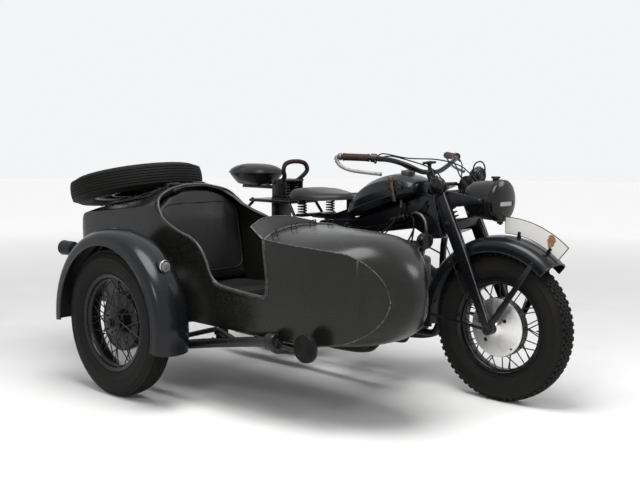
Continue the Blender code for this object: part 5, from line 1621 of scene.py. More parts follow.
@dataclass
class Tank:
    """The fuel tank: pressed halves with a hard shoulder, its filler cap and the hand-change's gate and lever.

    Attributes:
        half: Half its width.
        stations: Its sections, from rear to front.
    """

    half: float = 0.128
    stations: tuple[tuple[float, ...], ...] = (
        # x, underside z, side z, top z, half width as a share
        (0.530, 0.766, 0.784, 0.808, 0.45),
        (0.580, 0.774, 0.824, 0.868, 0.80),
        (0.660, 0.796, 0.866, 0.940, 0.98),
        (0.760, 0.830, 0.900, 0.980, 1.00),
        (0.860, 0.862, 0.920, 0.990, 0.96),
        (0.950, 0.890, 0.930, 0.966, 0.80),
        (0.970, 0.898, 0.926, 0.945, 0.62),
    )

    def shell(self) -> Object:
        """The tank's pressed shell.

        Returns:
            The shape, in the machine's frame.
        """
        rings = []
        for x, low, side, high, share in blended_rows(list(self.stations), 5):
            half = self.half * share
            right = [(0.044, low), (half * 0.80, low + 0.004), (half, low + (side - low) * 0.45), (half, side),
                     (half * 0.86, side + (high - side) * 0.60), (half * 0.50, side + (high - side) * 0.92),
                     (0.010, high)]
            rings.append([(x, -y, z) for y, z in right] + [(x, y, z) for y, z in reversed(right)])
        return beveled(skin(rings), 0.008, 4, 14)

    def build(self) -> None:
        """Makes the tank's pieces."""
        seam = [(x, -self.half * share - 0.001, low + (side - low) * 0.45)
                for x, low, side, _, share in self.stations[:-1]]
        welt = both_sides([sweep(smooth_path(seam, 5), 0.0022, 2)])
        cap = lathe([(0, 0.974), (0.034, 0.974), (0.034, 0.992), (0.0335, 0.999), (0.030, 1.005), (0.012, 1.006),
                     (0, 1.006)], 40, "Z")
        fit("tank_shell", joined([self.shell(), welt]), "frame", BODY_BLACK, ("fuel_tank",), 30)
        lever = strap((-0.010, 0, 1.0068), (0.026, 0, 1.0068), (0, 1, 0), (0.005, 0.007), 0.0018)
        fit("tank_cap", shifted(joined([cap, lever]), 0.860, 0, 0), "frame", WORN_TRIM_AND_CREASE_HIGHLIGHT)
        gate = beveled(plate([(0.836, 0.916), (0.916, 0.916), (0.918, 0.944), (0.900, 0.956), (0.848, 0.956),
                              (0.836, 0.942)], 0.0025, -0.121), 0.001, 1)
        bolts = [nut((x, -0.1235, 0.926), (0, -1, 0), 0.007, 0.004, 0.002) for x in (0.850, 0.902)]
        fit("gear_gate", joined([gate, *bolts]), "frame", FRAME_BLACK)
        stick = strap((0.884, -0.1285, 0.862), (0.861, -0.1285, 0.964), (1, 0, 0.2), (0.008, 0.007), 0.0030)
        grip = rod((0.862, -0.1285, 0.956), (0.857, -0.1285, 0.978), 0.0105, 20, 0.0125, 0.004)
        fit("gear_stick", joined([stick, grip]), "frame", RUSTED_STEEL)


# ---------------------------------------------------------------- front end


@dataclass
class GirderFork:
    """The girder fork with its spring, brake cover and axle.

    Attributes:
        top: The upper end of a leg's middle line, as x and z.
        foot: Its lower end.
        depths: Pairs of a share of the leg's length and its depth there.
        half: Half the blade's thickness.
        boss_y: How far out the axle's boss reaches.
        holes: The holes in the brake's cover.
    """

    top: Pair = (1.100, 0.955)
    foot: Pair = (1.393, 0.3304)
    depths: tuple[Pair, ...] = ((0.0, 0.044), (0.06, 0.060), (0.25, 0.064), (0.45, 0.066), (0.80, 0.048),
                                (1.0, 0.040))
    half: float = 0.015
    boss_y: float = 0.117
    holes: tuple[tuple[float, ...], ...] = (
        # x and z from the axle, radius, the plug's y
        (0.050, 0.036, 0.0085, -0.0650),
        (-0.046, -0.056, 0.0095, -0.0630),
        (0.078, -0.084, 0.0050, -0.0540),
        (-0.070, 0.050, 0.0060, -0.0600),
    )

    def edge(self, share: float, depth: float, side: float) -> Vector:
        """A point on the leg at a share of its length and a distance ahead of its middle.

        Args:
            share: How far down the leg, from 0 to 1.
            depth: How far ahead of its middle.
            side: 1 for the left leg, -1 for the right.

        Returns:
            The point.
        """
        start, end = Vector((self.top[0], 0, self.top[1])), Vector((self.foot[0], 0, self.foot[1]))
        along = (end - start).normalized()
        ahead = Vector((-along.z, 0, along.x))
        return start.lerp(end, share) + ahead * depth + Vector((0, side * FORK_HALF, 0))

    def leg(self) -> Object:
        """The right leg, a deep oval blade.

        Returns:
            The shape, in the machine's frame.
        """
        rings = []
        for share, depth in blended_rows(list(self.depths), 4):
            ring = []
            for k in range(20):
                deep, thin = rounded(math.tau * k / 20, 0.62)
                ring.append(tuple(self.edge(share, deep * depth / 2, -1) + Vector((0, thin * self.half, 0))))
            rings.append(ring)
        return beveled(skin(rings), 0.0015, 2, 50)

    def yoke(self, along: float) -> Object:
        """A link plate across the fork.

        Args:
            along: Where it lies along the steering axis.

        Returns:
            The plate.
        """
        reach = FORK_HALF - 0.008
        points = [(-0.026, -0.026), (-0.026, 0.026), (0.040, reach), (0.072, reach), (0.072, -reach),
                  (0.040, -reach)]
        rings = [[tuple(head_point(along + lift, forward, side)) for forward, side in points]
                 for lift in (0.0, 0.018)]
        return beveled(skin(rings), 0.005, 3)

    def damper(self) -> Object:
        """A friction damper's discs with the domed cover and its hand nut.

        Returns:
            The shape, in the machine's frame.
        """
        profile = [(0, 0.105), (0.038, 0.105), (0.0415, 0.107), (0.042, 0.112), (0.0385, 0.1135), (0.0385, 0.1155),
                   (0.042, 0.117), (0.042, 0.122), (0.0395, 0.1265), (0.034, 0.1300), (0.024, 0.1330),
                   (0.013, 0.1345), (0.012, 0.1375), (0.008, 0.1385), (0, 0.1385)]
        return shifted(lathe(profile, 40), 1.120, 0, 0.943)

    def spring(self) -> Object:
        """The central coil spring in its cups.

        Returns:
            The shape, in the machine's frame.
        """
        low, high, turns = -0.1862, 0.0112, 9
        wire = []
        for k in range(turns * 14 + 1):
            turn = math.tau * k / 14
            along = low + 0.012 + (high - low - 0.024) * k / (turns * 14)
            wire.append(head_point(along, 0.056 + 0.0135 * math.cos(turn), 0.0135 * math.sin(turn)))
        cups = [rod(head_point(a, 0.056), head_point(b, 0.056), 0.0172, 24)
                for a, b in ((low, low + 0.015), (high - 0.015, high))]
        return joined([sweep(wire, 0.0034, 2), *cups])

    def build(self) -> None:
        """Makes the fork's pieces."""
        # The bead down each leg's front edge is a painted highlight: a light stripe standing in for the sheen on
        # the leg's rounded corner.
        seam = [tuple(self.edge(share, depth * 0.43, -1) + Vector((0, -0.0118, 0)))
                for share, depth in blended_rows(list(self.depths), 3)]
        parts = both_sides([self.leg()])
        side_bits = [
            rod((WHEELBASE, -0.094, AXLE_Z), (WHEELBASE, -self.boss_y, AXLE_Z), 0.024, 32, edge=0.003),
            nut((WHEELBASE, -0.1280, AXLE_Z), (0, -1, 0), 0.0165, 0.008, 0.004),
            nut((1.116, -0.113, 0.910), (0, -1, 0), 0.017, 0.009, 0.005),
            nut((1.180, -0.113, 0.778), (0, -1, 0), 0.014, 0.007, 0.004),
            rod((1.186, -0.094, 0.600), (1.186, -0.1155, 0.600), 0.0101, 16),
        ]
        side_bits = [both_sides([bit]) for bit in side_bits]
        across = [
            block((1.174, -FORK_HALF, 0.757), (1.208, FORK_HALF, 0.799), 0.008, 3),
            rod((1.116, -0.128, 0.910), (1.116, 0.128, 0.910), 0.012, 20),
            rod((WHEELBASE, -0.132, AXLE_Z), (WHEELBASE, 0.132, AXLE_Z), 0.0105, 20),
            rod(head_point(-0.197), head_point(0.0225), 0.0155, 24),
            self.yoke(0.0115),
            self.yoke(-0.2045),
        ]
        fit("fork_legs", joined([parts, *side_bits, *across]), "fork", FRAME_BLACK, ("fork",), 38)
        # Painted highlights down the legs' front edges.
        fit("fork_painted_highlights", both_sides([sweep(seam, 0.0036, 3)]), "fork", PAINTED_LEG_HIGHLIGHT)
        fit("fork_dampers", both_sides([self.damper()]), "fork", GLOSS_BLACK)
        fit("fork_coil", self.spring(), "fork", FRAME_BLACK, ("fork_spring",))
        self.brake_cover()

    def brake_cover(self) -> None:
        """The front drum's dished cover with its plugged holes and cable arm."""
        profile = [(0.0110, -0.0452), (0.1290, -0.0452), (0.1302, -0.0470), (0.1290, -0.0492), (0.1240, -0.0512),
                   (0.1080, -0.0560), (0.0840, -0.0620), (0.0600, -0.0665), (0.0380, -0.0720), (0.0300, -0.0752),
                   (0.0260, -0.0790), (0.0220, -0.0824), (0.0110, -0.0824), (0.0110, -0.0452)]
        cover = shifted(lathe(profile, 72), WHEELBASE, 0, AXLE_Z)
        holes = []
        for x, z, radius, _ in self.holes:
            holes.append(rod((WHEELBASE + x, -0.12, AXLE_Z + z), (WHEELBASE + x, -0.047, AXLE_Z + z), radius, 20))
        cover = cut(cover, *holes)
        fit("front_brake_cover", cover, "fork", WORN_ALLOY, ("front_brake_plate",))
        plugs = [rod((WHEELBASE + x, -0.047, AXLE_Z + z), (WHEELBASE + x, y, AXLE_Z + z), radius + 0.0006, 20)
                 for x, z, radius, y in self.holes]
        fit("front_brake_plugs", joined(plugs), "fork", DARK_RUBBER)
        arm = strap((WHEELBASE - 0.075, -0.0640, AXLE_Z + 0.020), (WHEELBASE - 0.085, -0.0655, AXLE_Z + 0.088),
                    (1, 0, 0.1), (0.009, 0.006), 0.0025)
        pivot = nut((WHEELBASE - 0.075, -0.0630, AXLE_Z + 0.020), (0, -1, 0), 0.009, 0.006, 0.002)
        fit("front_brake_arm", joined([arm, pivot]), "fork", DULL_STEEL)


@dataclass
class Controls:
    """The handlebar with its grips, levers, steering-damper knob and cables.

    Attributes:
        tip: The right grip's outer end.
        inward: The way from there towards the middle.
    """

    tip: Vector = field(default_factory=lambda: Vector((0.790, -0.402, 1.072)))
    inward: Vector = field(default_factory=lambda: Vector((0.805, 0.592, -0.031)).normalized())

    def half_path(self) -> list[Vector]:
        """The bar's right half, from the clamp outwards.

        Returns:
            The points, in the machine's frame.
        """
        near = [Vector(p) for p in ((0.995, 0.0, 1.000), (0.992, -0.070, 1.004), (0.985, -0.150, 1.030),
                                    (0.958, -0.240, 1.056))]
        return near + [self.tip + self.inward * reach for reach in (0.152, 0.136, 0.0)]

    def build(self) -> None:
        """Makes the controls."""
        half = self.half_path()
        whole = [Vector((p.x, -p.y, p.z)) for p in reversed(half[1:])] + half
        bar = sweep(smooth_path(whole, 6), 0.0115, 4)
        clamp = rod(head_point(0.030, 0.006), head_point(0.114, 0.006), 0.020, 28, edge=0.004)
        bolts = [nut(head_point(along, 0.024, side), tuple(head_point(0, 1) - HEAD), 0.0075, 0.005)
                 for along in (0.075, 0.100) for side in (-0.012, 0.012)]
        ahead = Vector((0.45, -0.12, -0.88)).normalized()
        housing = rod(self.tip + self.inward * 0.136, self.tip + self.inward * 0.166, 0.0195, 28, edge=0.003)
        stud = rod(self.tip + self.inward * 0.150, self.tip + self.inward * 0.150 + Vector((0.02, -0.01, -0.022)),
                   0.006, 12)
        fit("handlebar_tube", joined([bar, clamp, *bolts, both_sides([housing, stud])]), "fork", FRAME_BLACK,
            ("handlebar",), 36)
        knob = lathe([(0, 0), (0.009, 0), (0.009, 0.034), (0.014, 0.037), (0.031, 0.038), (0.0325, 0.0405),
                      (0.0325, 0.0465), (0.031, 0.049), (0.026, 0.0475), (0.012, 0.0485), (0.010, 0.052),
                      (0, 0.053)], 40, "Z")
        fit("damper_knob", aimed(knob, (0.989, 0, 1.000), (0.985, 0, 1.036)), "fork", GLOSS_BLACK)
        blade = [(0.012, 0.0), (-0.014, 0.0), (-0.022, 0.018), (-0.008, 0.048), (0.030, 0.066), (0.090, 0.074),
                 (0.160, 0.080)]
        path = smooth_path([self.tip + self.inward * along + ahead * down for along, down in blade], 6)
        rings = []
        for before, here, after in zip(path[4:], path[5:], [*path[6:], path[-1] + self.inward * 0.01]):
            along = (after - before).normalized()
            wide = (ahead - along * ahead.dot(along)).normalized()
            thin = along.cross(wide)
            turns = [math.tau * k / 12 for k in range(12)]
            rings.append([tuple(here + wide * 0.0085 * math.cos(turn) + thin * 0.0034 * math.sin(turn))
                          for turn in turns])
        lever = [skin(rings), rod(path[-1] - self.inward * 0.004, path[-1] + self.inward * 0.006, 0.0086, 16,
                                  edge=0.003)]
        ball = lathe([(0, -0.002), (0.012, 0), (0.0165, 0.006), (0.0165, 0.013), (0.012, 0.020), (0.006, 0.0235),
                      (0, 0.024)], 28, "Z")
        lever.append(aimed(ball, self.tip + self.inward * 0.010, self.tip - self.inward * 0.02))
        fit("control_levers", both_sides(lever), "fork", DULL_STEEL)
        for node_name, side in (("grip_right", 1), ("grip_left", -1)):
            profile = [(0.0127, 0.0), (0.0175, 0.0), (0.0182, 0.003), (0.0172, 0.007)]
            for k in range(11):
                profile += [(0.0165, 0.0105 + 0.009 * k), (0.0157, 0.0125 + 0.009 * k),
                            (0.0165, 0.0145 + 0.009 * k)]
            profile += [(0.0172, 0.113), (0.0182, 0.117), (0.0172, 0.120), (0.0127, 0.120), (0.0127, 0.0)]
            flip = Vector((1, side, 1))
            start = self.tip + self.inward * 0.012
            grip = aimed(lathe(profile, 28, "Z"), start * flip, (start + self.inward) * flip)
            fit(f"{node_name}_ribbed", grip, "fork", GRIP_BROWN, (node_name,), 28)
        self.cables()

    def cables(self) -> None:
        """The control cables from the bar down to the head, with their clips."""
        joint = self.tip + self.inward * 0.168
        runs = [
            [joint, (0.950, -0.236, 1.075), (0.990, -0.140, 1.052), (1.040, -0.066, 1.022), (1.085, -0.052, 0.985),
             (1.112, -0.050, 0.930)],
            [joint + Vector((0, 0, -0.012)), (0.965, -0.226, 1.046), (1.010, -0.150, 1.008), (1.060, -0.080, 0.990),
             (1.096, -0.064, 0.960), (1.122, -0.060, 0.880)],
            [joint + Vector((0, 0, 0.010)), (0.930, -0.262, 1.086), (0.985, -0.160, 1.066), (1.060, -0.040, 1.060),
             (1.130, 0.030, 1.035), (1.190, 0.040, 0.995), (1.235, 0.030, 0.965)],
            [(0.985, 0.150, 1.042), (1.040, 0.100, 1.050), (1.100, 0.050, 1.030), (1.150, 0.010, 0.990),
             (1.200, -0.010, 0.950), (1.240, -0.020, 0.930)],
            [(0.965, 0.228, 1.066), (1.020, 0.170, 1.064), (1.090, 0.110, 1.040), (1.125, 0.060, 0.990),
             (1.135, 0.055, 0.900)],
        ]
        made = [sweep(smooth_path(run, 6), 0.0030, 3) for run in runs]
        brake = [(1.122, -0.060, 0.880), (1.112, -0.088, 0.840), (1.128, -0.117, 0.780), (1.205, -0.117, 0.620),
                 (1.262, -0.117, 0.500), (1.292, -0.108, 0.450), (1.306, -0.085, 0.430), (1.318, -0.0700, 0.419)]
        made.append(sweep(smooth_path(brake, 6), 0.0028, 3))
        for x, z in ((1.165, 0.702), (1.233, 0.560)):
            made.append(block((x - 0.007, -0.1215, z - 0.009), (x + 0.007, -0.1125, z + 0.009), 0.002))
        loop = [(1.150, 0.110, 1.000), (1.172, 0.098, 1.040), (1.208, 0.092, 1.052), (1.232, 0.088, 1.030),
                (1.236, 0.082, 0.990), (1.240, 0.070, 0.955)]
        made.append(sweep(smooth_path(loop, 6), 0.0034, 3))
        fit("control_cables", joined(made), "fork", DARK_RUBBER)


@dataclass
class Headlamp:
    """The drum headlamp with its blackout cover, ears, switch and the horn.

    Attributes:
        front: Where the lamp's rim lies.
        high: Its middle's height.
    """

    front: float = 1.395
    high: float = 0.885

    def build(self) -> None:
        """Makes the lamp's pieces."""
        shell = lathe([(0, -0.170), (0.057, -0.170), (0.068, -0.167), (0.0795, -0.150), (0.0840, -0.130),
                       (0.0885, -0.060), (0.0900, -0.026), (0, -0.026)], 64, "X")
        ears = []
        for side in (-1, 1):
            rings = []
            for x, tall in ((1.136, 0.037), (1.190, 0.034), (1.250, 0.026), (1.320, 0.013), (1.345, 0.011)):
                y = side * 0.091
                rings.append([(x, y - 0.0065, self.high - tall), (x, y + 0.0065, self.high - tall),
                              (x, y + 0.0065, self.high + tall), (x, y - 0.0065, self.high + tall)])
            ears.append(beveled(skin(rings), 0.003, 3))
            ears.append(nut((1.332, side * 0.0975, self.high), (0, side, 0), 0.010, 0.006, 0.003))
        fit("headlamp_shell", joined([shifted(shell, self.front, 0, self.high), *ears]), "fork", FRAME_BLACK,
            ("headlamp",), 36)
        cover = lathe([(0.0895, -0.030), (0.0935, -0.030), (0.0945, -0.027), (0.0945, -0.018), (0.0930, -0.016),
                       (0.0930, -0.004), (0.0915, 0.000), (0.0850, 0.0045), (0.060, 0.0100), (0.030, 0.0140),
                       (0, 0.0155), (0, 0.0120), (0.060, 0.0060), (0.0880, -0.004), (0.0895, -0.030)], 72, "X")
        slit = block((self.front - 0.012, -0.046, self.high - 0.022),
                     (self.front + 0.030, 0.058, self.high - 0.003), 0.003, 2)
        cover = cut(shifted(cover, self.front, 0, self.high), slit)
        switch = lathe([(0, 0.085), (0.014, 0.085), (0.014, 0.096), (0.0205, 0.098), (0.0205, 0.104),
                        (0.018, 0.1065), (0, 0.107)], 32, "Z")
        clip = block((self.front - 0.030, -0.009, self.high - 0.102),
                     (self.front - 0.006, 0.009, self.high - 0.092), 0.003)
        screw = nut((self.front - 0.016, 0, self.high - 0.100), (0, 0, -1), 0.007, 0.006)
        parts = [cover, shifted(switch, self.front - 0.045, 0, self.high), clip, screw]
        fit("headlamp_cover", joined(parts), "fork", GLOSS_BLACK)
        glass = skin([[(self.front + x, y, self.high + z)
                       for y, z in ((-0.050, -0.025), (0.062, -0.025), (0.062, 0.0), (-0.050, 0.0))]
                      for x in (-0.004, 0.0035)])
        fit("headlamp_slit", glass, "fork", SLIT_GLASS)
        horn = lathe([(0, 0.004), (0.012, 0.004), (0.030, 0.0), (0.040, -0.004), (0.0435, -0.010), (0.0435, -0.016),
                      (0.040, -0.022), (0.034, -0.038), (0.022, -0.052), (0.010, -0.056), (0, -0.0565)], 40, "X")
        ribs = [lathe([(r - 0.0015, 0.001), (r, 0.0045), (r + 0.0015, 0.001)], 40, "X")
                for r in (0.012, 0.020, 0.028, 0.036)]
        stay = sweep(smooth_path([(1.140, 0.158, 0.985), (1.130, 0.152, 0.970), (1.122, 0.140, 0.946)], 5), 0.008,
                     3)
        parts = [shifted(item, 1.165, 0.158, 0.985) for item in (horn, *ribs)]
        fit("horn_dome", joined([*parts, stay]), "fork", GLOSS_BLACK, ("horn",))


@dataclass
class NumberPlate:
    """The blank curved plate on the front mudguard: white, with a black border, brackets and a flaked patch.

    Attributes:
        low: Its lower edge's radius about the front axle.
        high: Its upper edge's radius.
        start: Where it starts, in degrees above forward.
        end: Where it ends.
        half: Half its thickness.
    """

    low: float = 0.413
    high: float = 0.487
    start: float = 50.0
    end: float = 90.0
    half: float = 0.0022

    def arc(self, inset: float, half: float, rows: int = 28) -> Object:
        """The plate's shape, drawn in by an inset.

        Args:
            inset: How far it is drawn in.
            half: Half its thickness.
            rows: How many rows it is made of.

        Returns:
            The plate.
        """
        rings, middle = [], (self.low + self.high) / 2
        for k in range(rows + 1):
            turn = self.start + (self.end - self.start) * k / rows
            turn += math.degrees(inset / middle) * (1 - 2 * k / rows)
            points = [on_wheel(radius, math.radians(turn), WHEELBASE)
                      for radius in (self.low + inset, self.high - inset)]
            (x0, z0), (x1, z1) = points
            rings.append([(x0, -half, z0), (x0, half, z0), (x1, half, z1), (x1, -half, z1)])
        return skin(rings)

    def patch(self) -> Object:
        """The flaked patch on both faces, with a ragged outline.

        Returns:
            The shape, in the machine's frame.
        """
        outline = ((60.0, 0.484), (61.6, 0.481), (62.6, 0.470), (61.9, 0.462), (62.4, 0.452), (61.2, 0.441),
                   (60.2, 0.430), (58.8, 0.424), (57.6, 0.428), (58.0, 0.439), (57.1, 0.447), (57.9, 0.458),
                   (57.4, 0.468), (58.6, 0.478))
        points = [on_wheel(radius, math.radians(turn), WHEELBASE) for turn, radius in outline]
        return plate(points, self.half + 0.0008)

    def build(self) -> None:
        """Makes the plate's pieces."""
        fit("plate_border", beveled(self.arc(0.0, self.half), 0.0008, 1), "fork", PLATE_BLACK)
        fit("plate_blank", self.arc(0.0030, self.half + 0.0004), "fork", PLATE_WHITE, ("front_plate",))
        fit("plate_flaked_patch", self.patch(), "fork", RUST_PATCH)
        feet = []
        for turn in (80, 58):
            angle = math.radians(turn)
            low_x, low_z = on_wheel(0.404, angle, WHEELBASE)
            high_x, high_z = on_wheel(0.432, angle, WHEELBASE)
            across = (-math.sin(angle), 0, math.cos(angle))
            feet.append(strap((low_x, -0.0042, low_z), (high_x, -0.0042, high_z), across, (0.008, 0.007), 0.0018))
            feet.append(strap((low_x, 0.0042, low_z), (high_x, 0.0042, high_z), across, (0.008, 0.007), 0.0018))
            mid_x, mid_z = on_wheel(0.426, angle, WHEELBASE)
            feet += [nut((mid_x, side * 0.006, mid_z), (0, side, 0), 0.0058, 0.003, 0.0015) for side in (-1, 1)]
        fit("plate_brackets", joined(feet), "fork", FRAME_BLACK)


# ---------------------------------------------------------------- seats, frame and engine


def coil(centre: Place, low: float, high: float, radius: float, wire: float, turns: int) -> Object:
    """An upright coil spring.

    Args:
        centre: Its middle, of which the height is left unused.
        low: Its foot's height.
        high: Its top's height.
        radius: The coil's radius.
        wire: The wire's radius.
        turns: How many turns it has.

    Returns:
        The spring.
    """
    steps = turns * 12
    points = []
    for k in range(steps + 1):
        turn = math.tau * k / 12
        points.append((centre[0] + radius * math.cos(turn), centre[1] + radius * math.sin(turn),
                       low + (high - low) * k / steps))
    return sweep(points, wire, 2)


@dataclass
class Seats:
    """The sprung saddle and the pillion pad on its carrier.

    Attributes:
        pillion_x: The pillion pad's middle.
        pillion_power: How square the pad is: 1 would be an ellipse.
        saddle: The saddle's sections, from rear to front.
    """

    pillion_x: float = -0.200
    pillion_power: float = 0.7
    saddle: tuple[tuple[float, ...], ...] = (
        # x, half width, edge z, top z
        (0.185, 0.090, 0.874, 0.888),
        (0.215, 0.150, 0.862, 0.900),
        (0.290, 0.168, 0.850, 0.897),
        (0.390, 0.140, 0.846, 0.885),
        (0.470, 0.075, 0.850, 0.882),
        (0.540, 0.042, 0.856, 0.886),
        (0.565, 0.020, 0.864, 0.880),
    )

    def saddle_shell(self) -> Object:
        """The saddle's leather shell with its rolled edge and rivets.

        Returns:
            The shape, in the machine's frame.
        """
        rows = blended_rows(list(self.saddle), 5)
        rings = []
        for x, half, low, top in rows:
            side = [(-half, low), (-half, low + 0.010), (-half * 0.95, low + (top - low) * 0.55),
                    (-half * 0.80, top - 0.006),
                    (-half * 0.50, top - 0.001), (-half * 0.20, top), (0, top)]
            rings.append([(x, y, z) for y, z in side] + [(x, -y, z) for y, z in reversed(side[:-1])])
        shell = faced(skin(rings, loop=False, caps=False), (0.35, 0, 0.80))
        modify(shell, "SOLIDIFY", thickness=0.0045, offset=-1)
        rim = [ring[0] for ring in rings] + [ring[-1] for ring in reversed(rings)]
        edge = sweep(rim, 0.0036, 2, closed=True)
        rivets = []
        for y in (-0.075, -0.045, -0.015, 0.015, 0.045, 0.075):
            rivets.append(shifted(lathe([(0, 0.004), (0.003, 0.0035), (0.0062, 0.0012), (0.0066, -0.002),
                                         (0, -0.002)], 14, "Z"), 0.200, y, 0.8945 - abs(y) * 0.03))
        return joined([shell, edge, *rivets])

    def springs(self) -> Object:
        """The saddle's coil springs, cross bar and arm.

        Returns:
            The shape, in the machine's frame.
        """
        parts = [block((0.236, -0.130, 0.755), (0.284, 0.130, 0.770), 0.004)]
        parts += [coil((0.260, side * 0.105, 0), 0.771, 0.852, 0.022, 0.0038, 6) for side in (-1, 1)]
        parts += [rod((0.260, side * 0.105, 0.849), (0.260, side * 0.105, 0.862), 0.027, 24) for side in (-1, 1)]
        arm = [(0.240, 0.745), (0.400, 0.7435), (0.520, 0.7600), (0.520, 0.800), (0.500, 0.864), (0.480, 0.864),
               (0.480, 0.800), (0.400, 0.775), (0.240, 0.770)]
        parts.append(beveled(plate(arm, 0.014), 0.003, 2))
        return joined(parts)

    def pillion(self) -> Object:
        """The pillion pad's solid, before it is swelled.

        Returns:
            The shape, in the machine's frame.
        """
        rings = []
        for z, inset in ((0.9005, 0.052), (0.905, 0.043), (0.925, 0.027), (0.950, 0.008), (0.964, 0.000),
                         (0.970, -0.001), (0.978, 0.002), (0.990, 0.013), (1.002, 0.036), (1.010, 0.062),
                         (1.014, 0.092)):
            ring = []
            for k in range(40):
                round_x, round_y = rounded(math.tau * k / 40, self.pillion_power)
                ring.append((self.pillion_x + (0.150 - inset) * round_x, (0.122 - inset) * round_y, z))
            rings.append(ring)
        return skin(rings)

    def welt(self) -> Object:
        """The pillion pad's seam welt.

        Returns:
            The shape, in the machine's frame.
        """
        ring = []
        for k in range(48):
            round_x, round_y = rounded(math.tau * k / 48, self.pillion_power)
            ring.append((self.pillion_x + 0.1495 * round_x, 0.1215 * round_y, 0.9680))
        return sweep(ring, 0.0030, 2, closed=True)

    def carrier(self) -> Object:
        """The carrier with the pillion's spring box and arms.

        Returns:
            The shape, in the machine's frame.
        """
        parts = [block((-0.140, -0.110, 0.815), (0.170, 0.110, 0.831), 0.006, 3),
                 block((-0.030, -0.050, 0.731), (0.030, 0.050, 0.820), 0.008)]
        for side in (-1, 1):
            leg = [(-0.110, side * 0.100, 0.823), (-0.135, side * 0.125, 0.740), (-0.060, side * 0.150, 0.420),
                   (-0.004, side * 0.1535, AXLE_Z)]
            parts.append(sweep(smooth_path(leg, 6), 0.008, 3))
            parts.append(rod((0, side * 0.1383, AXLE_Z), (0, side * 0.156, AXLE_Z), 0.020, 28, edge=0.002))
            parts.append(rod((0.160, side * 0.100, 0.818), (0.268, side * 0.118, 0.672), 0.008, 16))
            parts.append(block((-0.006, side * 0.062 - 0.004, 0.830), (0.098, side * 0.062 + 0.004, 0.938), 0.003))
            parts.append(strap((-0.262, side * 0.036, 0.8915), (0.052, side * 0.036, 0.8915), (0, 1, 0),
                               (0.012, 0.012), 0.0075))
            parts += [coil((x, side * 0.034, 0), 0.838, 0.926, 0.0185, 0.0036, 6) for x in (0.022, 0.070)]
            parts += [nut((x, side * 0.066, z), (0, side, 0), 0.008, 0.005, 0.002) for x in (0.014, 0.078)
                      for z in (0.848, 0.920)]
            parts += [nut((x, side * 0.095, 0.8305), (0, 0, 1), 0.008, 0.005, 0.002) for x in (-0.125, 0.155)]
        parts.append(block((-0.010, -0.068, 0.926), (0.102, 0.068, 0.939), 0.004))
        parts.append(block((-0.010, -0.068, 0.828), (0.102, 0.068, 0.838), 0.003))
        return joined(parts)

    def build(self) -> None:
        """Makes the seats' pieces."""
        fit("saddle_leather", self.saddle_shell(), "frame", SADDLE_LEATHER, ("saddle",), 50)
        fit("saddle_coils", self.springs(), "frame", FRAME_BLACK, ("saddle_springs",))
        pad = puffed(self.pillion(), 0.0055, 0.002, 3.0, 0.005)
        fit("pillion_pad", pad, "frame", SADDLE_LEATHER, ("pillion_seat",), 60)
        fit("pillion_welt", self.welt(), "frame", SADDLE_LEATHER)
        fit("carrier_rack", self.carrier(), "frame", FRAME_BLACK, ("carrier",))
        right = [(0.050, -0.050, 0.920), (0.090, -0.066, 0.952), (0.105, -0.088, 0.985), (0.105, -0.074, 1.018),
                 (0.105, -0.030, 1.031)]
        path = smooth_path([*right, *[(x, -y, z) for x, y, z in reversed(right)]], 8)
        wraps = [sweep(path, 0.0110, 3)]
        for k in range(3, len(path) - 3, 2):
            along = (path[k + 1] - path[k - 1]).normalized()
            wraps.append(rod(path[k] - along * 0.0028, path[k] + along * 0.0028, 0.0122, 16, edge=0.0012))
        fit("pillion_hoop", joined(wraps), "frame", GRIP_BROWN_DARK)


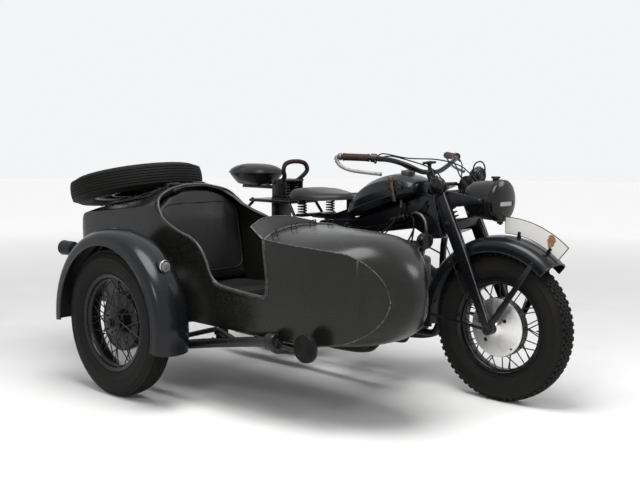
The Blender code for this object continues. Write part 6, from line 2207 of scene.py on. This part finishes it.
@dataclass
class Chassis:
    """The motorcycle's frame and the sidecar's tubes, axle, struts and step.

    Attributes:
        cradle_half: How far out the cradle tubes lie.
        lug_half: How far out they lie at the rear axle.
        low: The cradle's height under the engine.
        tube: The cradle tube's radius.
        inner_y: Where the sidecar's inner tube lies.
        outer_y: Where its outer tube lies.
        step_x: The step's place along the machine.
        step_z: Its height.
        rail_z: The inner tube's height.
    """

    cradle_half: float = 0.115
    lug_half: float = 0.122
    low: float = 0.215
    tube: float = 0.016
    inner_y: float = -0.450
    outer_y: float = -0.985
    step_x: float = 1.157
    step_z: float = 0.345
    rail_z: float = 0.300

    def backbone(self) -> Object:
        """The pressed backbone with the steering head's tube and rings.

        Returns:
            The shape, in the machine's frame.
        """
        outline = [(1.046, 0.905), (0.960, 0.900), (0.800, 0.848), (0.560, 0.765), (0.405, 0.752), (0.310, 0.735),
                   (0.310, 0.685), (0.620, 0.690), (0.800, 0.715), (0.930, 0.735), (1.020, 0.692), (1.090, 0.700)]
        beam = beveled(plate(outline, 0.040), 0.014, 4)
        head = rod(head_point(-0.185), head_point(0.010), 0.027, 32, edge=0.002)
        rings = [rod(head_point(a), head_point(a + 0.014), 0.0295, 32, edge=0.002) for a in (-0.183, -0.006)]
        press = [(0.420, 0.715), (0.620, 0.720), (0.800, 0.752), (0.930, 0.790), (1.000, 0.775)]
        ribs = both_sides([sweep(smooth_path([(x, -0.0395, z) for x, z in press], 5), 0.0035, 3)])
        return joined([beam, head, *rings, ribs])

    def cradle(self, side: int) -> Object:
        """One cradle tube with its rear stay and axle lug.

        Args:
            side: 1 for the left side, -1 for the right.

        Returns:
            The shape, in the machine's frame.
        """
        run = [(1.045, 0.052, 0.712), (1.012, 0.085, 0.640), (0.985, self.cradle_half, 0.520),
               (0.978, self.cradle_half, 0.330), (0.955, self.cradle_half, 0.235),
               (0.900, self.cradle_half, self.low), (0.680, self.cradle_half, self.low),
               (0.450, self.cradle_half, self.low), (0.300, self.lug_half, 0.238), (0.000, self.lug_half, AXLE_Z)]
        stay = [(0.010, self.lug_half, AXLE_Z), (0.180, self.lug_half, 0.560), (0.300, 0.095, 0.690),
                (0.355, 0.030, 0.712)]
        parts = [sweep(smooth_path([(x, side * y, z) for x, y, z in run], 6), self.tube, 4),
                 sweep(smooth_path([(x, side * y, z) for x, y, z in stay], 6), 0.0128, 4),
                 rod((0, side * 0.106, AXLE_Z), (0, side * 0.138, AXLE_Z), 0.030, 32, edge=0.003)]
        return joined(parts)

    def sidecar(self) -> Object:
        """The sidecar's tubes, axle, struts, lugs and stays.

        Returns:
            The shape, in the machine's frame.
        """
        x0, rail = SIDECAR_LEAD, self.rail_z
        front = [(0.952, -0.131, 0.268), (0.965, -0.300, 0.296), (0.985, -0.480, 0.302), (0.972, -0.930, 0.304),
                 (0.962, self.outer_y, 0.335)]
        rear = [(x0, -0.174, AXLE_Z - 0.035), (x0, -0.600, AXLE_Z - 0.035), (x0, -0.955, AXLE_Z - 0.035),
                (x0, -1.000, AXLE_Z - 0.012), (x0, -1.027, AXLE_Z)]
        outer = [(x0, self.outer_y, AXLE_Z - 0.020), (0.200, -0.990, 0.252), (0.300, -0.990, 0.231),
                 (0.600, -0.988, 0.283), (0.965, self.outer_y, 0.344)]
        bracket = [(0.320, -0.987, 0.245), (0.360, self.outer_y, 0.270), (0.600, self.outer_y, 0.340),
                   (0.636, self.outer_y, 0.343), (0.750, self.outer_y, 0.310)]
        guard_y = -TRACK + GUARD_HALF + 0.0083
        parts = [sweep(smooth_path(path, 5), radius, 4)
                 for path, radius in ((front, 0.019), (rear, 0.021), (outer, 0.021), (bracket, 0.011))]
        parts.append(rod((x0, self.inner_y, rail), (0.985, self.inner_y, rail), 0.017, 24))
        collar = lathe([(0, 0.0), (0.020, 0.0), (0.030, 0.003), (0.034, 0.008), (0.034, 0.042), (0.031, 0.048),
                        (0.022, 0.0505), (0, 0.0505)], 36, "X")
        parts.append(shifted(collar, 0.935, self.outer_y, 0.343))
        parts += [nut((0.9855, self.outer_y, 0.343), (1, 0, 0), 0.015, 0.007, 0.003),
                  rod((x0, -1.017, AXLE_Z), (x0, -1.199, AXLE_Z), 0.0105, 20)]
        parts.append(rod((x0, -1.053, AXLE_Z), (x0, -1.021, AXLE_Z), 0.026, 32, edge=0.003))
        parts += [nut((x0, -1.188, AXLE_Z), (0, -1, 0), 0.0185, 0.010, 0.003)]
        for degrees in (50, 130):
            x, z = on_wheel(0.385, math.radians(degrees), x0)
            parts.append(strap((x0, guard_y, AXLE_Z), (x, guard_y, z), (1, 0, 0), (0.010, 0.007), 0.0030))
            parts.append(nut((x, guard_y + 0.003, z), (0, 1, 0), 0.008, 0.005, 0.002))
        parts.append(rod((0.420, guard_y, 0.256), (0.420, self.outer_y, 0.252), 0.009, 16))
        parts.append(rod((0.420, guard_y, 0.250), (0.470, guard_y, 0.320), 0.009, 16))
        for foot, top in (((0.984, -0.456, 0.295), (1.016, -0.088, 0.655)),
                          ((0.421, -0.456, 0.295), (0.400, -0.056, 0.712))):
            way = (Vector(top) - Vector(foot)).normalized()
            parts.append(rod(foot, top, 0.0135, 24))
            parts.append(rod(tuple(Vector(foot) + way * 0.15), tuple(Vector(foot) + way * 0.19), 0.019, 6,
                             edge=0.002))
            parts.append(rod(tuple(Vector(top) - way * 0.03), tuple(Vector(top) + way * 0.004), 0.019, 24,
                             edge=0.004))
        parts.append(rod((x0, -0.182, AXLE_Z - 0.034), (x0, -0.152, AXLE_Z - 0.036), 0.026, 24, edge=0.003))
        for x, y, top in ((0.250, self.inner_y, 0.343), (0.800, self.inner_y, 0.340), (0.618, -0.955, 0.342)):
            parts.append(block((x - 0.020, y - 0.020, rail), (x + 0.020, y + 0.020, top), 0.004))
        parts.append(block((0.600, self.outer_y, 0.318), (0.636, -0.940, 0.330), 0.003))
        parts += [nut((x, -1.0055, z), (0, -1, 0), 0.0085, 0.005, 0.003)
                  for x, z in ((0.330, 0.243), (0.618, 0.305), (0.720, 0.312))]
        arm = [(self.step_x, -0.994, self.step_z), (1.150, -0.966, 0.330), (1.080, -0.962, 0.318),
               (0.975, -0.968, 0.325)]
        parts.append(sweep(smooth_path(arm, 6), 0.010, 3))
        parts.append(shifted(lathe([(0, 0.0), (0.052, 0.0), (0.0575, -0.003), (0.0575, -0.010), (0.053, -0.012),
                                    (0, -0.012)], 44), self.step_x, -0.986, self.step_z))
        return joined(parts)

    def build(self) -> None:
        """Makes the frame's pieces."""
        fit("backbone_pressing", self.backbone(), "frame", BODY_BLACK, ("backbone",), 40)
        for name, side in (("cradle_left", 1), ("cradle_right", -1)):
            fit(f"{name}_tube", self.cradle(side), "frame", FRAME_BLACK, (name,))
        fit("sidecar_tubes", self.sidecar(), "frame", FRAME_BLACK, ("sidecar_chassis",))
        profile = [(0, -0.0205)]
        for k in range(8):
            radius = 0.006 + 0.0062 * k
            profile += [(radius, -0.0205), (radius + 0.0010, -0.0185), (radius + 0.0030, -0.0185),
                        (radius + 0.0040, -0.0205)]
        pad = lathe([*profile, (0.0545, -0.0205), (0.0560, -0.0180), (0.0560, -0.0110), (0, -0.0110)], 44)
        fit("step_pad", shifted(pad, self.step_x, -0.9875, self.step_z), "frame", DARK_RUBBER)
        bar = rod((0.655, -0.250, 0.2415), (0.655, 0.250, 0.2415), 0.0135, 24)
        ribs = [(0, 0.160), (0.019, 0.160), (0.0205, 0.163)]
        for k in range(8):
            ribs += [(0.0200, 0.166 + 0.011 * k), (0.0182, 0.168 + 0.011 * k), (0.0182, 0.173 + 0.011 * k),
                     (0.0200, 0.175 + 0.011 * k)]
        ribs += [(0.0225, 0.255), (0.0225, 0.2595), (0.019, 0.262), (0, 0.262)]
        pad = both_sides([shifted(lathe([(r, -y) for r, y in ribs], 28), 0.655, 0, 0.2415)])
        fit("footrest_rubbers", joined([bar, pad]), "frame", DARK_RUBBER, ("footrests",))


@dataclass
class Engine:
    """The flat twin with its gearbox, cylinders, exhausts, air filter and final drive.

    Attributes:
        crank: The crankshaft's place, as x and z.
    """

    crank: Pair = (0.860, 0.435)

    def cylinder(self, side: int) -> Object:
        """A finned cylinder with its head, rocker cover, pushrod tubes and plug.

        Args:
            side: 1 for the left side, -1 for the right.

        Returns:
            The shape, in the machine's frame.
        """
        profile = [(0, 0.0945), (0.070, 0.0945), (0.070, 0.100), (0.058, 0.101)]
        for k in range(8):
            y = 0.108 + 0.0165 * k
            wide = 0.0835 if k < 6 else 0.0800
            profile += [(0.058, y), (wide, y + 0.0006), (wide, y + 0.0026), (0.058, y + 0.0034)]
        profile += [(0.060, 0.242), (0.0775, 0.244), (0.0790, 0.248), (0.0790, 0.268), (0.0770, 0.272),
                    (0.068, 0.274), (0.068, 0.290), (0.066, 0.322), (0.058, 0.336), (0.040, 0.3425), (0.012, 0.345),
                    (0, 0.345)]
        barrel = lathe([(r, side * y) for r, y in profile], 48)
        parts = [shifted(barrel, self.crank[0], 0, self.crank[1])]
        for lean in (-0.024, 0.024):
            x, z = self.crank[0] + lean, self.crank[1] + 0.064
            parts.append(rod((x, side * 0.092, z - 0.004), (x, side * 0.262, z + 0.002), 0.0078, 16))
        for k in range(8):
            turn = math.tau * (k + 0.5) / 8
            x, z = self.crank[0] + 0.062 * math.cos(turn), self.crank[1] + 0.062 * math.sin(turn)
            parts.append(nut((x, side * 0.280, z), (0, side, 0), 0.0075, 0.006, 0.003))
        parts.append(nut((self.crank[0], side * 0.344, self.crank[1]), (0, side, 0), 0.013, 0.008, 0.004))
        return joined(parts)

    def plug(self, side: int) -> Object:
        """A spark plug's cap with its lead.

        Args:
            side: 1 for the left side, -1 for the right.

        Returns:
            The shape, in the machine's frame.
        """
        x, y, z = self.crank[0] + 0.030, side * 0.258, self.crank[1] + 0.074
        cap = rod((x, y, z), (x + 0.014, y, z + 0.044), 0.009, 16, 0.0065)
        lead = [(x + 0.013, y, z + 0.042), (x + 0.016, y * 0.92, z + 0.070), (x - 0.010, y * 0.66, z + 0.110),
                (x - 0.030, y * 0.35, z + 0.140)]
        return joined([cap, sweep(smooth_path(lead, 6), 0.0042, 3)])

    def exhaust(self, side: int) -> Object:
        """An exhaust pipe with its clamp and silencer.

        Args:
            side: 1 for the left side, -1 for the right.

        Returns:
            The shape, in the machine's frame.
        """
        x, z = self.crank
        path = [(x + 0.050, side * 0.255, z - 0.060), (x + 0.056, side * 0.268, 0.330),
                (x + 0.048, side * 0.264, 0.255), (x + 0.010, side * 0.252, 0.200),
                (x - 0.080, side * 0.235, 0.170), (0.600, side * 0.225, 0.160), (0.420, side * 0.213, 0.167)]
        pipe = sweep(smooth_path(path, 6), 0.020, 4)
        flange = rod((x + 0.050, side * 0.256, z - 0.066), (x + 0.052, side * 0.260, z - 0.084), 0.029, 28,
                     edge=0.003)
        silencer = lathe([(0, -0.200), (0.018, -0.200), (0.0195, -0.196), (0.0225, -0.125), (0.034, -0.090),
                          (0.0425, -0.066), (0.0445, -0.055), (0.0440, 0.365), (0.0420, 0.380), (0.030, 0.412),
                          (0.0235, 0.430), (0.0235, 0.445), (0, 0.445)], 44, "X")
        bands = [lathe([(0.0430, a), (0.0462, a + 0.001), (0.0462, a + 0.015), (0.0430, a + 0.016), (0.0430, a)],
                       44, "X") for a in (-0.030, 0.330)]
        hanger = block((0.150, min(side * 0.120, side * 0.212), 0.196),
                       (0.170, max(side * 0.120, side * 0.212), 0.202), 0.001)
        riser = block((0.150, side * 0.122 - 0.004, 0.196), (0.170, side * 0.122 + 0.004, 0.262), 0.001)
        return joined([pipe, flange, *[shifted(item, 0, side * 0.212, 0.170) for item in (silencer, *bands)],
                       hanger, riser])

    def intake(self) -> Object:
        """The air filter's drum with the intake arms and carburettors.

        Returns:
            The shape, in the machine's frame.
        """
        drum = lathe([(0, -0.075), (0.047, -0.075), (0.050, -0.072), (0.050, -0.060), (0.046, -0.058),
                      (0.046, 0.058), (0.050, 0.060), (0.050, 0.072), (0.047, 0.075), (0, 0.075)], 40)
        parts = [shifted(drum, 0.700, 0, 0.622), block((0.670, -0.030, 0.560), (0.730, 0.030, 0.600), 0.004)]
        for side in (-1, 1):
            arm = [(0.700, side * 0.060, 0.622), (0.715, side * 0.140, 0.610), (0.770, side * 0.205, 0.560),
                   (0.850, side * 0.232, 0.500)]
            parts.append(sweep(smooth_path(arm, 6), 0.017, 4))
            parts.append(rod((0.722, side * 0.165, 0.522), (0.722, side * 0.165, 0.562), 0.0265, 28, edge=0.004))
            parts.append(rod((0.722, side * 0.165, 0.560), (0.722, side * 0.165, 0.632), 0.0200, 28, edge=0.003))
            parts.append(rod((0.722, side * 0.165, 0.630), (0.722, side * 0.165, 0.642), 0.0225, 6, edge=0.001))
        return joined(parts)

    def drive(self) -> Object:
        """The shaft drive with its bevel box and the rear axle.

        Returns:
            The shape, in the machine's frame.
        """
        profile = [(0, -0.058), (0.085, -0.058), (0.0915, -0.062), (0.0915, -0.078), (0.082, -0.088),
                   (0.060, -0.098), (0.034, -0.1035), (0.030, -0.1055), (0, -0.1055)]
        box = shifted(lathe(profile, 56), 0, 0, AXLE_Z)
        bolts = []
        for k in range(8):
            turn = math.tau * (k + 0.5) / 8
            bolts.append(nut((0.083 * math.cos(turn), -0.0790, AXLE_Z + 0.083 * math.sin(turn)), (0, -1, 0), 0.0075,
                             0.005, 0.002))
        shaft = rod((0.040, -0.086, AXLE_Z), (0.466, -0.086, 0.360), 0.020, 28)
        joint = rod((0.380, -0.086, 0.3545), (0.452, -0.086, 0.3592), 0.031, 28, edge=0.008)
        axle = rod((0, -0.172, AXLE_Z), (0, 0.172, AXLE_Z), 0.0105, 20)
        ends = both_sides([nut((0, -0.157, AXLE_Z), (0, -1, 0), 0.0170, 0.009, 0.0)])
        return joined([box, *bolts, shaft, joint, axle, ends])

    def trim(self) -> Object:
        """Bolts, covers and the kick-starter on the crankcase and gearbox.

        Returns:
            The shape, in the machine's frame.
        """
        x, z = self.crank
        parts = []
        for k in range(9):
            turn = math.tau * k / 9
            parts.append(nut((0.974, 0.062 * math.cos(turn), z + 0.010 + 0.062 * math.sin(turn)), (1, 0, 0), 0.0075,
                             0.005, 0.002))
        for side in (-1, 1):
            for px, pz in ((0.500, 0.300), (0.500, 0.520), (0.700, 0.300), (0.700, 0.520), (0.600, 0.545),
                           (0.600, 0.280)):
                parts.append(nut((px, side * 0.0915, pz), (0, side, 0), 0.0085, 0.006, 0.002))
            parts.append(rod((0.600, side * 0.0900, 0.430), (0.600, side * 0.0965, 0.430), 0.055, 40, edge=0.003))
        parts.append(sweep(smooth_path([(0.560, 0.119, 0.360), (0.560, 0.135, 0.372), (0.500, 0.142, 0.430),
                                        (0.420, 0.145, 0.475)], 6), 0.008, 3))
        parts.append(rod((0.420, 0.140, 0.475), (0.418, 0.215, 0.477), 0.0125, 20, edge=0.003))
        return joined(parts)

    def plumbing(self) -> None:
        """Makes the small things beside the backbone: a second horn, the coil, taps, hoses and wires."""
        centre, way = Vector((1.045, -0.105, 0.690)), Vector((0.68, -0.72, 0.06)).normalized()
        can = lathe([(0, -0.036), (0.024, -0.036), (0.030, -0.030), (0.031, -0.006), (0.037, -0.004),
                     (0.0385, 0.000), (0.0385, 0.006), (0.036, 0.009), (0.031, 0.0085), (0.024, 0.0120),
                     (0.012, 0.0150), (0, 0.0155)], 44, "Z")
        coil_can = rod((0.815, -0.062, 0.768), (0.900, -0.062, 0.792), 0.019, 28, edge=0.003)
        neck = rod((0.900, -0.062, 0.792), (0.918, -0.062, 0.797), 0.008, 20)
        fit("side_horn", joined([aimed(can, centre, centre + way), coil_can, neck]), "frame", GLOSS_BLACK)
        pipe = smooth_path([(0.930, -0.056, 0.800), (0.955, -0.066, 0.812), (0.990, -0.070, 0.806),
                            (1.018, -0.072, 0.782), (1.030, -0.074, 0.750), (1.032, -0.072, 0.715)], 6)
        taps = [rod((x, y, 0.866), (x, y, 0.832), 0.0065, 12) for x, y in ((0.870, -0.062), (0.870, 0.062))]
        taps += [rod((x, y, 0.850), (x + 0.022, y, 0.850), 0.0050, 12)
                 for x, y in ((0.868, -0.062), (0.868, 0.062))]
        fit("horn_conduit", joined([sweep(pipe, 0.0085, 4), *taps]), "frame", DULL_STEEL)
        fuel = [(0.870, 0.062, 0.834), (0.868, 0.075, 0.800), (0.830, 0.100, 0.740), (0.780, 0.140, 0.690),
                (0.735, 0.162, 0.640)]
        runs = [
            *[[(x, side * y, z) for x, y, z in fuel] for side in (-1, 1)],
            [(0.918, -0.062, 0.797), (0.950, -0.070, 0.785), (0.960, -0.080, 0.730), (0.930, -0.060, 0.660),
             (0.900, -0.040, 0.615)],
            [(1.010, -0.046, 0.870), (0.980, -0.052, 0.830), (0.930, -0.060, 0.815), (0.860, -0.058, 0.790),
             (0.780, -0.050, 0.745), (0.690, -0.046, 0.700)],
            [(1.015, -0.046, 0.850), (0.975, -0.056, 0.800), (0.900, -0.052, 0.760), (0.820, -0.060, 0.735),
             (0.760, -0.055, 0.690), (0.740, -0.050, 0.640)],
        ]
        hoses = [sweep(smooth_path(run, 6), radius, 3)
                 for run, radius in zip(runs, (0.0048, 0.0048, 0.0040, 0.0034, 0.0034))]
        fit("hoses_and_wires", joined(hoses), "frame", DARK_RUBBER)

    def build(self) -> None:
        """Makes the engine's pieces."""
        self.plumbing()
        for node_name in ("crankcase", "gearbox"):
            fit(f"{node_name}_casting", cad_shape(node_name), "frame", ENGINE_CAST, (node_name,),
                50)
        for word, side in (("left", 1), ("right", -1)):
            fit(f"cylinder_{word}_fins", self.cylinder(side), "frame", ENGINE_CAST, (f"cylinder_{word}",))
            fit(f"plug_lead_{word}", self.plug(side), "frame", DARK_RUBBER)
            fit(f"exhaust_{word}_pipe", self.exhaust(side), "frame", HEATED_PIPE, (f"exhaust_{word}",))
        fit("intake_filter", self.intake(), "frame", ENGINE_CAST, ("air_filter",))
        fit("shaft_drive", self.drive(), "frame", FRAME_BLACK, ("final_drive",))
        fit("engine_fastenings", self.trim(), "frame", DULL_STEEL)
        for node_name, reach, centre in (("rear_brake_plate", 0.1057, (0, 0, AXLE_Z)),
                                         ("sidecar_brake_plate", 0.0837, (SIDECAR_LEAD, -TRACK, AXLE_Z))):
            profile = [(0.0110, 0.0452), (0.129, 0.0452), (0.1302, 0.0470), (0.1285, 0.0500), (0.118, 0.0535),
                       (0.060, 0.0642), (0.034, 0.0720),
                       (0.026, min(0.0780, reach - 0.004)), (0.022, reach), (0.0110, reach), (0.0110, 0.0452)]
            cover = shifted(lathe(profile, 64), *centre)
            arm = strap((centre[0] + 0.075, centre[1] + 0.064, AXLE_Z + 0.020),
                        (centre[0] + 0.088, centre[1] + 0.065, AXLE_Z + 0.085), (1, 0, 0), (0.009, 0.006), 0.0025)
            fit(f"{node_name}_dish", joined([cover, arm]), "frame", FRAME_BLACK, (node_name,))


@dataclass(frozen=True)
class Studio:
    """The plain studio: pale floor and air, soft lamps, and the camera of the photograph's view.

    Attributes:
        eye: Where the camera stands, in the machine's frame.
        azimuth: Its direction round the machine, in degrees.
        elevation: How far it looks down, in degrees.
        roll: Its tilt, in degrees.
        lens: Its focal length in millimetres on a 36 mm sensor.
        room: How far the floor reaches, in metres.
        air_light: How strongly the air lights what is matt.
        air_shown: How bright it is to the camera and in what shines.
        far_glow: How much the far floor glows, so that it runs into the air.
    """

    eye: Place = (3.713, -3.617, 1.150)
    azimuth: float = 43.45
    elevation: float = 5.97
    roll: float = 0.32
    lens: float = 54.281
    room: float = 24.0
    air_light: float = 0.42
    air_shown: float = 0.93
    far_glow: float = 0.58

    def camera(self) -> None:
        """Adds the camera at the photograph's viewing angle."""
        turn, up = math.radians(self.azimuth), math.radians(self.elevation)
        back = Vector((math.sin(turn) * math.cos(up), -math.cos(turn) * math.cos(up), math.sin(up)))
        right = Vector((math.cos(turn), math.sin(turn), 0))
        top = back.cross(right)
        lean = math.radians(self.roll)
        axis_x = right * math.cos(lean) + top * math.sin(lean)
        axis_y = top * math.cos(lean) - right * math.sin(lean)
        bpy.ops.object.camera_add(location=Vector(self.eye) + ORIGIN)
        camera = bpy.context.object
        camera.rotation_euler = Matrix((axis_x, axis_y, back)).transposed().to_euler()
        camera.data.lens = self.lens
        camera.data.sensor_width = 36.0
        camera.data.clip_end = 60.0
        bpy.context.scene.camera = camera

    def ground(self) -> None:
        """Adds the plain floor."""
        bpy.ops.mesh.primitive_circle_add(vertices=96, radius=self.room, fill_type="NGON", location=(0, 0, 0))
        floor = bpy.context.object
        floor.name = "studio_floor"
        board = Board("studio_pale")
        pale = board.blend(board.span(board.noise(3.0, 5), 0.3, 0.7), (0.86, 0.855, 0.845), (0.90, 0.895, 0.885))
        board.feed(board.shader.inputs["Base Color"], pale)
        board.shader.inputs["Roughness"].default_value = 0.75
        reach = board.tree.nodes.new("ShaderNodeVectorMath")
        reach.operation = "LENGTH"
        board.feed(reach.inputs[0], board.place)
        ray = board.tree.nodes.new("ShaderNodeLightPath").outputs
        seen = board.sum("ADD", board.sum("ADD", ray["Is Camera Ray"], ray["Is Glossy Ray"]),
                         ray["Is Transmission Ray"])
        board.feed(board.shader.inputs["Emission Color"], pale)
        board.feed(board.shader.inputs["Emission Strength"],
                   board.sum("MULTIPLY", seen, board.span(reach.outputs["Value"], 1.8, 8.0, 0.0, self.far_glow)))
        floor.data.materials.append(board.material)

    def air(self) -> None:
        """Adds the pale air, which lights less than it shows."""
        world = bpy.data.worlds.new("studio_air")
        world.use_nodes = True
        nodes, links = world.node_tree.nodes, world.node_tree.links
        ray = nodes.new("ShaderNodeLightPath").outputs
        seen = ray["Is Camera Ray"]
        for other in ("Is Glossy Ray", "Is Transmission Ray"):
            both = nodes.new("ShaderNodeMath")
            both.operation = "ADD"
            links.new(seen, both.inputs[0])
            links.new(ray[other], both.inputs[1])
            seen = both.outputs["Value"]
        level = nodes.new("ShaderNodeMapRange")
        level.inputs["To Min"].default_value = self.air_light
        level.inputs["To Max"].default_value = self.air_shown
        links.new(seen, level.inputs["Value"])
        links.new(level.outputs["Result"], nodes["Background"].inputs["Strength"])
        nodes["Background"].inputs["Color"].default_value = (0.97, 0.98, 1.0, 1)
        bpy.context.scene.world = world
        bpy.context.scene.view_settings.view_transform = "Standard"

    def lamps(self) -> None:
        """Adds three soft lamps."""
        for name, place, aim, size, watts in (
            ("top_lamp", (0.7, -0.9, 3.6), (0.0, -0.2, 0.3), 2.4, 130),
            ("window_lamp", (3.0, 2.6, 2.6), (0.3, -0.2, 0.4), 1.4, 30),
            ("near_lamp", (2.3, -3.9, 2.9), (0.2, -0.3, 0.4), 1.0, 34),
        ):
            bpy.ops.object.light_add(type="AREA", location=place)
            lamp = bpy.context.object
            lamp.name = name
            lamp.data.shape = "DISK"
            lamp.data.size = size
            lamp.data.energy = watts
            lamp.rotation_euler = (Vector(place) - Vector(aim)).to_track_quat("Z", "Y").to_euler()

    def build(self) -> None:
        """Sets up the whole studio."""
        self.camera()
        self.ground()
        self.air()
        self.lamps()


def main() -> None:
    """Builds every sub-assembly."""
    logging.basicConfig(level=logging.INFO, format="%(name)s %(message)s")
    Studio().build()
    fit("spare_mount_smooth", cad_shape("spare_mount"), "boot_lid", FRAME_BLACK, ("spare_mount",))
    flip = Matrix.Rotation(math.pi, 4, "Z")
    spare = Matrix.Rotation(-LID_SLOPE, 4, "Y") @ Matrix.Rotation(QUARTER, 4, "X")
    for prefix, body, turn, centre in (
        ("front", "front_wheel", Matrix.Identity(4), (WHEELBASE, 0.0, AXLE_Z)),
        ("rear", "rear_wheel", flip, (0.0, 0.0, AXLE_Z)),
        ("sidecar", "sidecar_wheel", flip, (SIDECAR_LEAD, -TRACK, AXLE_Z)),
        ("spare", "boot_lid", spare, (-0.330, TUB_Y - 0.010, 0.915)),
    ):
        SpokedWheel(prefix, body, turn, centre, ribbed=prefix in ("sidecar", "spare")).build()
    build_guards()
    SidecarBody().build()
    Tank().build()
    GirderFork().build()
    Controls().build()
    Headlamp().build()
    NumberPlate().build()
    Seats().build()
    Chassis().build()
    Engine().build()


if __name__ == "__main__":
    main()
